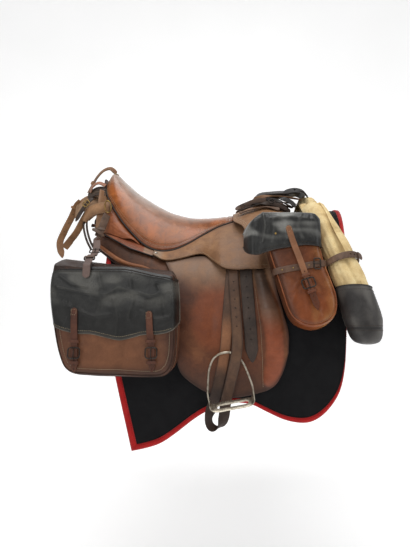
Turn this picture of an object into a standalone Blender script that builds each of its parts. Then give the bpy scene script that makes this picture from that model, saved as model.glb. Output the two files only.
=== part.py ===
"""A packed officer's riding saddle: tree, seat, skirts, flaps, panels, stirrups, girth straps,
saddlecloth, two rear saddlebags, two front wallets and a rolled cape.

Metres. +X is the horse's front, +Y its left side, +Z up. The origin is on the horse's
spine, straight under the lowest point of the seat. Every piece is drawn for one side
and mirrored across Y = 0; _r is the horse's right side (-Y), _l its left (+Y).
"""

import math

import bmesh
import bpy
import numpy as np
from mathutils import Matrix, Vector

# ---------------------------------------------------------------- driving dimensions
BARREL_HALF_WIDTH = 0.275  # half the width of the horse's barrel under the cloth
BARREL_LEVEL = -0.295  # height below which the cloth hangs straight down
WITHERS_RISE = 0.130  # how far the back rises from under the seat to the front edge
CROUP_RISE = 0.023  # and to the rear edge
GAP = 0.0005  # between edges that meet
PANEL_REST = 0.0036  # under the panels
REST = 0.0022  # between curved faces that rest on each other

CLOTH_THICK = 0.006
BINDING_WIDTH = 0.015
BINDING_THICK = 0.007
PANEL_THICK = 0.018
PANEL_REAR_EXTRA = 0.024
FLAP_THICK = 0.0045
SKIRT_THICK = 0.004
SEAT_THICK = 0.006
WEB_THICK = 0.0025
BAR_THICK = 0.010
STRAP_THICK = 0.003

STIRRUP_LEATHER_WIDTH = 0.030
GIRTH_STRAP_WIDTH = 0.036
BAG_STRAP_WIDTH = 0.017
IRON_WIDTH = 0.122
IRON_HEIGHT = 0.140
IRON_TREAD_DEPTH = 0.042

BAG_DEPTH = 0.095
BAG_WALL = 0.005
BAG_LEAN = math.radians(9)
WALLET_DEPTH = 0.072
WALLET_WALL = 0.005
WALLET_LEAN = math.radians(17)

COLOURS = {
    "seat_leather": ((0.33, 0.12, 0.045), 0.35, 0.0),
    "skirt_leather": ((0.27, 0.12, 0.06), 0.5, 0.0),
    "flap_leather": ((0.19, 0.07, 0.035), 0.4, 0.0),
    "strap_leather": ((0.09, 0.065, 0.055), 0.6, 0.0),
    "tan_leather": ((0.36, 0.21, 0.11), 0.55, 0.0),
    "bag_leather": ((0.17, 0.06, 0.035), 0.4, 0.0),
    "black_leather": ((0.03, 0.032, 0.034), 0.5, 0.0),
    "cloth_black": ((0.01, 0.01, 0.012), 0.95, 0.0),
    "binding_red": ((0.45, 0.01, 0.015), 0.9, 0.0),
    "canvas": ((0.50, 0.39, 0.23), 0.9, 0.0),
    "iron": ((0.55, 0.53, 0.50), 0.35, 1.0),
    "brass": ((0.55, 0.40, 0.16), 0.35, 1.0),
    "wood": ((0.35, 0.22, 0.12), 0.6, 0.0),
    "webbing": ((0.45, 0.38, 0.28), 0.9, 0.0),
}


# ---------------------------------------------------------------- scene and materials
for old in list(bpy.data.objects):
    bpy.data.objects.remove(old, do_unlink=True)


def material(slot, node):
    colour, rough, metal = COLOURS[slot]
    made = bpy.data.materials.new(node + "_" + slot)
    made.use_nodes = True
    shader = made.node_tree.nodes["Principled BSDF"]
    shader.inputs["Base Color"].default_value = (*colour, 1.0)
    shader.inputs["Roughness"].default_value = rough
    shader.inputs["Metallic"].default_value = metal
    return made


def add(name, bm, slot, smooth_angle=40.0, pivot=None):
    """One closed body as an object, its faces turned outward and its origin on pivot."""
    bmesh.ops.recalc_face_normals(bm, faces=bm.faces[:])
    if bm.calc_volume(signed=True) < 0:
        bmesh.ops.reverse_faces(bm, faces=bm.faces[:])
    at = Vector(pivot) if pivot is not None else Vector((0, 0, 0))
    bmesh.ops.translate(bm, verts=bm.verts[:], vec=-at)
    mesh = bpy.data.meshes.new(name)
    bm.to_mesh(mesh)
    bm.free()
    mesh.shade_smooth()
    mesh.set_sharp_from_angle(angle=math.radians(smooth_angle))
    mesh.materials.append(material(slot, name))
    made = bpy.data.objects.new(name, mesh)
    made.location = at
    bpy.context.scene.collection.objects.link(made)
    return made


# ---------------------------------------------------------------- curves and surfaces
def smooth(t):
    t = min(1.0, max(0.0, t))
    return t * t * (3 - 2 * t)


def through(points, closed=False, per=8):
    """A Catmull-Rom curve through the points, as a dense array."""
    p = np.array(points, float)
    n = len(p)
    out = []
    spans = n if closed else n - 1
    for i in range(spans):
        if closed:
            a, b, c, d = (p[(i + k - 1) % n] for k in range(4))
        else:
            b, c = p[i], p[i + 1]
            a = p[i - 1] if i else 2 * b - c
            d = p[i + 2] if i + 2 < n else 2 * c - b
        for k in range(per):
            t = k / per
            out.append(
                0.5
                * (
                    2 * b
                    + (c - a) * t
                    + (2 * a - 5 * b + 4 * c - d) * t * t
                    + (3 * b - a - 3 * c + d) * t**3
                )
            )
    if not closed:
        out.append(p[-1])
    return np.array(out)


def resample(line, n, closed=False):
    """n points evenly spaced along the line."""
    line = np.array(line, float)
    if closed:
        line = np.vstack([line, line[:1]])
    run = np.concatenate([[0], np.cumsum(np.linalg.norm(np.diff(line, axis=0), axis=1))])
    at = np.linspace(0, run[-1], n + 1)[:-1] if closed else np.linspace(0, run[-1], n)
    return np.stack([np.interp(at, run, line[:, k]) for k in range(line.shape[1])], axis=1)


def table(points):
    """A smooth function of x through (x, value) pairs."""
    line = through(points)
    return lambda x: float(np.interp(x, line[:, 0], line[:, 1]))


def ridge(x):
    """Height of the horse's back line."""
    return CROUP_RISE * smooth((-x - 0.05) / 0.24) + WITHERS_RISE * smooth((x - 0.02) / 0.42)


def side_y(x, z, h):
    """Distance from the middle plane of a layer h above the barrel, at height z."""
    a, b = BARREL_HALF_WIDTH + h, ridge(x) - BARREL_LEVEL + h
    c = (z - BARREL_LEVEL) / b
    if c <= 0:
        return a
    return a * math.sqrt(max(0.0, 1 - min(c, 1.0) ** 2))


def top_z(x, y, h):
    """Height of a layer h above the barrel, at the distance y from the middle."""
    a, b = BARREL_HALF_WIDTH + h, ridge(x) - BARREL_LEVEL + h
    return BARREL_LEVEL + b * math.sqrt(max(0.0, 1 - (y / a) ** 2))


def arc(x, angle, h):
    """Point of the layer at an angle from the ridge; past a right angle it hangs down."""
    a, b = BARREL_HALF_WIDTH + h, ridge(x) - BARREL_LEVEL + h
    if angle > math.pi / 2:
        return x, a, BARREL_LEVEL - (angle - math.pi / 2) * 0.28
    return x, a * math.sin(angle), BARREL_LEVEL + b * math.cos(angle)


def lerp(a, b, t):
    return a + (b - a) * t


# ---------------------------------------------------------------- solids from grids
def grid_solid(name, outer, inner, slot, side=0, smooth_angle=40.0, pivot=None):
    """A closed sheet between two grids of points. side -1 or +1 puts it on that side."""
    bm = bmesh.new()
    rows, cols = len(outer), len(outer[0])
    sign = side if side else 1

    def lay(grid):
        return [[bm.verts.new((p[0], sign * p[1], p[2])) for p in row] for row in grid]

    a, b = lay(outer), lay(inner)
    for i in range(rows - 1):
        for j in range(cols - 1):
            bm.faces.new((a[i][j], a[i + 1][j], a[i + 1][j + 1], a[i][j + 1]))
            bm.faces.new((b[i][j], b[i][j + 1], b[i + 1][j + 1], b[i + 1][j]))
    rim = (
        [(i, 0) for i in range(rows)]
        + [(rows - 1, j) for j in range(1, cols)]
        + [(i, cols - 1) for i in range(rows - 2, -1, -1)]
        + [(0, j) for j in range(cols - 2, 0, -1)]
    )
    for k, (i, j) in enumerate(rim):
        m, n = rim[(k + 1) % len(rim)]
        bm.faces.new((a[i][j], b[i][j], b[m][n], a[m][n]))
    return add(name, bm, slot, smooth_angle, pivot)


def loft(name, rings, slot, closed=False, smooth_angle=50.0, pivot=None):
    """A tube through rings of points, capped at its ends, or joined round if closed."""
    bm = bmesh.new()
    made = [[bm.verts.new(p) for p in ring] for ring in rings]
    n, m = len(made), len(made[0])
    for i in range(n if closed else n - 1):
        a, b = made[i], made[(i + 1) % n]
        for j in range(m):
            bm.faces.new((a[j], a[(j + 1) % m], b[(j + 1) % m], b[j]))
    if not closed:
        bm.faces.new(made[0])
        bm.faces.new(list(reversed(made[-1])))
    return add(name, bm, slot, smooth_angle, pivot)


def frames(path, normals, closed=False):
    """(point, tangent, normal, side) at each point of a path with rough normals given."""
    n = len(path)
    out = []
    for i in range(n):
        if closed:
            t = path[(i + 1) % n] - path[i - 1]
        else:
            t = path[min(i + 1, n - 1)] - path[max(i - 1, 0)]
        t = t / np.linalg.norm(t)
        u = np.array(normals[i], float)
        u = u - t * np.dot(u, t)
        u = u / np.linalg.norm(u)
        out.append((path[i], t, u, np.cross(t, u)))
    return out


def strap(name, path, normals, width, thick, slot, pivot=None, ends=(1.0, 1.0), closed=False):
    """A flat strap: the path is its middle line, and the normals point out of its face."""
    path = [np.array(p, float) for p in path]
    rings = []
    fr = frames(path, normals, closed)
    for k, (p, _t, u, w) in enumerate(fr):
        f = ends[0] if k == 0 else ends[1] if k == len(fr) - 1 else 1.0
        a, b = 0.5 * width * (1 if closed else f), 0.5 * thick
        rings.append([p + w * a + u * b, p - w * a + u * b, p - w * a - u * b, p + w * a - u * b])
    return loft(name, rings, slot, closed, 30.0, pivot)


def wire(name, path, normals, across, deep, slot, sides=6, closed=True, pivot=None):
    """A rod of oval section along a path. across and deep may be lists, one per point."""
    path = [np.array(p, float) for p in path]
    n = len(path)
    across = across if hasattr(across, "__len__") else [across] * n
    deep = deep if hasattr(deep, "__len__") else [deep] * n
    rings = []
    for (p, _t, u, w), a, d in zip(frames(path, normals, closed), across, deep):
        rings.append(
            [
                p
                + w * (0.5 * a * math.cos(2 * math.pi * (k + 0.5) / sides))
                + u * (0.5 * d * math.sin(2 * math.pi * (k + 0.5) / sides))
                for k in range(sides)
            ]
        )
    return loft(name, rings, slot, closed, 50.0, pivot)


def buckle(name, centre, across, up, out, width, height, rod, slot, pivot=None):
    """A rectangular buckle frame with rounded corners, lying in the plane across-up."""
    c, a, u, o = (np.array(v, float) for v in (centre, across, up, out))
    corner = 0.22 * min(width, height)
    path = []
    for sx, sz in ((1, 1), (-1, 1), (-1, -1), (1, -1)):
        cx, cz = sx * (width / 2 - corner), sz * (height / 2 - corner)
        first = (cx + sx * corner, cz) if sx * sz > 0 else (cx, cz + sz * corner)
        last = (cx, cz + sz * corner) if sx * sz > 0 else (cx + sx * corner, cz)
        path += [c + a * first[0] + u * first[1], c + a * last[0] + u * last[1]]
    return wire(name, path, [o] * len(path), rod, rod, slot, 6, True, pivot)


SIDES = (("_r", -1), ("_l", 1))

# ================================================================ saddlecloth
CLOTH_TOP_REAR, CLOTH_TOP_FRONT = -0.289, 0.456
# lower edge of the cloth on one side, from the rear corner round to the front edge (x, z)
CLOTH_EDGE = through(
    [
        (-0.166, -0.549),
        (-0.126, -0.541),
        (-0.085, -0.527),
        (-0.043, -0.499),
        (0.004, -0.463),
        (0.045, -0.438),
        (0.100, -0.417),
        (0.160, -0.420),
        (0.207, -0.441),
        (0.260, -0.464),
        (0.312, -0.472),
        (0.350, -0.459),
        (0.385, -0.425),
        (0.410, -0.380),
        (0.422, -0.320),
        (0.426, -0.240),
    ]
)
CLOTH_COLS, CLOTH_ROWS = 16, 13


def angle_of(x, z):
    """The angle from the ridge at which the barrel is at height z."""
    if z <= BARREL_LEVEL:
        return math.pi / 2 + (BARREL_LEVEL - z) / 0.28
    return math.acos(min(1.0, (z - BARREL_LEVEL) / (ridge(x) - BARREL_LEVEL)))


_edge = resample(CLOTH_EDGE, 80)


def cloth_point(u, v, h):
    """u runs from rear to front, v from the right lower edge (-1) to the left (+1)."""
    xb = float(np.interp(u, np.linspace(0, 1, 80), _edge[:, 0]))
    zb = float(np.interp(u, np.linspace(0, 1, 80), _edge[:, 1]))
    xt = lerp(CLOTH_TOP_REAR, CLOTH_TOP_FRONT, u)
    w = abs(v)
    x = lerp(xt, xb, w**1.3)
    x0, y, z = arc(x, w * angle_of(xb, zb), h)
    return x0, math.copysign(y, v) if v else 0.0, z


def cloth_margin(edge, u, v):
    """The share of the grid that edge metres take up, inward from the border."""
    a, b = np.array(cloth_point(0, v, 0)), np.array(cloth_point(1, v, 0))
    drop = 0.68 if abs(v) > 0.2 else 0.7
    return edge / max(0.3, float(np.linalg.norm(b - a))), edge / drop


def cloth_grid(edge, h):
    out = []
    for i in range(CLOTH_COLS + 1):
        row = []
        for j in range(-CLOTH_ROWS, CLOTH_ROWS + 1):
            u, v = i / CLOTH_COLS, j / CLOTH_ROWS
            du, dv = cloth_margin(edge, u, v)
            row.append(cloth_point(du + u * (1 - 2 * du), v * (1 - dv), h))
        out.append(row)
    return out


grid_solid(
    "saddlecloth",
    cloth_grid(BINDING_WIDTH + GAP, CLOTH_THICK),
    cloth_grid(BINDING_WIDTH + GAP, 0.0),
    "cloth_black",
)


def cloth_binding():
    """The red tape that edges the cloth, a flat band round its whole border."""
    border = (
        [(i / CLOTH_COLS, -1) for i in range(CLOTH_COLS)]
        + [(1, j / CLOTH_ROWS) for j in range(-CLOTH_ROWS, CLOTH_ROWS)]
        + [(i / CLOTH_COLS, 1) for i in range(CLOTH_COLS, 0, -1)]
        + [(0, j / CLOTH_ROWS) for j in range(CLOTH_ROWS, -CLOTH_ROWS, -1)]
    )
    rings = []
    for u, v in border:
        du, dv = cloth_margin(BINDING_WIDTH, u, v)
        ui, vi = du + u * (1 - 2 * du), v * (1 - dv)
        rings.append(
            [
                cloth_point(u, v, BINDING_THICK),
                cloth_point(ui, vi, BINDING_THICK),
                cloth_point(ui, vi, 0.0),
                cloth_point(u, v, 0.0),
            ]
        )
    loft("cloth_binding", rings, "binding_red", closed=True, smooth_angle=30)


cloth_binding()


# ================================================================ panels and tree
def panel_top(x, y):
    """Height above the barrel of the top of the stuffed panel, y from the middle."""
    z = top_z(x, min(y, BARREL_HALF_WIDTH), 0.0)
    rear = smooth((-x - 0.05) / 0.20)
    full = PANEL_THICK + PANEL_REAR_EXTRA * rear
    return CLOTH_THICK + PANEL_REST + 0.003 + (full - 0.003) * smooth((z + 0.17) / 0.13)


panel_outer_y = table(
    [
        (-0.335, 0.070),
        (-0.310, 0.112),
        (-0.250, 0.165),
        (-0.200, 0.188),
        (-0.140, 0.196),
        (-0.080, 0.214),
        (-0.040, 0.240),
        (0.000, 0.250),
        (0.150, 0.252),
        (0.210, 0.248),
        (0.245, 0.215),
    ]
)


def panel(suffix, side):
    cols, rows = 12, 7
    top, bottom = [], []
    for i in range(cols + 1):
        x = lerp(-0.335, 0.245, i / cols)
        end = 1 - abs(2 * i / cols - 1) ** 8
        a, b = [], []
        for j in range(rows + 1):
            t = j / rows
            y = lerp(0.032, panel_outer_y(x), t)
            low = CLOTH_THICK + PANEL_REST
            puff = (1 - abs(2 * t - 1) ** 7) * (0.35 + 0.65 * end)
            z0 = top_z(x, y, low)
            high = panel_top(x, y)
            h = low + 0.004 + (high - low - 0.004) * puff
            b.append((x, y, z0))
            a.append((x, y, top_z(x, y, h)))
        top.append(a)
        bottom.append(b)
    grid_solid("panel" + suffix, top, bottom, "flap_leather", side)


for suffix, side in SIDES:
    panel(suffix, side)

# the seat: middle line, and the welted edge on one side, by x
seat_mid = table(
    [
        (-0.303, 0.226),
        (-0.292, 0.248),
        (-0.276, 0.257),
        (-0.240, 0.224),
        (-0.203, 0.192),
        (-0.163, 0.165),
        (-0.130, 0.146),
        (-0.087, 0.126),
        (-0.043, 0.113),
        (0.000, 0.109),
        (0.060, 0.112),
        (0.110, 0.118),
    ]
)
seat_edge_z = table(
    [
        (-0.303, 0.210),
        (-0.292, 0.180),
        (-0.261, 0.134),
        (-0.224, 0.088),
        (-0.189, 0.052),
        (-0.157, 0.024),
        (-0.124, 0.008),
        (-0.093, 0.005),
        (-0.059, 0.012),
        (-0.020, 0.031),
        (0.015, 0.053),
        (0.064, 0.080),
        (0.110, 0.097),
    ]
)
seat_edge_y = table(
    [
        (-0.303, 0.030),
        (-0.292, 0.055),
        (-0.261, 0.092),
        (-0.224, 0.120),
        (-0.189, 0.139),
        (-0.157, 0.150),
        (-0.124, 0.152),
        (-0.093, 0.146),
        (-0.059, 0.135),
        (-0.020, 0.120),
        (0.015, 0.105),
        (0.064, 0.090),
        (0.110, 0.080),
    ]
)


def seat_z(x, y, drop=0.0):
    """Height of the seat's leather, less drop."""
    w = min(1.0, abs(y) / seat_edge_y(x))
    return lerp(seat_mid(x), seat_edge_z(x), w**2.2) - drop


def bar_outer_y(x):
    return min(0.118, 0.78 * seat_edge_y(min(x, 0.11)))


def bar_outer(x):
    """The bar's outer edge, which draws in towards its rear end."""
    return lerp(0.076, bar_outer_y(-0.26), max(0.0, (x + 0.300) / 0.040)) if x < -0.26 else bar_outer_y(x)


def tree_bar(suffix, side):
    """A side bar of the tree: a board shaped to the back, lying along the panel."""
    cols, rows = 12, 2
    top, bottom = [], []
    for i in range(cols + 1):
        x = lerp(-0.300, 0.205, i / cols)
        outer = bar_outer(x)
        a, b = [], []
        for j in range(rows + 1):
            y = lerp(0.045 if x < 0.05 else lerp(0.045, 0.040, smooth((x - 0.05) / 0.1)), outer, j / rows)
            base = panel_top(x, y) + REST
            b.append((x, y, top_z(x, y, base)))
            a.append((x, y, top_z(x, y, base + BAR_THICK)))
        top.append(a)
        bottom.append(b)
    grid_solid("tree_bar" + suffix, top, bottom, "wood", side)


for suffix, side in SIDES:
    tree_bar(suffix, side)


def arch(name, x_rear, x_front, outline, band, slot):
    """A bent arch across the tree: outline is half of its outer line, (y, z) from the top down."""
    half = resample(through(outline), 9)
    line = [(-y, z) for y, z in half[::-1]] + [(y, z) for y, z in half[1:]]
    outer, inner = [], []
    for x in (x_rear, x_front):
        row_a, row_b = [], []
        for k, (y, z) in enumerate(line):
            p, q = line[max(k - 1, 0)], line[min(k + 1, len(line) - 1)]
            ty, tz = q[0] - p[0], q[1] - p[1]
            n = math.hypot(ty, tz)
            row_a.append((x, y, z))
            row_b.append((x, y + tz / n * band, z - ty / n * band))
        outer.append(row_a)
        inner.append(row_b)
    grid_solid(name, outer, inner, slot)


# steel front arch, over the withers, and wooden rear arch that carries the cantle
arch(
    "pommel_arch",
    0.176,
    0.204,
    [(0.0, 0.136), (0.030, 0.132), (0.058, 0.117), (0.072, 0.104)],
    0.009,
    "iron",
)
arch(
    "cantle_arch",
    -0.272,
    -0.256,
    [(0.0, 0.206), (0.035, 0.196), (0.058, 0.160), (0.072, 0.118), (0.078, 0.092)],
    0.012,
    "wood",
)


def seat_sheet(name, x0, x1, share, drop, thick, slot, cols, rows):
    """A sheet under or at the seat's surface, from x0 to x1, over the middle share of its width."""
    top, bottom = [], []
    for i in range(cols + 1):
        x = lerp(x0, x1, i / cols)
        a, b = [], []
        for j in range(-rows, rows + 1):
            y = j / rows * share * seat_edge_y(x)
            a.append((x, y, seat_z(x, y, drop)))
            b.append((x, y, seat_z(x, y, drop + thick)))
        top.append(a)
        bottom.append(b)
    return grid_solid(name, top, bottom, slot)


seat_sheet("seat_cover", -0.303, 0.110, 1.0, 0.0, SEAT_THICK, "seat_leather", 18, 6)
seat_sheet(
    "seat_webbing", -0.235, 0.095, 0.60, SEAT_THICK + 2 * REST, WEB_THICK, "webbing", 10, 3
)


def cantle_facing():
    """The leather down the rear of the cantle, from its rim to the bar covers."""
    rows, cols = 4, 6
    outer, inner = [], []
    for i in range(rows + 1):
        t = i / rows
        a, b = [], []
        for j in range(-cols, cols + 1):
            s = j / cols
            y = s * lerp(0.050, 0.100, t)
            z_top = 0.236 - 0.060 * abs(s) ** 2.2
            z_low = 0.104 - 0.020 * abs(s)
            z = lerp(z_top, z_low, t)
            x = -0.3085 + 0.012 * abs(s) ** 2 - 0.010 * t
            a.append((x - 0.004, y, z))
            b.append((x, y, z))
        outer.append(a)
        inner.append(b)
    grid_solid("cantle_facing", outer, inner, "skirt_leather")


cantle_facing()


def rear_cover(suffix, side):
    """The leather over the rear end of each bar, which runs on down under the seat's welt."""
    cols = 12
    top, bottom = [], []
    for i in range(cols + 1):
        x = lerp(-0.343, -0.126, i / cols)
        a, b = [], []
        outer = min(panel_outer_y(max(x, -0.335)) - 0.016, 0.174)
        bar = bar_outer(x)
        step = min(bar + 0.004, outer - 0.008)
        for y, over_bar in (
            (0.040, 1.0),
            (lerp(0.040, step, 0.33), 1.0),
            (lerp(0.040, step, 0.67), 1.0),
            (step, 1.0),
            (min(step + 0.016, outer - 0.004), 0.0),
            (outer, 0.0),
        ):
            base = panel_top(x, y) + REST + (BAR_THICK + 0.9 * REST) * over_bar
            b.append((x, y, top_z(x, y, base)))
            a.append((x, y, top_z(x, y, base + 0.003)))
        top.append(a)
        bottom.append(b)
    grid_solid("rear_cover" + suffix, top, bottom, "skirt_leather", side)


for suffix, side in SIDES:
    rear_cover(suffix, side)

# ================================================================ flaps and skirts
FLAP_TOP = through([(-0.088, -0.028), (-0.030, -0.016), (0.060, -0.008), (0.140, 0.014), (0.222, 0.032)])
FLAP_FRONT = through(
    [(0.222, 0.032), (0.226, -0.040), (0.236, -0.100), (0.252, -0.165), (0.266, -0.220), (0.266, -0.275)]
)
FLAP_BOTTOM = through(
    [
        (-0.043, -0.289),
        (-0.029, -0.330),
        (0.004, -0.361),
        (0.050, -0.386),
        (0.119, -0.398),
        (0.185, -0.385),
        (0.222, -0.370),
        (0.250, -0.330),
        (0.266, -0.275),
    ]
)
FLAP_REAR = through([(-0.088, -0.028), (-0.061, -0.079), (-0.045, -0.135), (-0.040, -0.210), (-0.043, -0.289)])


def patch(top, bottom, left, right, cols, rows):
    """Points (a Coons patch) inside four border curves in the x-z plane."""
    t, b = resample(top, cols + 1), resample(bottom, cols + 1)
    le, r = resample(left, rows + 1), resample(right, rows + 1)
    out = np.zeros((cols + 1, rows + 1, 2))
    for i in range(cols + 1):
        for j in range(rows + 1):
            u, v = i / cols, j / rows
            out[i, j] = (
                (1 - v) * t[i]
                + v * b[i]
                + (1 - u) * le[j]
                + u * r[j]
                - (1 - u) * (1 - v) * t[0]
                - u * (1 - v) * t[-1]
                - (1 - u) * v * b[0]
                - u * v * b[-1]
            )
    return out


def flap_inner(x, z):
    """Height above the barrel of the flap's inner face: on the panel, then near the cloth."""
    h = 0.02
    for _ in range(4):
        h = panel_top(x, side_y(x, z, h)) + REST + 0.0006
    return h


def flap_outer(x, z):
    return flap_inner(x, z) + FLAP_THICK


def flap(suffix, side):
    points = patch(FLAP_TOP, FLAP_BOTTOM, FLAP_REAR, FLAP_FRONT, 10, 11)
    outer = [[(x, side_y(x, z, flap_outer(x, z)), z) for x, z in row] for row in points]
    inner = [[(x, side_y(x, z, flap_inner(x, z)), z) for x, z in row] for row in points]
    grid_solid("flap" + suffix, outer, inner, "flap_leather", side)


for suffix, side in SIDES:
    flap(suffix, side)

skirt_low = table(
    [
        (-0.125, -0.010),
        (-0.096, -0.025),
        (-0.070, -0.027),
        (-0.035, -0.020),
        (0.008, -0.010),
        (0.029, -0.013),
        (0.052, -0.030),
        (0.084, -0.047),
        (0.113, -0.053),
        (0.165, -0.050),
        (0.222, -0.048),
    ]
)
SKIRT_LIFT = 0.0165  # room under the skirt for the stirrup leather and the girth strap


def skirt_low_h(x):
    """Height of the skirt's lower edge above the barrel: over the straps where they pass."""
    straps = smooth((x - 0.045) / 0.035) * (1 - smooth((x - 0.185) / 0.03))
    return flap_outer(x, skirt_low(x)) + lerp(0.0022, SKIRT_LIFT, straps)


def skirt_top(x):
    """Where the skirt starts: just under the seat's welt, then up to the pommel."""
    if x <= 0.11:
        return seat_edge_y(x) + 0.004, seat_edge_z(x) - 0.0075
    t = smooth((x - 0.11) / 0.11)
    return lerp(0.084, 0.110, t), lerp(0.0895, 0.098, t)


def skirt(suffix, side):
    cols, rows = 14, 5
    outer, inner = [], []
    for i in range(cols + 1):
        x = lerp(-0.125, 0.222, i / cols)
        y0, z0 = skirt_top(x)
        z1 = skirt_low(x)
        h1 = skirt_low_h(x)
        y1 = side_y(x, z1, h1)
        a, b = [], []
        bulge = 0.010 * smooth((x + 0.05) / 0.10)
        for j in range(rows + 1):
            t = j / rows
            y, z = lerp(y0, y1, t), lerp(z0, z1, t)
            ny, nz = z0 - z1, y1 - y0
            n = math.hypot(ny, nz)
            k = bulge * math.sin(math.pi * t)
            b.append((x, y + ny / n * k, z + nz / n * k))
            a.append((x, y + ny / n * (k + SKIRT_THICK), z + nz / n * (k + SKIRT_THICK)))
        outer.append(a)
        inner.append(b)
    grid_solid("skirt" + suffix, outer, inner, "skirt_leather", side)


for suffix, side in SIDES:
    skirt(suffix, side)

# ================================================================ stirrups and girth


def side_point(x, z, h, side):
    return np.array((x, side * side_y(x, z, h), z))


def side_normal(x, z, h, side):
    """Outward normal of the layer h above the barrel, where h may follow x and z."""

    def y(x1, z1):
        return side_y(x1, z1, h(x1, z1) if callable(h) else h)

    e = 0.006
    n = np.array((-(y(x + e, z) - y(x - e, z)) / (2 * e), 1.0, -(y(x, z + e) - y(x, z - e)) / (2 * e)))
    n[1] *= side
    return n / np.linalg.norm(n)


def stirrup_bar(suffix, side):
    """The steel bar that the stirrup leather hangs on: a flat hook riveted to the tree bar."""
    path, normals = [], []
    for x, z, h in (
        (0.138, 0.058, 0.050),
        (0.140, 0.044, 0.047),
        (0.138, 0.032, 0.046),
        (0.126, 0.026, 0.046),
        (0.096, 0.026, 0.046),
    ):
        path.append(side_point(x, z, h, side))
        normals.append(side_normal(x, z, h, side))
    wire("stirrup_bar" + suffix, path, normals, 0.008, 0.005, "iron", 6, False)


for suffix, side in SIDES:
    stirrup_bar(suffix, side)

LEATHER_PIVOT_Z = 0.010
LEATHER_PIVOT_X = 0.1045


def leather_path():
    """Middle line of the stirrup leather as (x, z, lift over the flap): down behind the
    iron's arch, round its lower end, and up again in front of the arch."""
    rear = [
        (0.111, 0.012, 0.0046),
        (0.108, -0.050, 0.0046),
        (0.103, -0.120, 0.0044),
        (0.098, -0.190, 0.0042),
        (0.093, -0.262, 0.0040),
        (0.084, -0.330, 0.0040),
        (0.073, -0.395, 0.0050),
        (0.060, -0.455, 0.0060),
    ]
    front = [
        (0.060, -0.482, 0.0100),
        (0.071, -0.470, 0.0150),
        (0.090, -0.410, 0.0125),
        (0.105, -0.350, 0.0140),
        (0.116, -0.312, 0.0240),
        (0.123, -0.276, 0.0295),
        (0.126, -0.235, 0.0200),
        (0.121, -0.160, 0.0098),
        (0.115, -0.090, 0.0092),
        (0.113, -0.030, 0.0092),
        (0.113, 0.012, 0.0092),
    ]
    return rear + front


def leather_h(x, z):
    """The surface that the leather hangs over: the flap, or straight below its lower edge."""
    return flap_outer(x, max(z, -0.30))


def stirrup_leather(suffix, side):
    line = through(leather_path(), per=2)
    path, normals = [], []
    turn = 7.5 * 2
    for k, (x, z, lift) in enumerate(line):
        h = leather_h(x, z) + lift
        path.append(side_point(x, z, h, side))
        n = side_normal(x, max(z, -0.28), flap_outer, side)
        # the inner ply faces the flap, the outer ply faces out, and the bend between
        # turns from one to the other about the strap's width
        out = n if k > turn + 1.5 else -n if k < turn - 0.5 else None
        normals.append(out if out is not None else np.array((0.0, 0.0, -1.0)))
    pivot = side_point(LEATHER_PIVOT_X, LEATHER_PIVOT_Z, 0.035, side)
    strap(
        "stirrup_leather" + suffix,
        path,
        normals,
        STIRRUP_LEATHER_WIDTH,
        STRAP_THICK,
        "strap_leather",
        pivot,
    )


for suffix, side in SIDES:
    stirrup_leather(suffix, side)

IRON_X, IRON_Z, IRON_LIFT = 0.090, -0.272, 0.0140
IRON_LEAN = math.radians(14)  # the tread stands out from the leather
IRON_SWING = math.radians(10)  # and the iron hangs a little forward


def iron_pivot(side):
    return side_point(IRON_X, IRON_Z, leather_h(IRON_X, IRON_Z) + IRON_LIFT, side)


def stirrup_iron(suffix, side):
    w, hgt = IRON_WIDTH / 2, IRON_HEIGHT
    half = [
        (0.000, 0.000, 0.011),
        (0.018, -0.003, 0.011),
        (0.034, -0.014, 0.010),
        (0.047, -0.038, 0.009),
        (0.055, -0.070, 0.010),
        (0.060, -0.100, 0.014),
        (w - 0.003, -0.122, 0.028),
        (w - 0.010, -hgt + 0.006, 0.040),
        (w - 0.026, -hgt + 0.003, IRON_TREAD_DEPTH),
        (0.015, -hgt + 0.003, IRON_TREAD_DEPTH),
    ]
    loop = half + [(-x, z, d) for x, z, d in half[:0:-1]]
    pivot = iron_pivot(side)
    out = Vector((0, side, 0))
    turn = Matrix.Rotation(side * IRON_LEAN, 3, "X") @ Matrix.Rotation(-IRON_SWING, 3, "Y")
    path = [pivot + np.array(turn @ Vector((x, 0, z))) for x, z, _ in loop]
    normal = np.array(turn @ out)
    rods = [0.009 if z > -0.11 else 0.0065 for _, z, _ in loop]
    made = wire(
        "stirrup_iron" + suffix,
        path,
        [normal] * len(path),
        rods,
        [d for _, _, d in loop],
        "iron",
        8,
        True,
        pivot,
    )
    # the open middle of the tread
    bm = bmesh.new()
    bmesh.ops.create_cube(bm, size=1.0)
    cut_mesh = bpy.data.meshes.new("tread_cut" + suffix)
    bmesh.ops.scale(bm, verts=bm.verts[:], vec=(0.078, 0.019, 0.05))
    bmesh.ops.translate(bm, verts=bm.verts[:], vec=(0, 0, -hgt + 0.003))
    bmesh.ops.transform(
        bm, matrix=Matrix.Translation(Vector(pivot)) @ turn.to_4x4(), verts=bm.verts[:]
    )
    bm.to_mesh(cut_mesh)
    bm.free()
    cutter = bpy.data.objects.new("tread_cut" + suffix, cut_mesh)
    cutter.hide_render = True
    cutter.display_type = "WIRE"
    bpy.context.scene.collection.objects.link(cutter)
    cut = made.modifiers.new("tread", "BOOLEAN")
    cut.operation = "DIFFERENCE"
    cut.object = cutter
    cut.solver = "EXACT"


for suffix, side in SIDES:
    stirrup_iron(suffix, side)


GIRTH_LIFT = 0.0042


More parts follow.
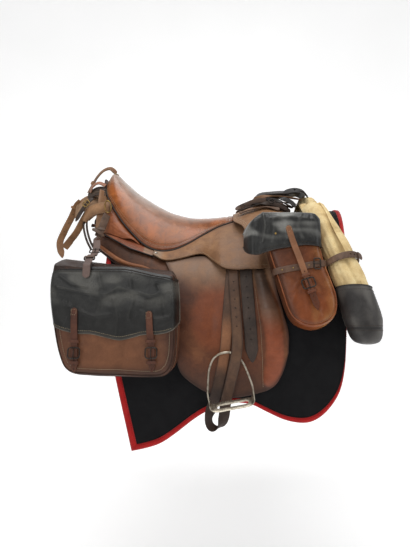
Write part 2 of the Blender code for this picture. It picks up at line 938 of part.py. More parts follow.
def girth_strap(suffix, side):
    """The girth strap, from the skirt's lower edge down: it lies on the flap."""
    line = resample(
        through([(0.150, -0.050), (0.152, -0.090), (0.1565, -0.150), (0.1615, -0.210)]), 9
    )
    path, normals = [], []
    for x, z in line:
        path.append(side_point(x, z, flap_outer(x, z) + GIRTH_LIFT, side))
        normals.append(side_normal(x, z, flap_outer, side))
    # the lower stretch hangs flat, in one plane
    x0, z0 = line[-1]
    first = side_point(x0, z0, flap_outer(x0, z0) + GIRTH_LIFT, side)
    last = side_point(0.167, -0.298, flap_outer(0.167, -0.298) + GIRTH_LIFT + 0.001, side)
    flat = side_normal(0.164, -0.255, flap_outer, side)
    normals[-1] = flat
    for t in (0.5, 0.9, 1.0):
        path.append(first + (last - first) * t)
        normals.append(flat)
    pivot = side_point(0.150, -0.050, flap_outer(0.150, -0.050) + GIRTH_LIFT, side)
    strap(
        "girth_strap" + suffix,
        path,
        normals,
        GIRTH_STRAP_WIDTH,
        STRAP_THICK,
        "strap_leather",
        pivot,
        (1.0, 0.55),
    )


for suffix, side in SIDES:
    girth_strap(suffix, side)


# ================================================================ rear saddlebags
class Tilted:
    """A drawing plane that leans in at the top: (across, up, out) to world, per side."""

    def __init__(self, x, y, z, lean, side):
        self.at = np.array((x, side * y, z))
        self.side = side
        c, s = math.cos(lean), math.sin(lean)
        self.x = np.array((1.0, 0, 0))
        self.up = np.array((0, -side * s, c))
        self.out = np.array((0, side * c, s))

    def __call__(self, a, u, o):
        return self.at + self.x * a + self.up * u + self.out * o


BAG_TOP_Z, BAG_INNER_Y = -0.018, 0.2565
BAG_OUTLINE = through(  # (x, up from the top edge) of the body, seen from outside
    [
        (-0.350, -0.002),
        (-0.357, -0.050),
        (-0.358, -0.105),
        (-0.346, -0.185),
        (-0.326, -0.262),
        (-0.300, -0.302),
        (-0.240, -0.311),
        (-0.176, -0.313),
        (-0.100, -0.315),
        (-0.058, -0.310),
        (-0.037, -0.280),
        (-0.031, -0.215),
        (-0.032, -0.115),
        (-0.040, -0.062),
        (-0.054, -0.036),
    ]
)


def bag_frame(side):
    return Tilted(0.0, BAG_INNER_Y, BAG_TOP_Z, BAG_LEAN, side)


def pouch(name, at, outline, centre, depth, wall, edge, top_at, mouth, slot, pivot):
    """A hollow leather pouch: a rounded body, its cavity, and a mouth near the top.

    outline is the front view (across, up); top_at(across, out) caps its height; mouth is
    a box ((across, up, out) low, high) cut through the wall.
    """

    def body(name, shrink, o0, o1, round_by):
        rings = []
        for o, s in ((o0, 0.35 * round_by), (o0 + 0.4 * round_by, 0.0), (o1 - 0.8 * round_by, 0.0), (o1 - 0.25 * round_by, 0.35 * round_by), (o1, round_by)):
            ring = []
            for a, u in outline:
                c = np.array(centre(u))
                d = np.array((a, u)) - c
                n = max(1e-6, float(np.linalg.norm(d)))
                a2, u2 = np.array((a, u)) - d / n * (shrink + s)
                ring.append(at(a2, min(u2, top_at(a2, o) - shrink), o))
            rings.append(ring)
        return loft(name, rings, slot, False, 35, pivot if not shrink else None)

    made = body(name, 0.0, 0.0, depth, edge)
    cavity = body(name + "_cavity", wall, wall, depth - wall, edge * 0.8)
    bm = bmesh.new()
    (a0, u0, o0), (a1, u1, o1) = mouth
    corners = [bm.verts.new(at(a, u, o)) for a in (a0, a1) for u in (u0, u1) for o in (o0, o1)]
    for f in ((0, 1, 3, 2), (4, 6, 7, 5), (0, 4, 5, 1), (2, 3, 7, 6), (0, 2, 6, 4), (1, 5, 7, 3)):
        bm.faces.new([corners[k] for k in f])
    opening = add(name + "_mouth", bm, slot)
    for cutter in (cavity, opening):
        cutter.hide_render = True
        cutter.display_type = "WIRE"
        cut = made.modifiers.new(cutter.name, "BOOLEAN")
        cut.operation = "DIFFERENCE"
        cut.object = cutter
        cut.solver = "EXACT"
    return made


def bag_slope(a):
    """How far the bag's top sinks towards its front end."""
    return -0.034 * smooth((a + 0.17) / 0.12)


def bag_body(suffix, side):
    """The bag's body: its brown top runs from the back to the lid's seam, over the mouth."""
    at = bag_frame(side)
    pouch(
        "rear_bag" + suffix,
        at,
        resample(BAG_OUTLINE, 26),
        lambda u: (-0.19, -0.15),
        BAG_DEPTH,
        BAG_WALL,
        0.018,
        lambda a, o: -0.003 + bag_slope(a) - 0.030 * (o / BAG_DEPTH) ** 1.6,
        ((-0.322, -0.120, BAG_DEPTH - 0.012), (-0.058, -0.080, BAG_DEPTH + 0.01)),
        "bag_leather",
        bag_pivot(side),
    )


def bag_pivot(side):
    return np.array((-0.290, side * 0.184, 0.036))


# the bag's two sides, across by height
bag_rear_edge = table([(-0.300, -0.305), (-0.262, -0.326), (-0.185, -0.346), (-0.105, -0.358), (-0.050, -0.357), (-0.002, -0.350)])
bag_front_edge = table([(-0.300, -0.052), (-0.280, -0.037), (-0.215, -0.031), (-0.115, -0.032), (-0.062, -0.040), (-0.030, -0.056)])
BAG_LID_LOW = table(
    [
        (-0.363, -0.170),
        (-0.340, -0.194),
        (-0.295, -0.206),
        (-0.255, -0.208),
        (-0.219, -0.216),
        (-0.182, -0.223),
        (-0.145, -0.216),
        (-0.120, -0.210),
        (-0.076, -0.208),
        (-0.043, -0.198),
        (-0.026, -0.170),
    ]
)


def bag_hinge(side):
    return bag_frame(side)(-0.19, -0.037, BAG_DEPTH + 0.004)


def bag_lid(suffix, side):
    """The lid: sewn along the bag's upper front edge, it hangs down over the mouth."""
    at = bag_frame(side)
    d = BAG_DEPTH + 0.0025
    rows = 5
    # across the lid: share of its width, and how far it wraps back round the bag's side
    wraps = [(0.0, 0.034), (0.012, 0.012), (0.036, 0.0035)]
    across = wraps + [(k / 10, 0.0) for k in range(1, 10)] + [(1 - f, w) for f, w in wraps[::-1]]
    outer, inner = [], []
    for f, wrap in across:
        row_a, row_b = [], []
        for j in range(rows + 1):
            v = j / rows
            mid = lerp(-0.359, -0.030, f)
            u = lerp(-0.0385 + bag_slope(mid), BAG_LID_LOW(mid), v)
            a = lerp(bag_rear_edge(u) - 0.0035, bag_front_edge(u) + 0.0035, f)
            o = d - wrap + 0.003 * math.sin(math.pi * v)
            side_out = 0.0035 if wrap > 0.01 else 0.0014 if wrap else 0.0
            row_b.append(at(a, u, o))
            row_a.append(at(a + math.copysign(side_out, f - 0.5), u, o + (0.0035 if wrap < 0.02 else 0.0)))
        outer.append(row_a)
        inner.append(row_b)
    # the grids already carry the side's sign
    grid_solid("rear_bag_lid" + suffix, outer, inner, "black_leather", 0, 45, bag_hinge(side))


def bag_strap(suffix, side, name, a_top, a_low, u_top):
    """A closing strap on the lid: sewn at its top, buckled below the lid's edge."""
    at = bag_frame(side)
    o = BAG_DEPTH + 0.0025 + 0.0035 + 0.0030 + 0.0021
    points = [(a_top, u_top, o), (lerp(a_top, a_low, 0.35), u_top - 0.05, o), (lerp(a_top, a_low, 0.7), -0.232, o - 0.0030), (a_low, -0.288, o - 0.0060)]
    path = [at(*p) for p in points]
    strap(
        "bag_strap_" + name + suffix,
        path,
        [at.out] * len(path),
        BAG_STRAP_WIDTH,
        STRAP_THICK,
        "bag_leather",
        None,
        (1.0, 0.6),
    )
    a_b = lerp(a_top, a_low, 0.80)
    buckle(
        "bag_buckle_" + name + suffix,
        at(a_b, -0.255, o + 0.0006),
        at.x,
        at.up,
        at.out,
        0.030,
        0.027,
        0.0036,
        "iron",
    )


for suffix, side in SIDES:
    bag_body(suffix, side)
    bag_lid(suffix, side)
    bag_strap(suffix, side, "rear", -0.289, -0.283, -0.142)
    bag_strap(suffix, side, "front", -0.099, -0.088, -0.150)

# ================================================================ front wallets
WALLET_TOP_Z, WALLET_INNER_Y = 0.095, 0.216
WALLET_OUTLINE = through(  # (x, up from the top edge), the body leans forward as it goes down
    [
        (0.192, -0.012),
        (0.206, -0.100),
        (0.226, -0.178),
        (0.243, -0.236),
        (0.262, -0.288),
        (0.287, -0.312),
        (0.324, -0.322),
        (0.361, -0.310),
        (0.384, -0.284),
        (0.388, -0.244),
        (0.376, -0.196),
        (0.361, -0.148),
        (0.350, -0.100),
        (0.340, -0.012),
    ]
)


def wallet_frame(side):
    return Tilted(0.0, WALLET_INNER_Y, WALLET_TOP_Z, WALLET_LEAN, side)


def wallet_body(suffix, side):
    at = wallet_frame(side)
    pouch(
        "wallet" + suffix,
        at,
        resample(WALLET_OUTLINE, 24),
        lambda u: (lerp(0.270, 0.322, smooth(-u / 0.30)), max(u, -0.25)),
        WALLET_DEPTH,
        WALLET_WALL,
        0.026,
        lambda a, o: -0.010 - 0.012 * (o / WALLET_DEPTH) ** 2,
        ((0.205, -0.060, 0.012), (0.334, 0.010, WALLET_DEPTH + 0.01)),
        "bag_leather",
        None,
    )


wallet_lid_low = table(
    [
        (0.142, -0.092),
        (0.158, -0.110),
        (0.183, -0.110),
        (0.205, -0.103),
        (0.235, -0.098),
        (0.280, -0.092),
        (0.312, -0.087),
        (0.352, -0.090),
    ]
)


def wallet_lid(suffix, side):
    """The wallet's lid, with its rear ear that falls over the skirt."""
    at = wallet_frame(side)
    d = WALLET_DEPTH
    cols = 10
    outer, inner = [], []
    for i in range(cols + 1):
        t = i / cols
        a = lerp(0.146, 0.3485, t)
        low = wallet_lid_low(a)
        ear = smooth((0.190 - a) / 0.03)
        drop = -0.030 * ear
        end = abs(2 * t - 1) ** 4
        section = [
            (0.0035 + drop, 0.001 + 0.030 * ear),
            (0.0050 + drop - 0.003 * end, 0.026 + 0.012 * ear),
            (-0.004 + drop - 0.004 * end, 0.050 + 0.004 * ear),
            (-0.018 + 0.7 * drop - 0.004 * end, d + 0.001 - 0.004 * end),
            (lerp(-0.045, low, 0.45), d + 0.0045 - 0.004 * end),
            (low, d + 0.0045 - 0.004 * end),
        ]
        row_a, row_b = [], []
        for k, (u, o) in enumerate(section):
            p, q = section[max(k - 1, 0)], section[min(k + 1, len(section) - 1)]
            du, do = q[0] - p[0], q[1] - p[1]
            n = math.hypot(du, do)
            row_b.append(at(a, u, o))
            row_a.append(at(a, u + do / n * 0.0035, o - du / n * 0.0035))
        outer.append(row_a)
        inner.append(row_b)
    grid_solid("wallet_lid" + suffix, outer, inner, "black_leather", 0, 45, at(0.25, 0.004, 0.0))


def wallet_strap(suffix, side):
    at = wallet_frame(side)
    o = WALLET_DEPTH + 0.0045 + 0.0035 + 0.0022
    points = [(0.262, -0.050, o), (0.276, -0.100, o), (0.292, -0.150, o + 0.004), (0.311, -0.210, o + 0.004), (0.331, -0.272, o + 0.001)]
    path = [at(*p) for p in points]
    strap(
        "wallet_strap" + suffix,
        path,
        [at.out] * len(path),
        BAG_STRAP_WIDTH,
        STRAP_THICK,
        "tan_leather",
        None,
        (1.0, 0.6),
    )


for suffix, side in SIDES:
    wallet_body(suffix, side)
    wallet_lid(suffix, side)
    wallet_strap(suffix, side)


def wallet_bridge():
    """The tan leather that joins the two wallets over the pommel."""
    # the middle line, front to rear
    crown = table([(0.115, 0.124), (0.150, 0.140), (0.200, 0.1545), (0.235, 0.153), (0.285, 0.140)])
    cols, rows = 6, 6
    outer, inner = [], []
    for i in range(cols + 1):
        x = lerp(0.117, 0.285, i / cols)
        a, b = [], []
        for j in range(-rows, rows + 1):
            y = 0.200 * j / rows
            z = crown(x) - 0.078 * abs(j / rows) ** 1.9
            b.append((x, y, z - 0.004))
            a.append((x, y, z))
        outer.append(a)
        inner.append(b)
    grid_solid("wallet_bridge", outer, inner, "tan_leather")


wallet_bridge()


# ================================================================ cape roll
roll_x = table(
    [(0.160, 0.374), (0.120, 0.374), (0.060, 0.384), (0.000, 0.403), (-0.050, 0.420), (-0.100, 0.436), (-0.140, 0.449), (-0.190, 0.461), (-0.260, 0.470)][::-1]
)
roll_up = table([(0.0, 0.026), (0.5, 0.034), (0.9, 0.044), (1.3, 0.049), (2.2, 0.050)])
roll_wide = table([(0.0, 0.050), (0.5, 0.044), (0.9, 0.044), (1.3, 0.048), (2.2, 0.050)])


def roll_station(angle, side, swell=0.0):
    """(centre, along x, outward) and half-sizes of the roll at an angle from the ridge."""
    up, wide = roll_up(angle), roll_wide(angle)
    guess = arc(0.42, angle, 0.0135 + up)
    x = roll_x(guess[2])
    _, y, z = arc(x, angle, 0.0135 + up)
    n = side_normal(x, max(z, -0.28), 0.0, 1) if angle > 0.02 else np.array((0, 0, 1.0))
    return np.array((x, side * y, z)), np.array((0, side * n[1], n[2])), wide + swell, up + swell


def roll_ring(angle, side, swell=0.0, sides=12, shrink=1.0):
    c, n, wide, up = roll_station(angle, side, swell)
    out = []
    for k in range(sides):
        a = 2 * math.pi * (k + 0.5) / sides
        out.append(c + np.array((1.0, 0, 0)) * wide * shrink * math.cos(a) + n * up * shrink * math.sin(a))
    return out


CAP_START = 1.17


def cape_roll():
    angles = np.linspace(-CAP_START + 0.004, CAP_START - 0.004, 23)
    rings = []
    for a in angles:
        side = -1 if a < 0 else 1
        ring = roll_ring(abs(a), side)
        rings.append(ring)
    loft("cape_roll", rings, "canvas", False, 60)


cape_roll()


def roll_cap(suffix, side):
    rings = []
    for a, swell, shrink in (
        (CAP_START, 0.001, 1.0),
        (1.23, 0.0015, 1.0),
        (1.30, 0.002, 1.0),
        (1.37, 0.002, 0.97),
        (1.42, 0.0, 0.86),
        (1.45, 0.0, 0.60),
        (1.46, 0.0, 0.30),
    ):
        rings.append(roll_ring(a, side, swell, 12, shrink))
    loft("roll_cap" + suffix, rings, "black_leather", False, 60)


for suffix, side in SIDES:
    roll_cap(suffix, side)


def roll_strap(suffix, side):
    """The strap that holds the roll against the wallet: round the roll, buckled in front."""
    angle = 0.98
    sides = 12
    c, n, wide, up = roll_station(angle, side)
    path, normals = [], []
    for k in range(sides):
        a = 2 * math.pi * (k + 0.5) / sides
        out = np.array((1.0, 0, 0)) * math.cos(a) * up + n * math.sin(a) * wide
        out /= np.linalg.norm(out)
        path.append(c + np.array((1.0, 0, 0)) * (wide + 0.0058) * math.cos(a) + n * (up + 0.0058) * math.sin(a))
        normals.append(out)
    strap("roll_strap" + suffix, path, normals, 0.020, STRAP_THICK, "strap_leather", None, (1, 1), True)


for suffix, side in SIDES:
    roll_strap(suffix, side)


def pommel_cover():
    """The black leather cover that lies over the pommel and the folded top of the roll."""
    crown = table([(0.170, 0.166), (0.195, 0.192), (0.240, 0.198), (0.296, 0.2015), (0.320, 0.208), (0.338, 0.203), (0.350, 0.190)])
    cols, rows = 9, 4
    outer, inner = [], []
    for i in range(cols + 1):
        x = lerp(0.170, 0.350, i / cols)
        a, b = [], []
        for j in range(-rows, rows + 1):
            s = j / rows
            y = 0.075 * s
            z = crown(x) - 0.014 * abs(s) ** 2
            b.append((x, y, z - 0.0045))
            a.append((x, y, z))
        outer.append(a)
        inner.append(b)
    grid_solid("pommel_cover", outer, inner, "black_leather")


pommel_cover()


# ================================================================ straps at the cantle
def cantle_strap():
    """The strap through the slot in the cantle's peak, looped back and down."""
    points = [(-0.281, 0.0, 0.2605), (-0.301, 0.0, 0.277), (-0.325, 0.0, 0.268), (-0.346, 0.0, 0.245), (-0.362, 0.0, 0.215), (-0.372, 0.0, 0.196)]
    line = through(points, per=2)
    normals = []
    for k in range(len(line)):
        t = line[min(k + 1, len(line) - 1)] - line[max(k - 1, 0)]
        normals.append((t[2], 0, -t[0]))
    strap("cantle_strap", line, normals, 0.022, 0.0035, "tan_leather")


cantle_strap()


def cantle_fan():
    """The broad tan leather piece behind the cantle, that the hanging straps leave."""
    cols, rows = 6, 4
    outer, inner = [], []
    for i in range(cols + 1):
        t = i / cols
        a, b = [], []
        for j in range(-rows, rows + 1):
            s = j / rows
            y = lerp(0.072, 0.056, t) * s
            x = lerp(-0.328, -0.394, t) + 0.010 * s * s
            z = lerp(0.176, 0.170, t) + 0.014 * math.sin(math.pi * t) - 0.046 * abs(s) ** 1.7
            b.append((x, y, z - 0.0035))
            a.append((x, y, z))
        outer.append(a)
        inner.append(b)
    grid_solid("cantle_fan", outer, inner, "tan_leather")


cantle_fan()


def hanging(name, suffix, side, points, width, slot, thick=STRAP_THICK, pivot=None, tip=0.7):
    line = through([(x, side * y, z) for x, y, z in points], per=2)
    normals = []
    for k in range(len(line)):
        t = line[min(k + 1, len(line) - 1)] - line[max(k - 1, 0)]
        n = np.cross(t, np.array((0, 1.0, 0)))
        n = n / np.linalg.norm(n) + np.array((0, side * 1.6, 0))
        normals.append(n)
    strap(name + suffix, line, normals, width, thick, slot, pivot, (1.0, tip))


hanging(
    "crupper_strap",
    "",
    -1,
    [(-0.402, 0.030, 0.150), (-0.416, 0.036, 0.110), (-0.435, 0.046, 0.064), (-0.444, 0.060, 0.026), (-0.430, 0.076, -0.020)],
    0.022,
    "tan_leather",
)
hanging(
    "keeper_strap",
    "",
    -1,
    [(-0.345, 0.084, 0.128), (-0.360, 0.090, 0.098), (-0.378, 0.098, 0.060), (-0.394, 0.105, 0.036), (-0.408, 0.110, 0.016)],
    0.022,
    "tan_leather",
)
for suffix, side in SIDES:
    # the dee behind the cantle, the strap on it, and the buckled strap that hangs from that
    ring_path = []
    rc = np.array((-0.278, side * 0.104, 0.140))
    for k in range(10):
        a = 2 * math.pi * k / 10
        ring_path.append(rc + np.array((0.010 * math.cos(a), side * 0.004 * math.sin(a), 0.018 * math.sin(a))))
    wire("cantle_dee" + suffix, ring_path, [(0, side, 0.2)] * 10, 0.0036, 0.0036, "brass", 6, True)
    hanging(
        "bag_hanger",
        suffix,
        side,
        [(-0.279, 0.112, 0.114), (-0.283, 0.134, 0.086), (-0.288, 0.152, 0.062), (-0.291, 0.168, 0.044)],
        0.024,
        "strap_leather",
        STRAP_THICK,
        None,
        1.0,
    )
    frame = bag_frame(side)
    over = [frame(-0.274, 0.0065, 0.012), frame(-0.271, 0.0030, 0.040), frame(-0.268, -0.0075, 0.066), frame(-0.265, -0.0235, 0.087)]
    pivot = bag_pivot(side)
    hanging(
        "hanging_strap",
        suffix,
        side,
        [(-0.290, 0.186, 0.032), (-0.282, 0.214, 0.014)] + [(p[0], abs(p[1]), p[2]) for p in over],
        0.020,
        "strap_leather",
        STRAP_THICK,
        pivot,
    )
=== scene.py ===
"""Looks for a packed officer's saddle: leather, cloth, canvas, steel and brass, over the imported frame."""
import math

import bmesh
import bpy
import numpy as np
from mathutils import Matrix, Vector, kdtree, noise


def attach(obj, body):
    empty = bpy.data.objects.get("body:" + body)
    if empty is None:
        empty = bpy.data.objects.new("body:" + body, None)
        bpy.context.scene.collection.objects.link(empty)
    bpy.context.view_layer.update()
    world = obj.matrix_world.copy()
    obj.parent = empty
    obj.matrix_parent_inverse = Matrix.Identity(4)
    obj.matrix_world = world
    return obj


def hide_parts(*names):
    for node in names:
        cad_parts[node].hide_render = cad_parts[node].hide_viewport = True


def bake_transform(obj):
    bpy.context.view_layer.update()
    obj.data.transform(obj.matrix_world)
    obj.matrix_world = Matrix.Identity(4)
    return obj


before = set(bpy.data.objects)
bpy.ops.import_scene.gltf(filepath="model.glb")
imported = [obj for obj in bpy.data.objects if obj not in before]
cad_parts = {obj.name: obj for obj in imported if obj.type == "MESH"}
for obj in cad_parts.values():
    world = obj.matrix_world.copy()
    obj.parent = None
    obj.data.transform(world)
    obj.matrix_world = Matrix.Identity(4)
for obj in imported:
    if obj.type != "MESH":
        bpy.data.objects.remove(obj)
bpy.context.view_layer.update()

scene = bpy.context.scene

# ================================================================ camera, floor, light
cam_data = bpy.data.cameras.new("camera")
camera = bpy.data.objects.new("camera", cam_data)
scene.collection.objects.link(camera)
scene.camera = camera
camera.location = (0.133, -1.63, 0.005)
camera.rotation_mode = "XYZ"
camera.rotation_euler = (math.radians(90), 0.0, 0.0)
camera.matrix_world = (
    Matrix.Translation((0.133, -1.63, 0.005))
    @ Matrix.Rotation(math.radians(90), 4, "X")
)
cam_data.lens = 490 / 547 * 36
cam_data.sensor_width = 36
cam_data.sensor_fit = "AUTO"
cam_data.shift_x = -35 / 547
cam_data.shift_y = -23.5 / 547
cam_data.clip_start = 0.05

world = bpy.data.worlds.new("studio")
scene.world = world
world.use_nodes = True
background = world.node_tree.nodes["Background"]
background.inputs["Color"].default_value = (1.0, 1.0, 1.0, 1)
seen = world.node_tree.nodes.new("ShaderNodeLightPath")
level = world.node_tree.nodes.new("ShaderNodeMapRange")
level.inputs["To Min"].default_value = 0.35
level.inputs["To Max"].default_value = 0.97
world.node_tree.links.new(seen.outputs["Is Camera Ray"], level.inputs["Value"])
world.node_tree.links.new(level.outputs["Result"], background.inputs["Strength"])
scene.view_settings.view_transform = "Standard"
scene.view_settings.look = "None"


def area_light(name, at, to, size, watts, colour=(1, 1, 1)):
    data = bpy.data.lights.new(name, "AREA")
    data.shape = "RECTANGLE"
    data.size, data.size_y = size
    data.energy = watts
    data.color = colour
    o = bpy.data.objects.new(name, data)
    o.location = at
    o.rotation_euler = (Vector(to) - Vector(at)).to_track_quat("-Z", "Y").to_euler()
    scene.collection.objects.link(o)
    return o


area_light("top_soft", (0.0, -0.5, 2.3), (0.05, 0.0, 0.0), (2.0, 1.4), 39)
area_light("front_soft", (-0.9, -2.6, 1.2), (0.05, 0.0, -0.1), (1.6, 1.4), 13, (1.0, 0.99, 0.97))
area_light("side_soft", (2.3, -1.4, 0.9), (0.1, 0.0, -0.1), (1.0, 1.4), 9, (0.97, 0.985, 1.0))

# ================================================================ curves and surfaces of the saddle
BARREL_HALF_WIDTH = 0.275
BARREL_LEVEL = -0.295
WITHERS_RISE = 0.130
CROUP_RISE = 0.023
PANEL_REST = 0.0036
REST = 0.0022
CLOTH_THICK = 0.006
BINDING_WIDTH = 0.015
PANEL_THICK = 0.018
PANEL_REAR_EXTRA = 0.024
FLAP_THICK = 0.0045
SKIRT_THICK = 0.004
BAR_THICK = 0.010


def smooth(t):
    t = min(1.0, max(0.0, t))
    return t * t * (3 - 2 * t)


def bump1(x, centre, half):
    """A smooth hump of height 1 at centre, 0 beyond half away."""
    d = abs(x - centre) / half
    return (1 - d * d) ** 2 if d < 1 else 0.0


def lerp(a, b, t):
    return a + (b - a) * t


def through(points, closed=False, per=8):
    p = np.array(points, float)
    n = len(p)
    out = []
    for i in range(n if closed else n - 1):
        if closed:
            a, b, c, d = (p[(i + k - 1) % n] for k in range(4))
        else:
            b, c = p[i], p[i + 1]
            a = p[i - 1] if i else 2 * b - c
            d = p[i + 2] if i + 2 < n else 2 * c - b
        for k in range(per):
            t = k / per
            out.append(0.5 * (2 * b + (c - a) * t + (2 * a - 5 * b + 4 * c - d) * t * t + (3 * b - a - 3 * c + d) * t**3))
    if not closed:
        out.append(p[-1])
    return np.array(out)


def resample(line, n, closed=False):
    line = np.array(line, float)
    if closed:
        line = np.vstack([line, line[:1]])
    run = np.concatenate([[0], np.cumsum(np.linalg.norm(np.diff(line, axis=0), axis=1))])
    at = np.linspace(0, run[-1], n + 1)[:-1] if closed else np.linspace(0, run[-1], n)
    return np.stack([np.interp(at, run, line[:, k]) for k in range(line.shape[1])], axis=1)


def length_of(line):
    return float(np.linalg.norm(np.diff(np.array(line, float), axis=0), axis=1).sum())


def table(points):
    line = through(points)
    return lambda x: float(np.interp(x, line[:, 0], line[:, 1]))


def ridge(x):
    return CROUP_RISE * smooth((-x - 0.05) / 0.24) + WITHERS_RISE * smooth((x - 0.02) / 0.42)


def side_y(x, z, h):
    a, b = BARREL_HALF_WIDTH + h, ridge(x) - BARREL_LEVEL + h
    c = (z - BARREL_LEVEL) / b
    if c <= 0:
        return a
    return a * math.sqrt(max(0.0, 1 - min(c, 1.0) ** 2))


def top_z(x, y, h):
    a, b = BARREL_HALF_WIDTH + h, ridge(x) - BARREL_LEVEL + h
    return BARREL_LEVEL + b * math.sqrt(max(0.0, 1 - (y / a) ** 2))


def arc(x, angle, h):
    a, b = BARREL_HALF_WIDTH + h, ridge(x) - BARREL_LEVEL + h
    if angle > math.pi / 2:
        return x, a, BARREL_LEVEL - (angle - math.pi / 2) * 0.28
    return x, a * math.sin(angle), BARREL_LEVEL + b * math.cos(angle)


def side_point(x, z, h, side):
    return np.array((x, side * side_y(x, z, h), z))


def side_normal(x, z, h, side):
    def y(x1, z1):
        return side_y(x1, z1, h(x1, z1) if callable(h) else h)

    e = 0.006
    n = np.array((-(y(x + e, z) - y(x - e, z)) / (2 * e), 1.0, -(y(x, z + e) - y(x, z - e)) / (2 * e)))
    n[1] *= side
    return n / np.linalg.norm(n)


def unit(v):
    v = np.array(v, float)
    return v / max(1e-12, np.linalg.norm(v))


def nz(x, y, z, scale, seed=0.0):
    """Smooth noise from -1 to 1."""
    return noise.noise(Vector((x * scale + seed, y * scale - seed * 0.7, z * scale + seed * 1.3)))


def crease(p, line, half, height=1.0):
    """A ridge (or with a negative height a crease) along a polyline, for a 2-D point."""
    best = 1e9
    for (ax, ay), (bx, by) in zip(line[:-1], line[1:]):
        dx, dy = bx - ax, by - ay
        t = ((p[0] - ax) * dx + (p[1] - ay) * dy) / max(1e-12, dx * dx + dy * dy)
        t = min(1.0, max(0.0, t))
        ex, ey = p[0] - ax - dx * t, p[1] - ay - dy * t
        d = math.sqrt(ex * ex + ey * ey)
        if d < best:
            best = d
    d = best / half
    return height * (1 - d * d) ** 2 if d < 1 else 0.0


SIDES = (("_r", -1), ("_l", 1))
BODY = {"_r": "right", "_l": "left"}


# ================================================================ materials
def srgb(r, g, b):
    def one(c):
        c /= 255
        return c / 12.92 if c <= 0.04045 else ((c + 0.055) / 1.055) ** 2.4

    return (one(r), one(g), one(b))


class Net:
    """A small helper to write a node material."""

    def __init__(self, name):
        self.mat = bpy.data.materials.new(name)
        self.mat.use_nodes = True
        self.t = self.mat.node_tree
        self.bsdf = self.t.nodes["Principled BSDF"]
        self.co = self.node("TexCoord").outputs["Object"]

    def put(self, socket, v):
        if isinstance(v, bpy.types.NodeSocket):
            self.t.links.new(v, socket)
        elif isinstance(v, tuple) and len(v) == 3 and socket.type == "RGBA":
            socket.default_value = (*v, 1.0)
        else:
            socket.default_value = v

    def node(self, kind, inputs=None, **props):
        n = self.t.nodes.new("ShaderNode" + kind)
        for k, v in props.items():
            setattr(n, k, v)
        for k, v in (inputs or {}).items():
            self.put(n.inputs[k], v)
        return n

    def noise(self, scale, detail=4.0, rough=0.55, distortion=0.0, co=None):
        return self.node(
            "TexNoise",
            {"Vector": co or self.co, "Scale": scale, "Detail": detail, "Roughness": rough, "Distortion": distortion},
        ).outputs["Fac"]

    def voronoi(self, scale, feature="F1", co=None, rand=1.0):
        return self.node(
            "TexVoronoi", {"Vector": co or self.co, "Scale": scale, "Randomness": rand}, feature=feature
        ).outputs["Distance"]

    def stretch(self, x, y, z, rot=(0, 0, 0), co=None):
        return self.node("Mapping", {"Vector": co or self.co, "Scale": (x, y, z), "Rotation": rot}).outputs["Vector"]

    def math(self, op, a, b=0.0, clamp=False):
        n = self.node("Math", operation=op, use_clamp=clamp)
        self.put(n.inputs[0], a)
        self.put(n.inputs[1], b)
        return n.outputs[0]

    def range(self, v, a, b, c, d):
        n = self.node("MapRange", {"Value": v, "From Min": a, "From Max": b, "To Min": c, "To Max": d}, clamp=True)
        return n.outputs["Result"]

    def mix(self, f, a, b, how="MIX"):
        n = self.node("Mix", data_type="RGBA", blend_type=how)
        self.put(n.inputs[0], f)
        self.put(n.inputs[6], a)
        self.put(n.inputs[7], b)
        return n.outputs[2]

    def ramp(self, v, stops):
        n = self.node("ValToRGB", {"Fac": v})
        e = n.color_ramp.elements
        while len(e) < len(stops):
            e.new(0.5)
        for k, (p, c) in enumerate(stops):
            e[k].position = p
            e[k].color = (*c, 1.0) if len(c) == 3 else c
        return n.outputs["Color"]

    def attribute(self, name, out="Fac"):
        return self.node("Attribute", attribute_name=name).outputs[out]

    def bump(self, height, distance, strength=1.0, normal=None):
        n = self.node("Bump", {"Height": height, "Distance": distance, "Strength": strength})
        if normal is not None:
            self.put(n.inputs["Normal"], normal)
        return n.outputs["Normal"]


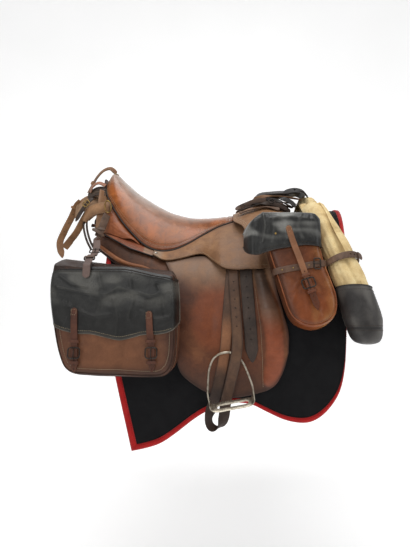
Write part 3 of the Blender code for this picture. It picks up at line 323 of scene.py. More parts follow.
def leather(
    name, dark, base, light, rough=(0.38, 0.62), grain=0.5, wrinkle=0.5, craze=0.0, scuff=0.25, coat=0.0, dust=None, specular=0.33
):
    """Old leather: mottled colour, a pebbled grain, soft wrinkles, cracks and scuffs."""
    n = Net(name)
    big = n.noise(7.0, 4, 0.6, 0.6)
    mid = n.noise(34.0, 5, 0.62, 0.5)
    fine = n.noise(240.0, 3, 0.6)
    tone = n.math("ADD", n.math("MULTIPLY", big, 0.6), n.math("MULTIPLY", mid, 0.4))
    colour = n.ramp(tone, [(0.30, dark), (0.50, base), (0.70, light)])
    # patches painted on the mesh keep the same mottling
    paint = n.node("Attribute", attribute_name="paint")
    colour = n.mix(paint.outputs["Alpha"], colour, paint.outputs["Color"])
    shade = n.range(mid, 0.3, 0.7, 0.86, 1.13)
    shade = n.math("MULTIPLY", shade, n.range(fine, 0.25, 0.75, 0.90, 1.08))
    grey = n.node("CombineColor", {"Red": shade, "Green": shade, "Blue": shade}).outputs["Color"]
    colour = n.mix(1.0, colour, grey, "MULTIPLY")
    # scuffs: fine pale scratches
    scratch = n.noise(60.0, 6, 0.75, 1.5, n.stretch(1.0, 1.0, 0.25, (0.3, 0.5, 0.2)))
    scratch = n.range(scratch, 0.60, 0.72, 0.0, scuff)
    pale = tuple(min(1.0, c * 1.5 + 0.10) for c in light)
    colour = n.mix(scratch, colour, pale)
    # edges hold dirt or are rubbed bare
    edge = n.attribute("edge")
    colour = n.mix(n.math("MULTIPLY", edge, 0.75), colour, tuple(c * 0.28 for c in dark))
    if craze:
        lines = n.voronoi(260.0, "DISTANCE_TO_EDGE", n.stretch(1, 1, 0.55))
        lines = n.math("MULTIPLY", n.range(lines, 0.0, 0.07, craze * 0.45, 0.0), n.range(big, 0.42, 0.60, 0.0, 1.0))
        colour = n.mix(lines, colour, tuple(c * 0.35 for c in dark))
    if dust:
        colour = n.mix(n.range(n.noise(16.0, 5, 0.7, 0.8), 0.52, 0.72, 0.0, 0.35), colour, dust)
    n.put(n.bsdf.inputs["Base Color"], colour)
    gloss = n.attribute("gloss")
    r = n.range(mid, 0.3, 0.7, rough[0], rough[1])
    r = n.math("SUBTRACT", r, n.math("MULTIPLY", gloss, 0.22), True)
    r = n.math("ADD", r, n.math("MULTIPLY", scratch, 0.3), True)
    n.put(n.bsdf.inputs["Roughness"], r)
    n.bsdf.inputs["Specular IOR Level"].default_value = specular
    if coat:
        n.bsdf.inputs["Coat Weight"].default_value = coat
        n.bsdf.inputs["Coat Roughness"].default_value = 0.35
    pebbles = n.voronoi(620.0, "SMOOTH_F1")
    norm = n.bump(pebbles, 0.0004, 0.5 * grain)
    soft = n.noise(48.0, 5, 0.6, 1.2)
    norm = n.bump(soft, 0.0022, wrinkle, norm)
    if craze:
        norm = n.bump(n.math("SUBTRACT", 1.0, lines), 0.0006, 0.5, norm)
    n.put(n.bsdf.inputs["Normal"], norm)
    return n.mat


def metal(name, base, dark, rough=(0.28, 0.5), rust=None, rust_amount=0.35, metallic=1.0):
    n = Net(name)
    mid = n.noise(90.0, 5, 0.65, 0.6)
    colour = n.ramp(mid, [(0.34, dark), (0.55, base)])
    pits = n.noise(420.0, 4, 0.6)
    if rust:
        spots = n.range(n.noise(130.0, 6, 0.7, 0.8), 0.50, 0.66, 0.0, rust_amount)
        colour = n.mix(spots, colour, rust)
        n.put(n.bsdf.inputs["Metallic"], n.math("SUBTRACT", metallic, n.math("MULTIPLY", spots, 0.7), True))
        n.put(n.bsdf.inputs["Roughness"], n.math("ADD", n.range(mid, 0.3, 0.7, *rough), n.math("MULTIPLY", spots, 0.4), True))
    else:
        n.bsdf.inputs["Metallic"].default_value = metallic
        n.put(n.bsdf.inputs["Roughness"], n.range(mid, 0.3, 0.7, *rough))
    n.put(n.bsdf.inputs["Base Color"], colour)
    n.put(n.bsdf.inputs["Normal"], n.bump(pits, 0.0003, 0.35))
    return n.mat


def weave(name, base, dark, light, pitch, rough=0.9, sheen=0.0, fuzz=0.5, bump=0.0004, use_surf=True, stain=None, mark=0.45):
    """Woven cloth: two crossed sets of threads, from the surface's own coordinates."""
    n = Net(name)
    co = n.attribute("surf", "Vector") if use_surf else n.co
    k = 1.0 / pitch
    warp = n.node("TexWave", {"Vector": co, "Scale": k * 0.314, "Distortion": 0.6, "Detail": 1.0}, bands_direction="X").outputs["Fac"]
    weft = n.node("TexWave", {"Vector": co, "Scale": k * 0.314, "Distortion": 0.6, "Detail": 1.0}, bands_direction="Y").outputs["Fac"]
    threads = n.math("MAXIMUM", warp, weft)
    fuzzy = n.noise(900.0, 4, 0.7)
    tone = n.math("ADD", n.math("MULTIPLY", threads, mark), n.math("MULTIPLY", n.noise(24.0, 5, 0.65, 0.4), 1.0 - mark))
    colour = n.ramp(tone, [(0.28, dark), (0.52, base), (0.76, light)])
    paint = n.node("Attribute", attribute_name="paint")
    colour = n.mix(paint.outputs["Alpha"], colour, paint.outputs["Color"])
    if stain:
        colour = n.mix(n.range(n.noise(12.0, 6, 0.7, 0.9), 0.50, 0.70, 0.0, 0.45), colour, stain)
    speck = n.range(fuzzy, 0.3, 0.7, 0.86, 1.10)
    colour = n.mix(1.0, colour, n.node("CombineColor", {"Red": speck, "Green": speck, "Blue": speck}).outputs["Color"], "MULTIPLY")
    n.put(n.bsdf.inputs["Base Color"], colour)
    n.bsdf.inputs["Roughness"].default_value = rough
    n.bsdf.inputs["Specular IOR Level"].default_value = 0.15
    if sheen:
        n.bsdf.inputs["Sheen Weight"].default_value = sheen
        n.bsdf.inputs["Sheen Roughness"].default_value = 0.45
    norm = n.bump(threads, bump, 0.7)
    norm = n.bump(fuzzy, 0.0006, fuzz, norm)
    norm = n.bump(n.noise(30.0, 4, 0.6, 0.5), 0.002, 0.35, norm)
    n.put(n.bsdf.inputs["Normal"], norm)
    return n.mat


def wood(name, base, dark):
    n = Net(name)
    co = n.stretch(2.0, 14.0, 14.0)
    rings = n.noise(9.0, 6, 0.6, 1.4, co)
    pores = n.noise(60.0, 3, 0.6, 0.2, co)
    colour = n.ramp(n.math("ADD", n.math("MULTIPLY", rings, 0.7), n.math("MULTIPLY", pores, 0.3)), [(0.35, dark), (0.62, base)])
    n.put(n.bsdf.inputs["Base Color"], colour)
    n.put(n.bsdf.inputs["Roughness"], n.range(rings, 0.3, 0.7, 0.5, 0.7))
    n.put(n.bsdf.inputs["Normal"], n.bump(pores, 0.0005, 0.4))
    return n.mat


M = {
    "seat": leather("seat_leather", srgb(112, 58, 18), srgb(146, 80, 28), srgb(168, 100, 42), (0.24, 0.38), 0.22, 0.16, 0.0, 0.0, 0.14),
    "skirt": leather("skirt_leather", srgb(114, 79, 53), srgb(143, 102, 69), srgb(163, 123, 86), (0.46, 0.64), 0.45, 0.30, 0.0, 0.20),
    "flap": leather("flap_leather", srgb(72, 37, 21), srgb(101, 57, 33), srgb(122, 76, 47), (0.40, 0.58), 0.40, 0.28, 0.0, 0.18),
    "panel": leather("panel_leather", srgb(56, 35, 25), srgb(87, 55, 38), srgb(118, 77, 53), (0.45, 0.65), 0.5, 0.5, 0.0, 0.15),
    "cover": leather("cover_leather", srgb(103, 55, 32), srgb(143, 81, 48), srgb(170, 108, 66), (0.40, 0.58), 0.4, 0.35, 0.0, 0.12),
    "roll": leather("edge_roll_leather", srgb(108, 63, 37), srgb(139, 86, 51), srgb(155, 104, 66), (0.42, 0.58), 0.4, 0.2, 0.0, 0.1),
    "strap": leather("strap_leather", srgb(53, 42, 36), srgb(77, 63, 52), srgb(99, 83, 70), (0.50, 0.68), 0.6, 0.35, 0.35, 0.20),
    "girth": leather("girth_leather", srgb(41, 33, 29), srgb(62, 50, 43), srgb(79, 65, 57), (0.50, 0.68), 0.6, 0.35, 0.45, 0.18),
    "stirrup": leather("stirrup_strap_leather", srgb(64, 44, 32), srgb(88, 62, 45), srgb(105, 77, 56), (0.48, 0.66), 0.6, 0.35, 0.3, 0.2),
    "lash": leather("lash_leather", srgb(64, 50, 42), srgb(98, 76, 62), srgb(134, 106, 86), (0.48, 0.68), 0.6, 0.5, 0.4, 0.3),
    "bag": leather("bag_leather", srgb(74, 45, 30), srgb(99, 62, 43), srgb(115, 77, 53), (0.42, 0.60), 0.45, 0.30, 0.0, 0.16),
    "bag_edge": leather("bag_edge_leather", srgb(38, 23, 17), srgb(57, 35, 25), srgb(71, 46, 33), (0.45, 0.62), 0.4, 0.3, 0.0, 0.12),
    "wallet": leather("wallet_leather", srgb(79, 40, 19), srgb(107, 56, 27), srgb(127, 72, 37), (0.32, 0.50), 0.4, 0.35, 0.0, 0.2, 0.08),
    "black": leather("black_leather", srgb(24, 24, 23), srgb(34, 34, 33), srgb(48, 48, 45), (0.34, 0.54), 0.5, 0.6, 0.25, 0.22, 0.1),
    "cap": leather("cap_leather", srgb(36, 34, 33), srgb(49, 46, 45), srgb(63, 61, 59), (0.42, 0.62), 0.7, 0.5, 0.3, 0.12),
    "piping": leather("dark_piping", srgb(28, 22, 20), srgb(42, 34, 30), srgb(60, 50, 44), (0.40, 0.60), 0.3, 0.2, 0.0, 0.1),
    "pale_piping": leather("pale_piping", srgb(70, 64, 58), srgb(104, 96, 86), srgb(136, 126, 112), (0.45, 0.65), 0.3, 0.2, 0.0, 0.1),
    "tan": leather("tan_leather", srgb(109, 75, 51), srgb(135, 98, 67), srgb(156, 118, 84), (0.48, 0.66), 0.5, 0.35, 0.0, 0.16),
    "suede": leather("suede_leather", srgb(113, 85, 64), srgb(140, 109, 83), srgb(159, 129, 101), (0.70, 0.88), 0.7, 0.4, 0.0, 0.25, specular=0.2),
    "bag_strap": leather("bag_strap_leather", srgb(63, 35, 26), srgb(86, 50, 35), srgb(107, 66, 48), (0.42, 0.60), 0.5, 0.35, 0.2, 0.15),
    "wallet_strap": leather("wallet_strap_leather", srgb(74, 38, 23), srgb(99, 54, 33), srgb(121, 74, 47), (0.38, 0.56), 0.5, 0.3, 0.2, 0.15),
    "cloth": weave("wool_cloth", (0.0075, 0.0075, 0.0085), (0.004, 0.004, 0.005), (0.013, 0.013, 0.014), 0.0012, 0.95, 0.05, 0.9),
    "binding": weave("red_tape", srgb(168, 26, 28), srgb(128, 14, 18), srgb(196, 42, 40), 0.0010, 0.88, 0.25, 0.7),
    "canvas": weave("roll_canvas", srgb(233, 205, 150), srgb(185, 156, 107), srgb(255, 240, 190), 0.0011, 0.90, 0.05, 0.4, 0.00022, stain=srgb(205, 172, 114), mark=0.14),
    "webbing": weave("seat_webbing_cloth", srgb(170, 150, 118), srgb(120, 104, 80), srgb(196, 178, 146), 0.0026, 0.9, 0.0, 0.6, use_surf=False),
    "thread": weave("linen_thread", srgb(176, 156, 124), srgb(120, 100, 76), srgb(204, 188, 160), 0.0006, 0.8, 0.0, 0.3, use_surf=False),
    "dark_thread": weave("dark_thread_cord", srgb(58, 44, 36), srgb(36, 28, 24), srgb(84, 68, 56), 0.0006, 0.8, 0.0, 0.3, use_surf=False),
    "red_thread": weave("red_thread_cord", srgb(150, 24, 26), srgb(110, 14, 16), srgb(180, 40, 40), 0.0006, 0.8, 0.0, 0.3, use_surf=False),
    "steel": metal("worn_steel", srgb(196, 188, 172), srgb(142, 132, 116), (0.30, 0.52), srgb(96, 70, 48), 0.40),
    "iron": metal("dark_iron", srgb(74, 68, 64), srgb(42, 38, 36), (0.40, 0.62), srgb(82, 52, 36), 0.35),
    "tree_steel": metal("tree_steel", srgb(120, 116, 112), srgb(72, 70, 68), (0.35, 0.55), srgb(86, 60, 44), 0.4),
    "brass": metal("aged_brass", srgb(170, 140, 84), srgb(104, 82, 48), (0.32, 0.55)),
    "stud": metal("nickel_stud", srgb(214, 210, 202), srgb(160, 154, 146), (0.22, 0.40)),
    "wood": wood("beech", srgb(176, 128, 82), srgb(120, 82, 50)),
}


# ================================================================ making pieces


def finish_mesh(name, verts, faces, mat, attrs=None, smooth_angle=50.0, uvs=None):
    """An object from plain lists, its faces turned outward; attrs hold one value per vertex."""
    mesh = bpy.data.meshes.new(name)
    mesh.from_pydata([tuple(map(float, v)) for v in verts], [], faces)
    attrs = attrs or {}
    if "paint" in attrs:
        a = mesh.attributes.new("paint", "FLOAT_COLOR", "POINT")
        a.data.foreach_set("color", np.array(attrs["paint"], np.float32).reshape(-1))
    for key in ("edge", "gloss"):
        if key in attrs:
            a = mesh.attributes.new(key, "FLOAT", "POINT")
            a.data.foreach_set("value", np.array(attrs[key], np.float32))
    if "surf" in attrs:
        a = mesh.attributes.new("surf", "FLOAT_VECTOR", "POINT")
        a.data.foreach_set("vector", np.array(attrs["surf"], np.float32).reshape(-1))
    bm = bmesh.new()
    bm.from_mesh(mesh)
    bmesh.ops.recalc_face_normals(bm, faces=bm.faces[:])
    if bm.calc_volume(signed=True) < 0:
        bmesh.ops.reverse_faces(bm, faces=bm.faces[:])
    bm.to_mesh(mesh)
    bm.free()
    mesh.shade_smooth()
    if smooth_angle < 180:
        mesh.set_sharp_from_angle(angle=math.radians(smooth_angle))
    mesh.materials.append(mat)
    made = bpy.data.objects.new(name, mesh)
    scene.collection.objects.link(made)
    return made


def place(made, body, slot, *nodes):
    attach(made, body)
    if nodes:
        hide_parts(*nodes)
    return made


def bent_sheet(name, point, nu, nv, thick, mat, outward, look=None, smooth_angle=60.0, size=(1.0, 1.0), us=None, vs=None, round_by=0.5):
    """A sheet of leather or cloth with rounded edges. point(u, v) is its outer face for u, v from
    0 to 1, outward(p) a rough outward direction; look(p, u, v) may return paint, edge and gloss."""
    us = np.linspace(0, 1, nu + 1) if us is None else np.array(us)
    vs = np.linspace(0, 1, nv + 1) if vs is None else np.array(vs)
    nu, nv = len(us) - 1, len(vs) - 1
    P = np.array([[point(u, v) for v in vs] for u in us], float)
    du = np.gradient(P, axis=0)
    dv = np.gradient(P, axis=1)
    N = np.cross(du, dv)
    N /= np.maximum(1e-12, np.linalg.norm(N, axis=2, keepdims=True))
    mid = P[nu // 2, nv // 2]
    if np.dot(N[nu // 2, nv // 2], outward(mid)) < 0:
        N = -N
    r = thick * round_by
    outer, inner = P.copy(), P - N * thick
    border = (
        [(i, 0) for i in range(nu + 1)]
        + [(nu, j) for j in range(1, nv + 1)]
        + [(i, nv) for i in range(nu - 1, -1, -1)]
        + [(0, j) for j in range(nv - 1, 0, -1)]
    )
    rim = []
    for i, j in border:
        t = np.zeros(3)
        if i in (0, nu):
            e = P[i, j] - P[1 if i == 0 else nu - 1, j]
            t += e / max(1e-9, np.linalg.norm(e))
        if j in (0, nv):
            e = P[i, j] - P[i, 1 if j == 0 else nv - 1]
            t += e / max(1e-9, np.linalg.norm(e))
        t -= N[i, j] * np.dot(t, N[i, j])
        t /= max(1e-9, np.linalg.norm(t))
        rim.append((i, j, t))
    for i, j, t in rim:
        outer[i, j] -= t * r
        inner[i, j] -= t * r
    verts, paint, edge, gloss, surf = [], [], [], [], []

    def keep(p, i, j, is_edge):
        verts.append(p)
        got = look(P[i, j], us[i], vs[j]) if look else {}
        paint.append(got.get("paint", (0, 0, 0, 0)))
        edge.append(max(got.get("edge", 0.0), is_edge))
        gloss.append(got.get("gloss", 0.0))
        surf.append((us[i] * size[0], vs[j] * size[1], 0.0))
        return len(verts) - 1

    a = [[keep(outer[i, j], i, j, 0.0) for j in range(nv + 1)] for i in range(nu + 1)]
    b = [[keep(inner[i, j], i, j, 0.3) for j in range(nv + 1)] for i in range(nu + 1)]
    faces = []
    for i in range(nu):
        for j in range(nv):
            faces.append((a[i][j], a[i + 1][j], a[i + 1][j + 1], a[i][j + 1]))
            faces.append((b[i][j], b[i][j + 1], b[i + 1][j + 1], b[i + 1][j]))
    rings = [[a[i][j] for i, j, _ in rim]]
    for ang in (45, 90, 135):
        c, s = math.cos(math.radians(ang)), math.sin(math.radians(ang))
        rings.append([keep(P[i, j] - N[i, j] * (thick / 2 * (1 - c)) - t * r * (1 - s), i, j, 0.5) for i, j, t in rim])
    rings.append([b[i][j] for i, j, _ in rim])
    n = len(rim)
    for k in range(len(rings) - 1):
        p, q = rings[k], rings[k + 1]
        for m in range(n):
            faces.append((p[m], p[(m + 1) % n], q[(m + 1) % n], q[m]))
    made = finish_mesh(name, verts, faces, mat, {"paint": paint, "edge": edge, "gloss": gloss, "surf": surf}, smooth_angle)
    return made


def tangent_frames(path, normals, closed=False):
    n = len(path)
    out = []
    for i in range(n):
        t = path[(i + 1) % n] - path[i - 1] if closed else path[min(i + 1, n - 1)] - path[max(i - 1, 0)]
        t = unit(t)
        u = np.array(normals[i], float)
        u = unit(u - t * np.dot(u, t))
        out.append((path[i], t, u, np.cross(t, u)))
    return out


def dense(path, normals, step=0.003, closed=False):
    """Path and normals evenly spaced at about step."""
    path = np.array(path, float)
    normals = np.array([unit(n) for n in normals])
    both = np.hstack([path, normals])
    p = np.vstack([both, both[:1]]) if closed else both
    run = np.concatenate([[0], np.cumsum(np.linalg.norm(np.diff(p[:, :3], axis=0), axis=1))])
    n = max(3, int(run[-1] / step))
    at = np.linspace(0, run[-1], n + 1)[:-1] if closed else np.linspace(0, run[-1], n + 1)
    got = np.stack([np.interp(at, run, p[:, k]) for k in range(6)], axis=1)
    return got[:, :3], np.array([unit(v) for v in got[:, 3:]])


def lofted(name, rings, mat, closed=False, looks=None, smooth_angle=60.0, surf=None):
    verts, faces = [], []
    m = len(rings[0])
    for ring in rings:
        verts += list(ring)
    n = len(rings)
    for i in range(n if closed else n - 1):
        a, b = i * m, ((i + 1) % n) * m
        for j in range(m):
            faces.append((a + j, a + (j + 1) % m, b + (j + 1) % m, b + j))
    if not closed:
        faces.append(tuple(range(m)))
        faces.append(tuple(reversed(range((n - 1) * m, n * m))))
    attrs = {"paint": [(0, 0, 0, 0)] * len(verts), "edge": [0.0] * len(verts), "gloss": [0.0] * len(verts)}
    if looks:
        for k, got in enumerate(looks):
            if "paint" in got:
                attrs["paint"][k] = got["paint"]
            attrs["edge"][k] = got.get("edge", 0.0)
            attrs["gloss"][k] = got.get("gloss", 0.0)
    attrs["surf"] = surf or [(0.0, 0.0, 0.0)] * len(verts)
    return finish_mesh(name, verts, faces, mat, attrs, smooth_angle)


def strap(name, path, normals, width, thick, mat, tip=None, tail=None, crown=0.0006, closed=False, step=0.003, look=None, wobble=0.0):
    """A flat leather strap with rounded edges. tip and tail shape its last and first ends:
    "round", "point" or None; look(s, w) gives paint and gloss along and across it."""
    P, NN = dense(path, normals, step, closed)
    run = np.concatenate([[0], np.cumsum(np.linalg.norm(np.diff(P, axis=0), axis=1))])
    total = run[-1]
    half = [
        (1.0, 0.0),
        (0.985, 0.30),
        (0.93, 0.46),
        (0.80, 0.50),
        (0.55, 0.50),
        (0.25, 0.50),
        (0.0, 0.50),
    ]
    section = half + [(-a, b) for a, b in half[:-1][::-1]]
    section = section + [(a, -b) for a, b in section[1:-1][::-1]]
    rings, looks, surf = [], [], []
    for k, (p, t, u, w) in enumerate(tangent_frames(P, NN, closed)):
        s = run[k]
        f = 1.0
        for kind, d in ((tip, total - s), (tail, s)):
            if kind == "round":
                r = width * 0.5
                if d < r:
                    f = min(f, math.sqrt(max(0.03, 1 - (1 - d / r) ** 2)))
            elif kind == "point":
                r = width * 1.0
                if d < r:
                    f = min(f, max(0.12, (d / r) ** 0.55))
        sway = wobble * nz(s * 18, 0, 0, 1.0, sum(map(ord, name)) % 17)
        ring = []
        for a, b in section:
            c = crown * (1 - a * a) * (1 if b > 0 else 0)
            ring.append(p + w * (a * width / 2 * f + sway) + u * (b * thick + c))
            got = {"edge": 0.55 if abs(a) > 0.93 else 0.0}
            if look:
                got.update(look(s / total, a))
            looks.append(got)
            surf.append((s, a * width / 2, 0.0))
        rings.append(ring)
    return lofted(name, rings, mat, closed, looks, 60.0, surf)


def tube(name, path, radius, mat, closed=False, sides=10, step=None, normal=(0.13, 0.31, 0.94), looks=None):
    """A round cord or rod. radius may be a list, one value per point."""
    path = np.array(path, float)
    n = len(path)
    radii = list(radius) if hasattr(radius, "__len__") else [radius] * n
    rings = []
    for (p, t, u, w), r in zip(tangent_frames(path, [normal] * n, closed), radii):
        rings.append([p + (w * math.cos(2 * math.pi * k / sides) + u * math.sin(2 * math.pi * k / sides)) * r for k in range(sides)])
    if not closed:
        # round off the ends
        first, last = np.mean(rings[0], axis=0), np.mean(rings[-1], axis=0)
        t0, t1 = unit(path[0] - path[1]), unit(path[-1] - path[-2])
        rings = (
            [[first + (np.array(q) - first) * 0.5 + t0 * radii[0] * 0.8 for q in rings[0]]]
            + rings
            + [[last + (np.array(q) - last) * 0.5 + t1 * radii[-1] * 0.8 for q in rings[-1]]]
        )
    return lofted(name, rings, mat, closed, looks, 75.0)


def rod(name, path, normals, across, deep, mat, closed=True, sides=16, smooth_angle=60.0):
    """A rod of rounded oval section along a path; across and deep may be lists."""
    path = [np.array(p, float) for p in path]
    n = len(path)
    across = across if hasattr(across, "__len__") else [across] * n
    deep = deep if hasattr(deep, "__len__") else [deep] * n
    rings = []
    for (p, t, u, w), a, d in zip(tangent_frames(path, normals, closed), across, deep):
        ring = []
        for k in range(sides):
            ang = 2 * math.pi * (k + 0.5) / sides
            c, s = math.cos(ang), math.sin(ang)
            e = 0.8
            ring.append(p + w * (0.5 * a * math.copysign(abs(c) ** e, c)) + u * (0.5 * d * math.copysign(abs(s) ** e, s)))
        rings.append(ring)
    return lofted(name, rings, mat, closed, None, smooth_angle)


def joined(name, parts):
    """Several meshes of one material kept as one piece."""
    verts, faces = [], []
    attrs = {"paint": [], "edge": [], "gloss": [], "surf": []}
    mats = []
    indices = []
    for o in parts:
        base = len(verts)
        verts += [tuple(v.co) for v in o.data.vertices]
        mat = o.data.materials[0]
        if mat not in mats:
            mats.append(mat)
        for f in o.data.polygons:
            faces.append(tuple(base + i for i in f.vertices))
            indices.append(mats.index(mat))
        n = len(o.data.vertices)
        for key, width, prop in (("paint", 4, "color"), ("edge", 1, "value"), ("gloss", 1, "value"), ("surf", 3, "vector")):
            a = o.data.attributes.get(key)
            if a is None:
                attrs[key] += [(0.0,) * width if width > 1 else 0.0] * n
            else:
                buf = np.zeros(n * width, np.float32)
                a.data.foreach_get(prop, buf)
                attrs[key] += [tuple(r) for r in buf.reshape(n, width)] if width > 1 else list(buf)
    for o in parts:
        bpy.data.objects.remove(o, do_unlink=True)
    mesh = bpy.data.meshes.new(name)
    mesh.from_pydata(verts, [], faces)
    a = mesh.attributes.new("paint", "FLOAT_COLOR", "POINT")
    a.data.foreach_set("color", np.array(attrs["paint"], np.float32).reshape(-1))
    for key in ("edge", "gloss"):
        a = mesh.attributes.new(key, "FLOAT", "POINT")
        a.data.foreach_set("value", np.array(attrs[key], np.float32))
    a = mesh.attributes.new("surf", "FLOAT_VECTOR", "POINT")
    a.data.foreach_set("vector", np.array(attrs["surf"], np.float32).reshape(-1))
    for m in mats:
        mesh.materials.append(m)
    mesh.polygons.foreach_set("material_index", indices)
    mesh.shade_smooth()
    mesh.set_sharp_from_angle(angle=math.radians(60))
    made = bpy.data.objects.new(name, mesh)
    scene.collection.objects.link(made)
    return made


def stitches(name, path, normals, mat, length=0.0030, gap=0.0018, r=0.00045, lift=0.0002):
    """A row of stitches: short rounded threads that dip into the leather at both ends."""
    P, NN = dense(path, normals, length + gap)
    verts, faces = [], []
    for k in range(len(P) - 1):
        p, t = P[k], unit(P[k + 1] - P[k])
        u = unit(NN[k] - t * np.dot(NN[k], t))
        w = np.cross(t, u)
        base = len(verts)
        for s, scale, up in ((-0.5, 0.4, -0.5), (-0.3, 1.0, 0.5), (0.3, 1.0, 0.5), (0.5, 0.4, -0.5)):
            c = p + t * (length * s) + u * (lift + r * up)
            for q in range(6):
                ang = 2 * math.pi * q / 6
                verts.append(c + (w * math.cos(ang) + u * math.sin(ang)) * r * scale)
        for i in range(3):
            for q in range(6):
                a, b = base + i * 6, base + (i + 1) * 6
                faces.append((a + q, a + (q + 1) % 6, b + (q + 1) % 6, b + q))
        faces.append(tuple(range(base, base + 6)))
        faces.append(tuple(reversed(range(base + 18, base + 24))))
    attrs = {"paint": [(0, 0, 0, 0)] * len(verts), "surf": [(0, 0, 0)] * len(verts)}
    return finish_mesh(name, verts, faces, mat, attrs, 180)


def dome(name, at, out, radius, height, mat, rings=4, sides=14):
    """The rounded head of a stud or rivet."""
    o = unit(out)
    a = unit(np.cross(o, (0.21, 0.35, 0.91)))
    b = np.cross(o, a)
    stack = [[at - o * height * 0.6 + (a * math.cos(2 * math.pi * k / sides) + b * math.sin(2 * math.pi * k / sides)) * radius for k in range(sides)]]
    for i in range(rings + 1):
        ang = math.pi / 2 * i / (rings + 0.5)
        r, h = radius * math.cos(ang), height * math.sin(ang)
        stack.append([at + o * h + (a * math.cos(2 * math.pi * k / sides) + b * math.sin(2 * math.pi * k / sides)) * r for k in range(sides)])
    return lofted(name, stack, mat, False, None, 60)


def buckle(name, centre, across, up, out, width, height, rod_d, mat, prong=True, roller=True, round_by=0.24):
    """A forged buckle: frame with rounded corners, centre of it at centre, with its prong."""
    c, a, u, o = (np.array(v, float) for v in (centre, across, up, out))
    corner = round_by * min(width, height)
    path = []
    for k, (sx, sz) in enumerate(((1, 1), (-1, 1), (-1, -1), (1, -1))):
        cx, cz = sx * (width / 2 - corner), sz * (height / 2 - corner)
        start = {0: 0, 1: 90, 2: 180, 3: 270}[k]
        for q in range(5):
            ang = math.radians(start + 90 * q / 4)
            path.append(c + a * (cx + corner * math.cos(ang)) + u * (cz + corner * math.sin(ang)))
    n = len(path)
    # the frame resampled evenly
    path = resample(path, 48, True)
    deep = [rod_d * 0.85] * 48
    parts = [rod(name, path, [o] * 48, rod_d, deep, mat, True, 12)]
    if prong:
        line = [c + u * (height / 2 + 0.001) + o * (rod_d * 0.1), c + u * (height / 2) + o * rod_d * 0.75, c + u * 0.1 * height + o * rod_d * 0.80, c - u * (height / 2 - 0.001) + o * rod_d * 0.8, c - u * (height / 2 + rod_d * 0.9) + o * rod_d * 0.45]
        line = resample(through(line, per=5), 16)
        radii = [rod_d * 0.38] * 12 + [rod_d * 0.36, rod_d * 0.32, rod_d * 0.26, rod_d * 0.18]
        parts.append(tube(name + "_prong", line, radii, mat, False, 8, None, np.array(a) + o * 0.01))
    return joined(name, parts) if len(parts) > 1 else parts[0]


def punch(made, holes):
    """Cuts round holes: (centre, direction, radius, depth)."""
    bm = bmesh.new()
    for at, out, r, depth in holes:
        o = unit(out)
        a = unit(np.cross(o, (0.21, 0.35, 0.91)))
        b = np.cross(o, a)
        n = 14
        low = [bm.verts.new(at - o * depth / 2 + (a * math.cos(2 * math.pi * k / n) + b * math.sin(2 * math.pi * k / n)) * r) for k in range(n)]
        top = [bm.verts.new(at + o * depth / 2 + (a * math.cos(2 * math.pi * k / n) + b * math.sin(2 * math.pi * k / n)) * r) for k in range(n)]
        for k in range(n):
            bm.faces.new((low[k], low[(k + 1) % n], top[(k + 1) % n], top[k]))
        bm.faces.new(list(reversed(low)))
        bm.faces.new(top)
    mesh = bpy.data.meshes.new("punch")
    bm.to_mesh(mesh)
    bm.free()
    cut(made, [bpy.data.objects.new("punch", mesh)])


def cut(made, cutters):
    """Takes the cutters out of a mesh and removes them; the cut faces come out near-black, the dark of cut leather
    edges with painted shade inside the holes and hollows.
    """
    spots = [v.co.copy() for v in made.data.vertices]
    for c in cutters:
        spots += [v.co.copy() for v in c.data.vertices]
        if "paint" not in c.data.attributes:
            # near-black on the cutter's faces: painted shade inside holes and hollows, with the dark of cut leather
            # edges
            n = len(c.data.vertices)
            layer = c.data.attributes.new("paint", "FLOAT_COLOR", "POINT")
            layer.data.foreach_set("color", np.array([(0.012, 0.008, 0.006, 0.85)] * n, np.float32).reshape(-1))
        if c.name not in scene.collection.objects:
            scene.collection.objects.link(c)
        m = made.modifiers.new("cut", "BOOLEAN")
        m.operation = "DIFFERENCE"
        m.object = c
        m.solver = "EXACT"
        if hasattr(m, "material_mode"):
            m.material_mode = "INDEX"
    bpy.context.view_layer.update()
    deps = bpy.context.evaluated_depsgraph_get()
    mesh = bpy.data.meshes.new_from_object(made.evaluated_get(deps))
    made.modifiers.clear()
    old = made.data
    made.data = mesh
    keep = [m for m in old.materials]
    mesh.materials.clear()
    mesh.materials.append(keep[0])
    mesh.polygons.foreach_set("material_index", [0] * len(mesh.polygons))
    bpy.data.meshes.remove(old)
    for c in cutters:
        bpy.data.objects.remove(c, do_unlink=True)
    # points made by the cut itself start out white: give them the near-black of the cut, the dark of cut leather edges
    # with painted shade inside the holes and hollows
    tree = kdtree.KDTree(len(spots))
    for k, p in enumerate(spots):
        tree.insert(p, k)
    tree.balance()
    fresh = [v.index for v in mesh.vertices if tree.find(v.co)[2] > 2e-6]
    for key, value in (("paint", (0.03, 0.022, 0.018, 0.80)), ("edge", 0.2), ("gloss", 0.0)):
        layer = mesh.attributes.get(key)
        if layer is None:
            continue
        for k in fresh:
            if key == "paint":
                layer.data[k].color = value
            else:
                layer.data[k].value = value
    mesh.shade_smooth()
    mesh.set_sharp_from_angle(angle=math.radians(50))


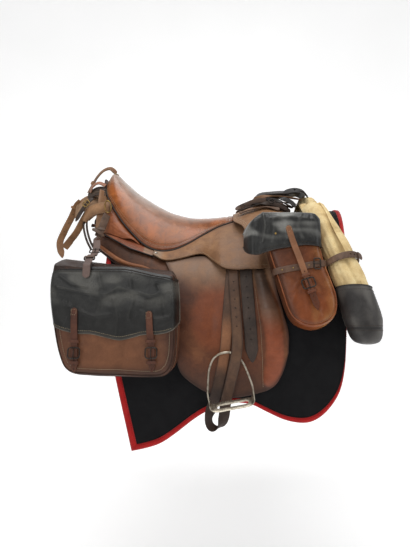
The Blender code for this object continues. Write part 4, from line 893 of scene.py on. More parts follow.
def keeper(name, at, along, across, out, width, tall, gap, mat, thick=0.0022):
    """A small leather loop round a strap: across is its long side, tall its breadth."""
    c, t, a, o = (np.array(v, float) for v in (at, along, across, out))
    t, a, o = unit(t), unit(a), unit(o)
    w, g = width / 2, gap / 2
    corner = min(w, g) * 0.8
    path, normals = [], []
    for cx, cz, start in ((w - corner, g - corner, 0), (-w + corner, g - corner, 90), (-w + corner, -g + corner, 180), (w - corner, -g + corner, 270)):
        for q in range(5):
            ang = math.radians(start + 90 * q / 4)
            path.append(c + a * (cx + corner * math.cos(ang)) + o * (cz + corner * math.sin(ang)))
            normals.append(a * math.cos(ang) + o * math.sin(ang))
    return strap(name, path, normals, tall, thick, mat, None, None, 0.0003, True, 0.0015)


def from_axis(p):
    return np.array((0.0, p[1], p[2] - BARREL_LEVEL))


def tint(r, g, b, a):
    return (*srgb(r, g, b), a)


def over(under, top):
    """One painted patch laid over another."""
    a = top[3] + under[3] * (1 - top[3])
    if a < 1e-4:
        return (0.0, 0.0, 0.0, 0.0)
    return tuple((top[k] * top[3] + under[k] * under[3] * (1 - top[3])) / a for k in range(3)) + (a,)


class Coons:
    """A surface patch in the x-z plane between four curves."""

    def __init__(self, top, bottom, left, right):
        self.c = [self.even(resample(q, 160)) for q in (top, bottom, left, right)]
        self.corner = [top[0], top[-1], bottom[0], bottom[-1]]

    def even(self, line):
        t = np.linspace(0, 1, len(line))
        return lambda s: np.array((np.interp(s, t, line[:, 0]), np.interp(s, t, line[:, 1])))

    def __call__(self, u, v):
        t, b, le, r = (q(u) if k < 2 else q(v) for k, q in enumerate(self.c))
        p = self.corner
        return (1 - v) * t + v * b + (1 - u) * le + u * r - (1 - u) * (1 - v) * p[0] - u * (1 - v) * p[1] - (1 - u) * v * p[2] - u * v * p[3]


# ================================================================ saddlecloth and its binding
CLOTH_TOP_REAR, CLOTH_TOP_FRONT = -0.289, 0.456
CLOTH_EDGE = through(
    [
        (-0.166, -0.549),
        (-0.126, -0.541),
        (-0.085, -0.527),
        (-0.043, -0.499),
        (0.004, -0.463),
        (0.045, -0.438),
        (0.100, -0.417),
        (0.160, -0.420),
        (0.207, -0.441),
        (0.260, -0.464),
        (0.312, -0.472),
        (0.350, -0.459),
        (0.385, -0.425),
        (0.410, -0.380),
        (0.422, -0.320),
        (0.426, -0.240),
    ]
)
_edge = resample(CLOTH_EDGE, 80)


def angle_of(x, z):
    if z <= BARREL_LEVEL:
        return math.pi / 2 + (BARREL_LEVEL - z) / 0.28
    return math.acos(min(1.0, (z - BARREL_LEVEL) / (ridge(x) - BARREL_LEVEL)))


def cloth_point(u, v, h):
    xb = float(np.interp(u, np.linspace(0, 1, 80), _edge[:, 0]))
    zb = float(np.interp(u, np.linspace(0, 1, 80), _edge[:, 1]))
    xt = lerp(CLOTH_TOP_REAR, CLOTH_TOP_FRONT, u)
    w = abs(v)
    x = lerp(xt, xb, w**1.3)
    x0, y, z = arc(x, w * angle_of(xb, zb), h)
    return x0, math.copysign(y, v) if v else 0.0, z


def cloth_margin(edge, u, v):
    a, b = np.array(cloth_point(0, v, 0)), np.array(cloth_point(1, v, 0))
    drop = 0.68 if abs(v) > 0.2 else 0.7
    return edge / max(0.3, float(np.linalg.norm(b - a))), edge / drop


def cloth_inset(u, v, inset, h):
    du, dv = cloth_margin(inset, u, v)
    return np.array(cloth_point(du + u * (1 - 2 * du), v * (1 - dv), h))


def cloth_wave(u, v):
    low = smooth((abs(v) - 0.62) / 0.3)
    end = smooth((0.10 - min(u, 1 - u)) / 0.10)
    return 0.0022 * max(low, end) * (math.sin(u * 31 + 3 * abs(v)) * 0.5 + nz(u, v, 0, 6.0, 3.1))


def saddlecloth():
    def point(u, v):
        w = 2 * v - 1
        return cloth_inset(u, w, 0.010, 0.0056 + 0.6 * cloth_wave(u, w) - 0.0006)

    def look(p, u, v):
        return {}

    made = bent_sheet("saddlecloth_wool", point, 80, 110, 0.0046, M["cloth"], lambda p: np.array((0, 0, 1.0)), look, 80, (0.70, 1.44))
    place(made, "saddle", "cloth", "saddlecloth")

    border = (
        [(k / 90, -1.0) for k in range(90)]
        + [(1.0, -1 + 2 * k / 150) for k in range(150)]
        + [(1 - k / 90, 1.0) for k in range(90)]
        + [(0.0, 1 - 2 * k / 150) for k in range(150)]
    )
    rings, surf = [], []
    for k, (u, v) in enumerate(border):
        swell = 0.0004 * nz(k * 0.35, 0, 0, 1.0, 5)
        wave = 0.6 * cloth_wave(u, v)
        ring = []
        for m, (inset, h) in enumerate(
            ((0.0155, 0.0062), (0.0140, 0.0074), (0.0100, 0.0079), (0.0045, 0.0077), (0.0012, 0.0062), (0.0, 0.0038), (0.0012, 0.0014), (0.0045, 0.0002), (0.0140, 0.0), (0.0155, 0.0012))
        ):
            ring.append(cloth_inset(u, v, inset, h + swell + wave * (1 if h > 0.003 else 0.4)))
            surf.append((k * 0.0045, m * 0.004, 0.0))
        rings.append(ring)
    binding = lofted("cloth_tape", rings, M["binding"], True, None, 80, surf)
    place(binding, "saddle", "binding", "cloth_binding")
    row = [cloth_inset(u, v, 0.0125, 0.0079 + 0.6 * cloth_wave(u, v)) for u, v in border]
    seam = stitches("cloth_tape_stitches", row, [(0, p[1], p[2] + 0.3) for p in row], M["red_thread"], 0.0034, 0.0026, 0.0004)
    place(seam, "saddle", "binding")


saddlecloth()


# ================================================================ panels
def panel_top(x, y):
    z = top_z(x, min(y, BARREL_HALF_WIDTH), 0.0)
    rear = smooth((-x - 0.05) / 0.20)
    full = PANEL_THICK + PANEL_REAR_EXTRA * rear
    return 0.006 + PANEL_REST + 0.003 + (full - 0.003) * smooth((z + 0.17) / 0.13)


panel_outer_y = table(
    [
        (-0.335, 0.070),
        (-0.310, 0.112),
        (-0.250, 0.165),
        (-0.200, 0.188),
        (-0.140, 0.196),
        (-0.080, 0.214),
        (-0.040, 0.240),
        (0.000, 0.250),
        (0.150, 0.252),
        (0.210, 0.248),
        (0.245, 0.215),
    ]
)


def panel(suffix, side):
    nu, nv = 90, 30
    verts, faces = [], []
    top, bottom = [], []
    for i in range(nu + 1):
        x = lerp(-0.335, 0.245, i / nu)
        end = 1 - abs(2 * i / nu - 1) ** 8
        a, b = [], []
        for j in range(nv + 1):
            t = j / nv
            y = lerp(0.032, panel_outer_y(x), t)
            low = CLOTH_THICK + PANEL_REST
            puff = (1 - abs(2 * t - 1) ** 7) * (0.35 + 0.65 * end)
            high = panel_top(x, y)
            h = low + 0.004 + (high - low - 0.004) * puff
            tuft = 0.0012 * nz(x, y, 0, 26, 2) * puff
            b.append((x, side * y, top_z(x, y, low + 0.0004)))
            a.append((x, side * y, top_z(x, y, h + tuft - 0.0008)))
        top.append(a)
        bottom.append(b)
    attrs = {"paint": [], "surf": []}
    ids_a = [[i * (nv + 1) + j for j in range(nv + 1)] for i in range(nu + 1)]
    n = (nu + 1) * (nv + 1)
    ids_b = [[n + v for v in row] for row in ids_a]
    verts = [p for row in top for p in row] + [p for row in bottom for p in row]
    for i in range(nu):
        for j in range(nv):
            faces.append((ids_a[i][j], ids_a[i + 1][j], ids_a[i + 1][j + 1], ids_a[i][j + 1]))
            faces.append((ids_b[i][j], ids_b[i][j + 1], ids_b[i + 1][j + 1], ids_b[i + 1][j]))
    rim = [(i, 0) for i in range(nu + 1)] + [(nu, j) for j in range(1, nv + 1)] + [(i, nv) for i in range(nu - 1, -1, -1)] + [(0, j) for j in range(nv - 1, 0, -1)]
    for k, (i, j) in enumerate(rim):
        m, q = rim[(k + 1) % len(rim)]
        faces.append((ids_a[i][j], ids_b[i][j], ids_b[m][q], ids_a[m][q]))
    attrs["paint"] = [(0, 0, 0, 0)] * len(verts)
    made = finish_mesh("panel_pad" + suffix, verts, faces, M["panel"], attrs, 60)
    place(made, "saddle", "panel_leather", "panel" + suffix)
    # the welt along its outer edge, and the tan roll at its rear
    line = []
    for k in range(70):
        x = lerp(-0.334, 0.243, k / 69)
        y = panel_outer_y(x)
        line.append((x, side * (y + 0.001), top_z(x, min(y, BARREL_HALF_WIDTH), CLOTH_THICK + PANEL_REST + 0.0035)))
    welt = tube("panel_welt" + suffix, line, 0.0019, M["piping"], False, 8)
    place(welt, "saddle", "panel_leather")
    line, radii = [], []
    for k in range(46):
        t = k / 45
        x = lerp(-0.318, -0.128, t)
        y = panel_outer_y(x) - 0.001
        radii.append(0.0062 * min(1.0, 0.45 + 4 * min(t, 1 - t)) + 0.0003 * nz(x, 0, 0, 60, 9))
        line.append((x, side * y, top_z(x, y, CLOTH_THICK + PANEL_REST + 0.0135)))
    edge = tube("panel_edge_roll" + suffix, line, radii, M["roll"], False, 14)
    place(edge, "saddle", "panel_leather")


for suffix, side in SIDES:
    panel(suffix, side)

# ================================================================ seat
seat_mid = table(
    [
        (-0.303, 0.226),
        (-0.292, 0.248),
        (-0.276, 0.257),
        (-0.240, 0.224),
        (-0.203, 0.192),
        (-0.163, 0.165),
        (-0.130, 0.146),
        (-0.087, 0.126),
        (-0.043, 0.113),
        (0.000, 0.109),
        (0.060, 0.112),
        (0.110, 0.118),
    ]
)
seat_edge_z = table(
    [
        (-0.303, 0.210),
        (-0.292, 0.180),
        (-0.261, 0.134),
        (-0.224, 0.088),
        (-0.189, 0.052),
        (-0.157, 0.024),
        (-0.124, 0.008),
        (-0.093, 0.005),
        (-0.059, 0.012),
        (-0.020, 0.031),
        (0.015, 0.053),
        (0.064, 0.080),
        (0.110, 0.097),
    ]
)
seat_edge_y = table(
    [
        (-0.303, 0.030),
        (-0.292, 0.055),
        (-0.261, 0.092),
        (-0.224, 0.120),
        (-0.189, 0.139),
        (-0.157, 0.150),
        (-0.124, 0.152),
        (-0.093, 0.146),
        (-0.059, 0.135),
        (-0.020, 0.120),
        (0.015, 0.105),
        (0.064, 0.090),
        (0.110, 0.080),
    ]
)


def seat_z(x, y, drop=0.0):
    w = min(1.0, abs(y) / seat_edge_y(x))
    return lerp(seat_mid(x), seat_edge_z(x), w**2.2) - drop


def bar_outer(x):
    def outer(x1):
        return min(0.118, 0.78 * seat_edge_y(min(x1, 0.11)))

    return lerp(0.076, outer(-0.26), max(0.0, (x + 0.300) / 0.040)) if x < -0.26 else outer(x)


def seat():
    def point(u, v):
        x = lerp(-0.3035, 0.1105, u)
        w = 2 * v - 1
        y = w * seat_edge_y(x)
        dent = 0.0010 * nz(x, y, 0, 16, 4.2) + 0.0004 * nz(x, y, 0, 60, 1.2)
        # a shallow groove beside the welt, and one across behind the pommel
        groove = -0.0010 * bump1(abs(w), 0.955, 0.03)
        groove -= 0.0014 * bump1(x, 0.088, 0.006)
        return x, y, seat_z(x, y) + dent * (1 - abs(w) ** 6) + groove

    def look(p, u, v):
        w = abs(2 * v - 1)
        x = p[0]
        # crest is the top of the seat, where a grey sheen is painted as a reflection of the light above
        crest = smooth((0.78 - w) / 0.52)
        sheen_streak = nz(p[0] * 1.5, p[1] * 9, p[2] * 2.0, 14, 8) * 0.5 + 0.5
        back = smooth((-0.02 - x) / 0.20)
        c = tint(178, 98, 44, 0.50 * smooth((nz(p[0] * 2.2, p[1] * 2, p[2], 9, 5) + 0.25) / 0.6) * (1 - crest))
        c = over(c, tint(96, 50, 28, 0.38 * smooth((nz(p[0] * 5, p[1] * 2, p[2], 20, 5) - 0.12) / 0.5) * smooth((w - 0.2) / 0.3)))
        # painted reflection: pale grey over the crest, strongest towards the cantle and broken into streaks
        c = over(c, tint(176, 166, 158, (0.56 + 0.36 * back) * crest * (0.65 + 0.35 * sheen_streak)))
        c = over(c, tint(96, 48, 28, 0.60 * smooth((w - 0.86) / 0.14)))
        c = over(c, tint(116, 78, 58, 0.6 * smooth((x - 0.082) / 0.012)))
        return {"paint": c, "gloss": 0.45 * crest + 0.15}

    made = bent_sheet("seat_leather_top", point, 150, 96, 0.0052, M["seat"], lambda p: np.array((0, 0, 1.0)), look, 80, (0.44, 0.30))
    place(made, "saddle", "seat_leather", "seat_cover")

    # the welt round the whole edge
    line = []
    for k in range(80):
        x = lerp(0.110, -0.302, (k / 79) ** 0.92)
        line.append((x, -seat_edge_y(x) - 0.0006, seat_edge_z(x) - 0.0030))
    rear = [(-0.3045, lerp(-0.030, 0.030, k / 8), lerp(seat_edge_z(-0.303), seat_mid(-0.303), 1 - abs(2 * k / 8 - 1) ** 2.2) - 0.003) for k in range(1, 8)]
    line = line + rear + [(x, -y, z) for x, y, z in line[::-1]]
    line = resample(line, 260)
    made = tube("seat_welt", line, 0.0024, M["piping"], False, 10)
    place(made, "saddle", "seat_leather")
    for name, share in (("seat_stitches_outer", 0.962), ("seat_stitches_inner", 0.925)):
        row = []
        for side in (-1, 1):
            part = []
            for k in range(90):
                x = lerp(-0.296, 0.085, k / 89)
                y = side * share * seat_edge_y(x)
                part.append((x, y, seat_z(x, y) + 0.0003))
            row.append(stitches(name + "_part", part, [(0, p[1], 0.06) for p in part], M["thread"], 0.0028, 0.0017, 0.0004))
        place(joined(name, row), "saddle", "seat_leather")
    # the stitched rear edge of the cantle
    for name, x in (("cantle_stitches_a", -0.2885), ("cantle_stitches_b", -0.2975)):
        part = []
        for k in range(60):
            y = lerp(-0.92, 0.92, k / 59) * seat_edge_y(x)
            part.append((x, y, seat_z(x, y) + 0.0004))
        place(stitches(name, part, [(-0.5, p[1] * 6, 1) for p in part], M["thread"], 0.0030, 0.0018, 0.00045), "saddle", "seat_leather")
    # the metal edge of the slot in the cantle's peak
    ring = []
    for k in range(24):
        a = 2 * math.pi * k / 24
        x, y = -0.2760 + 0.0055 * math.cos(a), 0.0145 * math.sin(a)
        ring.append((x, y, seat_z(x, y) + 0.0012))
    place(tube("cantle_slot_rim", ring, 0.0014, M["brass"], True, 8), "saddle", "seat_leather")
    # round-headed nails across the pommel end of the seat
    parts = []
    for k in range(9):
        y = lerp(-0.86, 0.86, k / 8) * seat_edge_y(0.101)
        at = np.array((0.101, y, seat_z(0.101, y)))
        parts.append(dome("n", at, (0.05, y * 2.5, 1), 0.0026, 0.0014, M["stud"]))
    place(joined("seat_nails", parts), "saddle", "seat_leather")


seat()


def webbing():
    """Linen webs under the seat: five strips lengthwise and six across, woven together."""
    parts = []
    for k in range(5):
        w = lerp(-0.46, 0.46, k / 4)
        path, nn = [], []
        for i in range(40):
            x = lerp(-0.233, 0.093, i / 39)
            y = w * seat_edge_y(x)
            over = 0.0010 * math.sin(math.pi * (i / 39 * 6 + k))
            path.append((x, y, seat_z(x, y, 0.0052 + 0.0058) + over))
            nn.append((0, y, 0.12))
        parts.append(strap("w", path, nn, 0.024, 0.0012, M["webbing"], None, None, 0.0, False, 0.006))
    for k in range(6):
        x = lerp(-0.20, 0.07, k / 5)
        path, nn = [], []
        for i in range(30):
            y = lerp(-0.58, 0.58, i / 29) * seat_edge_y(x)
            over = -0.0010 * math.sin(math.pi * (i / 29 * 5 + k))
            path.append((x, y, seat_z(x, y, 0.0052 + 0.0058) + over))
            nn.append((0, y, 0.12))
        parts.append(strap("w", path, nn, 0.024, 0.0012, M["webbing"], None, None, 0.0, False, 0.006))
    place(joined("seat_webs", parts), "saddle", "webbing", "seat_webbing")


webbing()


def cantle_back():
    def point(u, v):
        t, s = u, 2 * v - 1
        y = s * lerp(0.050, 0.100, t)
        z_top = 0.236 - 0.060 * abs(s) ** 2.2
        z_low = 0.104 - 0.020 * abs(s)
        z = lerp(z_top, z_low, t)
        x = -0.3085 + 0.012 * abs(s) ** 2 - 0.010 * t - 0.004 - 0.0012 * math.sin(math.pi * t)
        return x + 0.0007 * nz(0, y, z, 30, 3), y, z

    def look(p, u, v):
        s = abs(2 * v - 1)
        return {"paint": tint(96, 52, 36, 0.6 * smooth((s - 0.7) / 0.3) + 0.25 * smooth((u - 0.7) / 0.3)), "gloss": 0.2}

    made = bent_sheet("cantle_back", point, 40, 60, 0.0038, M["cover"], lambda p: np.array((-1.0, 0, 0)), look, 80, (0.13, 0.2))
    place(made, "saddle", "skirt_leather", "cantle_facing")
    border = [point(0.0, k / 60) for k in range(61)]
    place(tube("cantle_piping", [(p[0] + 0.0015, p[1], p[2] + 0.0016) for p in border], 0.0022, M["piping"], False, 10), "saddle", "skirt_leather")
    parts = []
    for v0 in (0.06, 0.94):
        row = [np.array(point(lerp(0.06, 0.95, k / 30), v0)) - np.array((0.0004, 0, 0)) for k in range(31)]
        parts.append(stitches("s", row, [(-1, 0, 0)] * 31, M["thread"]))
    row = [np.array(point(0.05, lerp(0.06, 0.94, k / 40))) - np.array((0.0004, 0, 0)) for k in range(41)]
    parts.append(stitches("s", row, [(-1, 0, 0)] * 41, M["thread"]))
    place(joined("cantle_back_stitches", parts), "saddle", "skirt_leather")


cantle_back()


def rear_cover(suffix, side):
    def point(u, v):
        x = lerp(-0.343, -0.126, u)
        outer = min(panel_outer_y(max(x, -0.335)) - 0.016, 0.174)
        bar = bar_outer(x)
        step = min(bar + 0.004, outer - 0.008)
        y = lerp(0.040, outer, v)
        over = 1 - smooth((y - step) / 0.016)
        base = panel_top(x, y) + 0.0022 + (BAR_THICK + 0.002) * over
        wr = 0.0008 * nz(x, y, 0, 40, 5) * math.sin(math.pi * v)
        return x, side * y, top_z(x, y, base + 0.003 + wr)

    def look(p, u, v):
        c = tint(122, 62, 42, 0.5)
        if u > 0.86:
            c = tint(150, 124, 102, 0.7)
        return {"paint": c, "gloss": 0.25}

    made = bent_sheet("bar_cover" + suffix, point, 70, 36, 0.0028, M["cover"], lambda p: np.array((0, 0, 1.0)), look, 70, (0.22, 0.13))
    place(made, "saddle", "skirt_leather", "rear_cover" + suffix)
    line = [point(k / 60, 1.0) for k in range(61)]
    line = [(x, y + side * 0.0010, z - 0.0006) for x, y, z in line]
    rear = [point(0.0, 1 - k / 14) for k in range(1, 15)]
    line = [(x - 0.001, y, z - 0.0006) for x, y, z in rear[::-1]] + line
    place(tube("bar_cover_piping" + suffix, line, 0.0022, M["piping"], False, 10), "saddle", "skirt_leather")
    row = [np.array(point(lerp(0.03, 0.97, k / 50), 0.93)) for k in range(51)]
    place(stitches("bar_cover_stitches" + suffix, row, [(0, side * 0.5, 1)] * 51, M["thread"]), "saddle", "skirt_leather")


for suffix, side in SIDES:
    rear_cover(suffix, side)

# ================================================================ flaps
FLAP_TOP = through([(-0.088, -0.028), (-0.030, -0.016), (0.060, -0.008), (0.140, 0.014), (0.222, 0.032)])
FLAP_FRONT = through([(0.222, 0.032), (0.226, -0.040), (0.236, -0.100), (0.252, -0.165), (0.266, -0.220), (0.266, -0.275)])
FLAP_BOTTOM = through([(-0.043, -0.289), (-0.029, -0.330), (0.004, -0.361), (0.050, -0.386), (0.119, -0.398), (0.185, -0.385), (0.222, -0.370), (0.250, -0.330), (0.266, -0.275)])
FLAP_REAR = through([(-0.088, -0.028), (-0.061, -0.079), (-0.045, -0.135), (-0.040, -0.210), (-0.043, -0.289)])
FLAP = Coons(FLAP_TOP, FLAP_BOTTOM, FLAP_REAR, FLAP_FRONT)
KNEE = through([(0.188, -0.062), (0.199, -0.110), (0.214, -0.165), (0.226, -0.225), (0.228, -0.290), (0.219, -0.345)])
KNEE_WIDE = 0.030


def flap_inner(x, z):
    h = 0.02
    for _ in range(4):
        h = panel_top(x, side_y(x, z, h)) + 0.0022 + 0.0006
    return h


def flap_outer(x, z):
    return flap_inner(x, z) + FLAP_THICK


def knee_roll(x, z):
    """The stuffed roll under the flap's front edge: 0 outside, 1 along its middle."""
    d, at = 1e9, 0
    for k in range(0, len(KNEE), 2):
        q = (x - KNEE[k][0]) ** 2 + (z - KNEE[k][1]) ** 2
        if q < d:
            d, at = q, k / len(KNEE)
    d = math.sqrt(d) / lerp(0.020, KNEE_WIDE, smooth(at * 2.2))
    return (1 - d * d) ** 1.2 if d < 1 else 0.0


def flap(suffix, side):
    def point(u, v):
        x, z = FLAP(u, v)
        roll = knee_roll(x, z)
        fade = smooth((z + 0.392) / 0.03)
        h = flap_outer(x, z) + 0.0105 * roll * fade * (1 - 0.12 * nz(x, z, 0, 30, 6)) + 0.0007 * nz(x, z, 0, 18, 2.5)
        # the crease behind the roll, and soft folds that fan out from under the skirt
        h -= 0.0010 * crease((x, z), [(0.170, -0.09), (0.188, -0.19), (0.193, -0.27), (0.192, -0.365)], 0.004)
        h += 0.0012 * crease((x, z), [(0.02, -0.04), (0.030, -0.11), (0.028, -0.20)], 0.018)
        h -= 0.0010 * crease((x, z), [(0.060, -0.04), (0.062, -0.13), (0.055, -0.24)], 0.014)
        return x, side * side_y(x, z, h), z

    def look(p, u, v):
        x, z = p[0], p[2]
        top = smooth((z + 0.13) / 0.08)
        centre = max(0.0, 1 - ((x - 0.062) / 0.075) ** 2 - ((z + 0.185) / 0.105) ** 2)
        c = tint(122, 62, 32, 0.80 * smooth(centre * 1.5))
        c = over(c, tint(142, 110, 84, 0.80 * top))
        c = over(c, tint(70, 40, 28, 0.82 * smooth((0.012 - x) / 0.055) * smooth((-0.05 - z) / 0.06)))
        c = over(c, tint(72, 48, 36, 0.75 * smooth((-0.295 - z) / 0.07)))
        # the knee roll: painted shade at its top under the skirt's edge, a painted grey highlight below that, then the
        # reddish leather of the bulge
        roll = knee_roll(x, z)
        if roll > 0.02:
            t = smooth((-0.085 - z) / 0.07)
            s = smooth((-0.15 - z) / 0.08)
            a = 0.85 * smooth(roll * 1.8)
            q = (lerp(lerp(70, 116, t), 142, s), lerp(lerp(56, 88, t), 74, s), lerp(lerp(48, 72, t), 46, s))
            c = over(c, tint(*q, a))
        d = min(u, 1 - u, v * 1.2, 1 - v)
        c = over(c, tint(58, 36, 28, 0.6 * smooth((0.06 - d) / 0.05)))
        return {"paint": c, "edge": 0.45 * smooth((0.028 - d) / 0.02), "gloss": 0.25 * centre + 0.55 * roll}

    made = bent_sheet("flap_leather" + suffix, point, 92, 110, 0.0042, M["flap"], from_axis, look, 80, (0.3, 0.37))
    place(made, "saddle", "flap_leather", "flap" + suffix)
    rows = []
    for inset in (0.020, 0.036):
        row = [point(inset, lerp(0.10, 1 - inset, k / 60)) for k in range(61)]
        row += [point(lerp(inset, 1 - inset, k / 80), 1 - inset) for k in range(1, 81)]
        row += [point(1 - inset, lerp(1 - inset, 0.45, k / 40)) for k in range(1, 41)]
        row = [np.array(p) + side_normal(p[0], p[2], 0.0, side) * 0.0003 for p in row]
        if inset < 0.03:
            rows.append(stitches("s", row, [side_normal(p[0], p[2], 0.0, side) for p in row], M["dark_thread"], 0.0030, 0.0020, 0.0004))
    line = []
    for k in range(60):
        t = k / 59
        x = float(np.interp(t, [0, 0.4, 0.7, 1], [0.176, 0.190, 0.194, 0.196]))
        z = lerp(-0.105, -0.372, t)
        h = flap_outer(x, z) + 0.0105 * knee_roll(x, z) * smooth((z + 0.392) / 0.03) + 0.0006
        line.append(side_point(x, z, h, side))
    rows.append(stitches("s", line, [side_normal(p[0], p[2], 0.0, side) for p in line], M["thread"], 0.0030, 0.0020, 0.00045))
    place(joined("flap_stitches" + suffix, rows), "saddle", "flap_leather")


for suffix, side in SIDES:
    flap(suffix, side)

# ================================================================ skirts
skirt_low = table(
    [
        (-0.125, -0.010),
        (-0.096, -0.025),
        (-0.070, -0.027),
        (-0.035, -0.020),
        (0.008, -0.010),
        (0.029, -0.013),
        (0.052, -0.030),
        (0.084, -0.047),
        (0.113, -0.053),
        (0.165, -0.050),
        (0.222, -0.048),
    ]
)
SKIRT_LIFT = 0.0165


def skirt_low_h(x):
    straps = smooth((x - 0.045) / 0.035) * (1 - smooth((x - 0.185) / 0.03))
    return flap_outer(x, skirt_low(x)) + lerp(0.0022, SKIRT_LIFT, straps)


def skirt_top(x):
    if x <= 0.11:
        return seat_edge_y(x) + 0.004, seat_edge_z(x) - 0.0075
    t = smooth((x - 0.11) / 0.11)
    return lerp(0.084, 0.110, t), lerp(0.0895, 0.098, t)


def skirt_point(x, t, side, lift=0.0):
    y0, z0 = skirt_top(x)
    z1 = skirt_low(x)
    y1 = side_y(x, z1, skirt_low_h(x))
    y, z = lerp(y0, y1, t), lerp(z0, z1, t)
    ny, nzz = z0 - z1, y1 - y0
    n = math.hypot(ny, nzz)
    k = 0.010 * smooth((x + 0.05) / 0.10) * math.sin(math.pi * t) + SKIRT_THICK + lift
    return x, side * (y + ny / n * k), z + nzz / n * k


def skirt(suffix, side):
    def point(u, v):
        x = lerp(-0.125, 0.222, u)
        wr = 0.0006 * nz(x, v, 0, 14, 7) * math.sin(math.pi * v)
        # the faint crease across, and the ridges where the straps run underneath
        wr -= 0.0009 * bump1(v, 0.56 + 0.05 * math.sin(x * 20), 0.05) * smooth((x - 0.02) / 0.05)
        wr += 0.0014 * bump1(x, 0.112, 0.022) * smooth((v - 0.3) / 0.4)
        wr += 0.0010 * bump1(x, 0.152, 0.022) * smooth((v - 0.3) / 0.4)
        return skirt_point(x, v, side, wr)

    def look(p, u, v):
        c = tint(128, 98, 76, 0.5 * smooth((u - 0.45) / 0.2))
        c = over(c, tint(104, 70, 50, 0.6 * smooth((0.10 - v) / 0.06)))
        c = over(c, tint(158, 138, 118, 0.7 * smooth((0.10 - u) / 0.06)))
        return {"paint": c, "edge": 0.5 * smooth((v - 0.955) / 0.03), "gloss": 0.22 * math.sin(math.pi * v)}

    made = bent_sheet("skirt_leather" + suffix, point, 120, 50, 0.0038, M["skirt"], from_axis, look, 80, (0.35, 0.18))
    place(made, "saddle", "skirt_leather", "skirt" + suffix)
    rows = []
    for v0 in (0.945,):
        row, nn = [], []
        for k in range(110):
            u = lerp(0.03, 0.985, k / 109)
            p, q = np.array(point(u, v0)), np.array(point(u, v0 - 0.05))
            n = unit(np.cross(np.array(point(min(1, u + 0.01), v0)) - p, p - q))
            n = n if np.dot(n, from_axis(p)) > 0 else -n
            row.append(p + n * 0.0002)
            nn.append(n)
        rows.append(stitches("s", row, nn, M["thread"], 0.0028, 0.0018, 0.0004))
    place(joined("skirt_stitches" + suffix, rows), "saddle", "skirt_leather")
    studs = []
    for u, v in ((0.022, 0.42), (0.965, 0.25)):
        p, q = np.array(point(u, v)), np.array(point(u, v - 0.05))
        n = unit(np.cross(np.array(point(u + 0.01, v)) - p, p - q))
        n = n if np.dot(n, from_axis(p)) > 0 else -n
        studs.append(dome("d", p, n, 0.0050, 0.0024, M["stud"], 5, 20))
    place(joined("skirt_studs" + suffix, studs), "saddle", "skirt_leather")


for suffix, side in SIDES:
    skirt(suffix, side)

# ================================================================ tree parts that stay as drawn
for node in ("tree_bar_r", "tree_bar_l", "cantle_arch"):
    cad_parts[node].data.materials.clear()
    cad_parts[node].data.materials.append(M["wood"])
for node in ("pommel_arch", "stirrup_bar_r", "stirrup_bar_l"):
    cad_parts[node].data.materials.clear()
    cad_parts[node].data.materials.append(M["tree_steel"])

# ================================================================ stirrup leathers, irons, girth straps


def leather_path():
    rear = [
        (0.111, 0.012, 0.0046),
        (0.108, -0.050, 0.0046),
        (0.103, -0.120, 0.0044),
        (0.098, -0.190, 0.0042),
        (0.093, -0.262, 0.0040),
        (0.081, -0.330, 0.0040),
        (0.066, -0.395, 0.0050),
    ]
    front = [
        (0.095, -0.404, 0.0165),
        (0.108, -0.350, 0.0150),
        (0.116, -0.312, 0.0240),
        (0.123, -0.276, 0.0295),
        (0.126, -0.235, 0.0200),
        (0.121, -0.160, 0.0098),
        (0.115, -0.090, 0.0092),
        (0.113, -0.030, 0.0092),
        (0.113, 0.012, 0.0092),
    ]
    return rear, front


def leather_h(x, z):
    return flap_outer(x, max(z, -0.30))


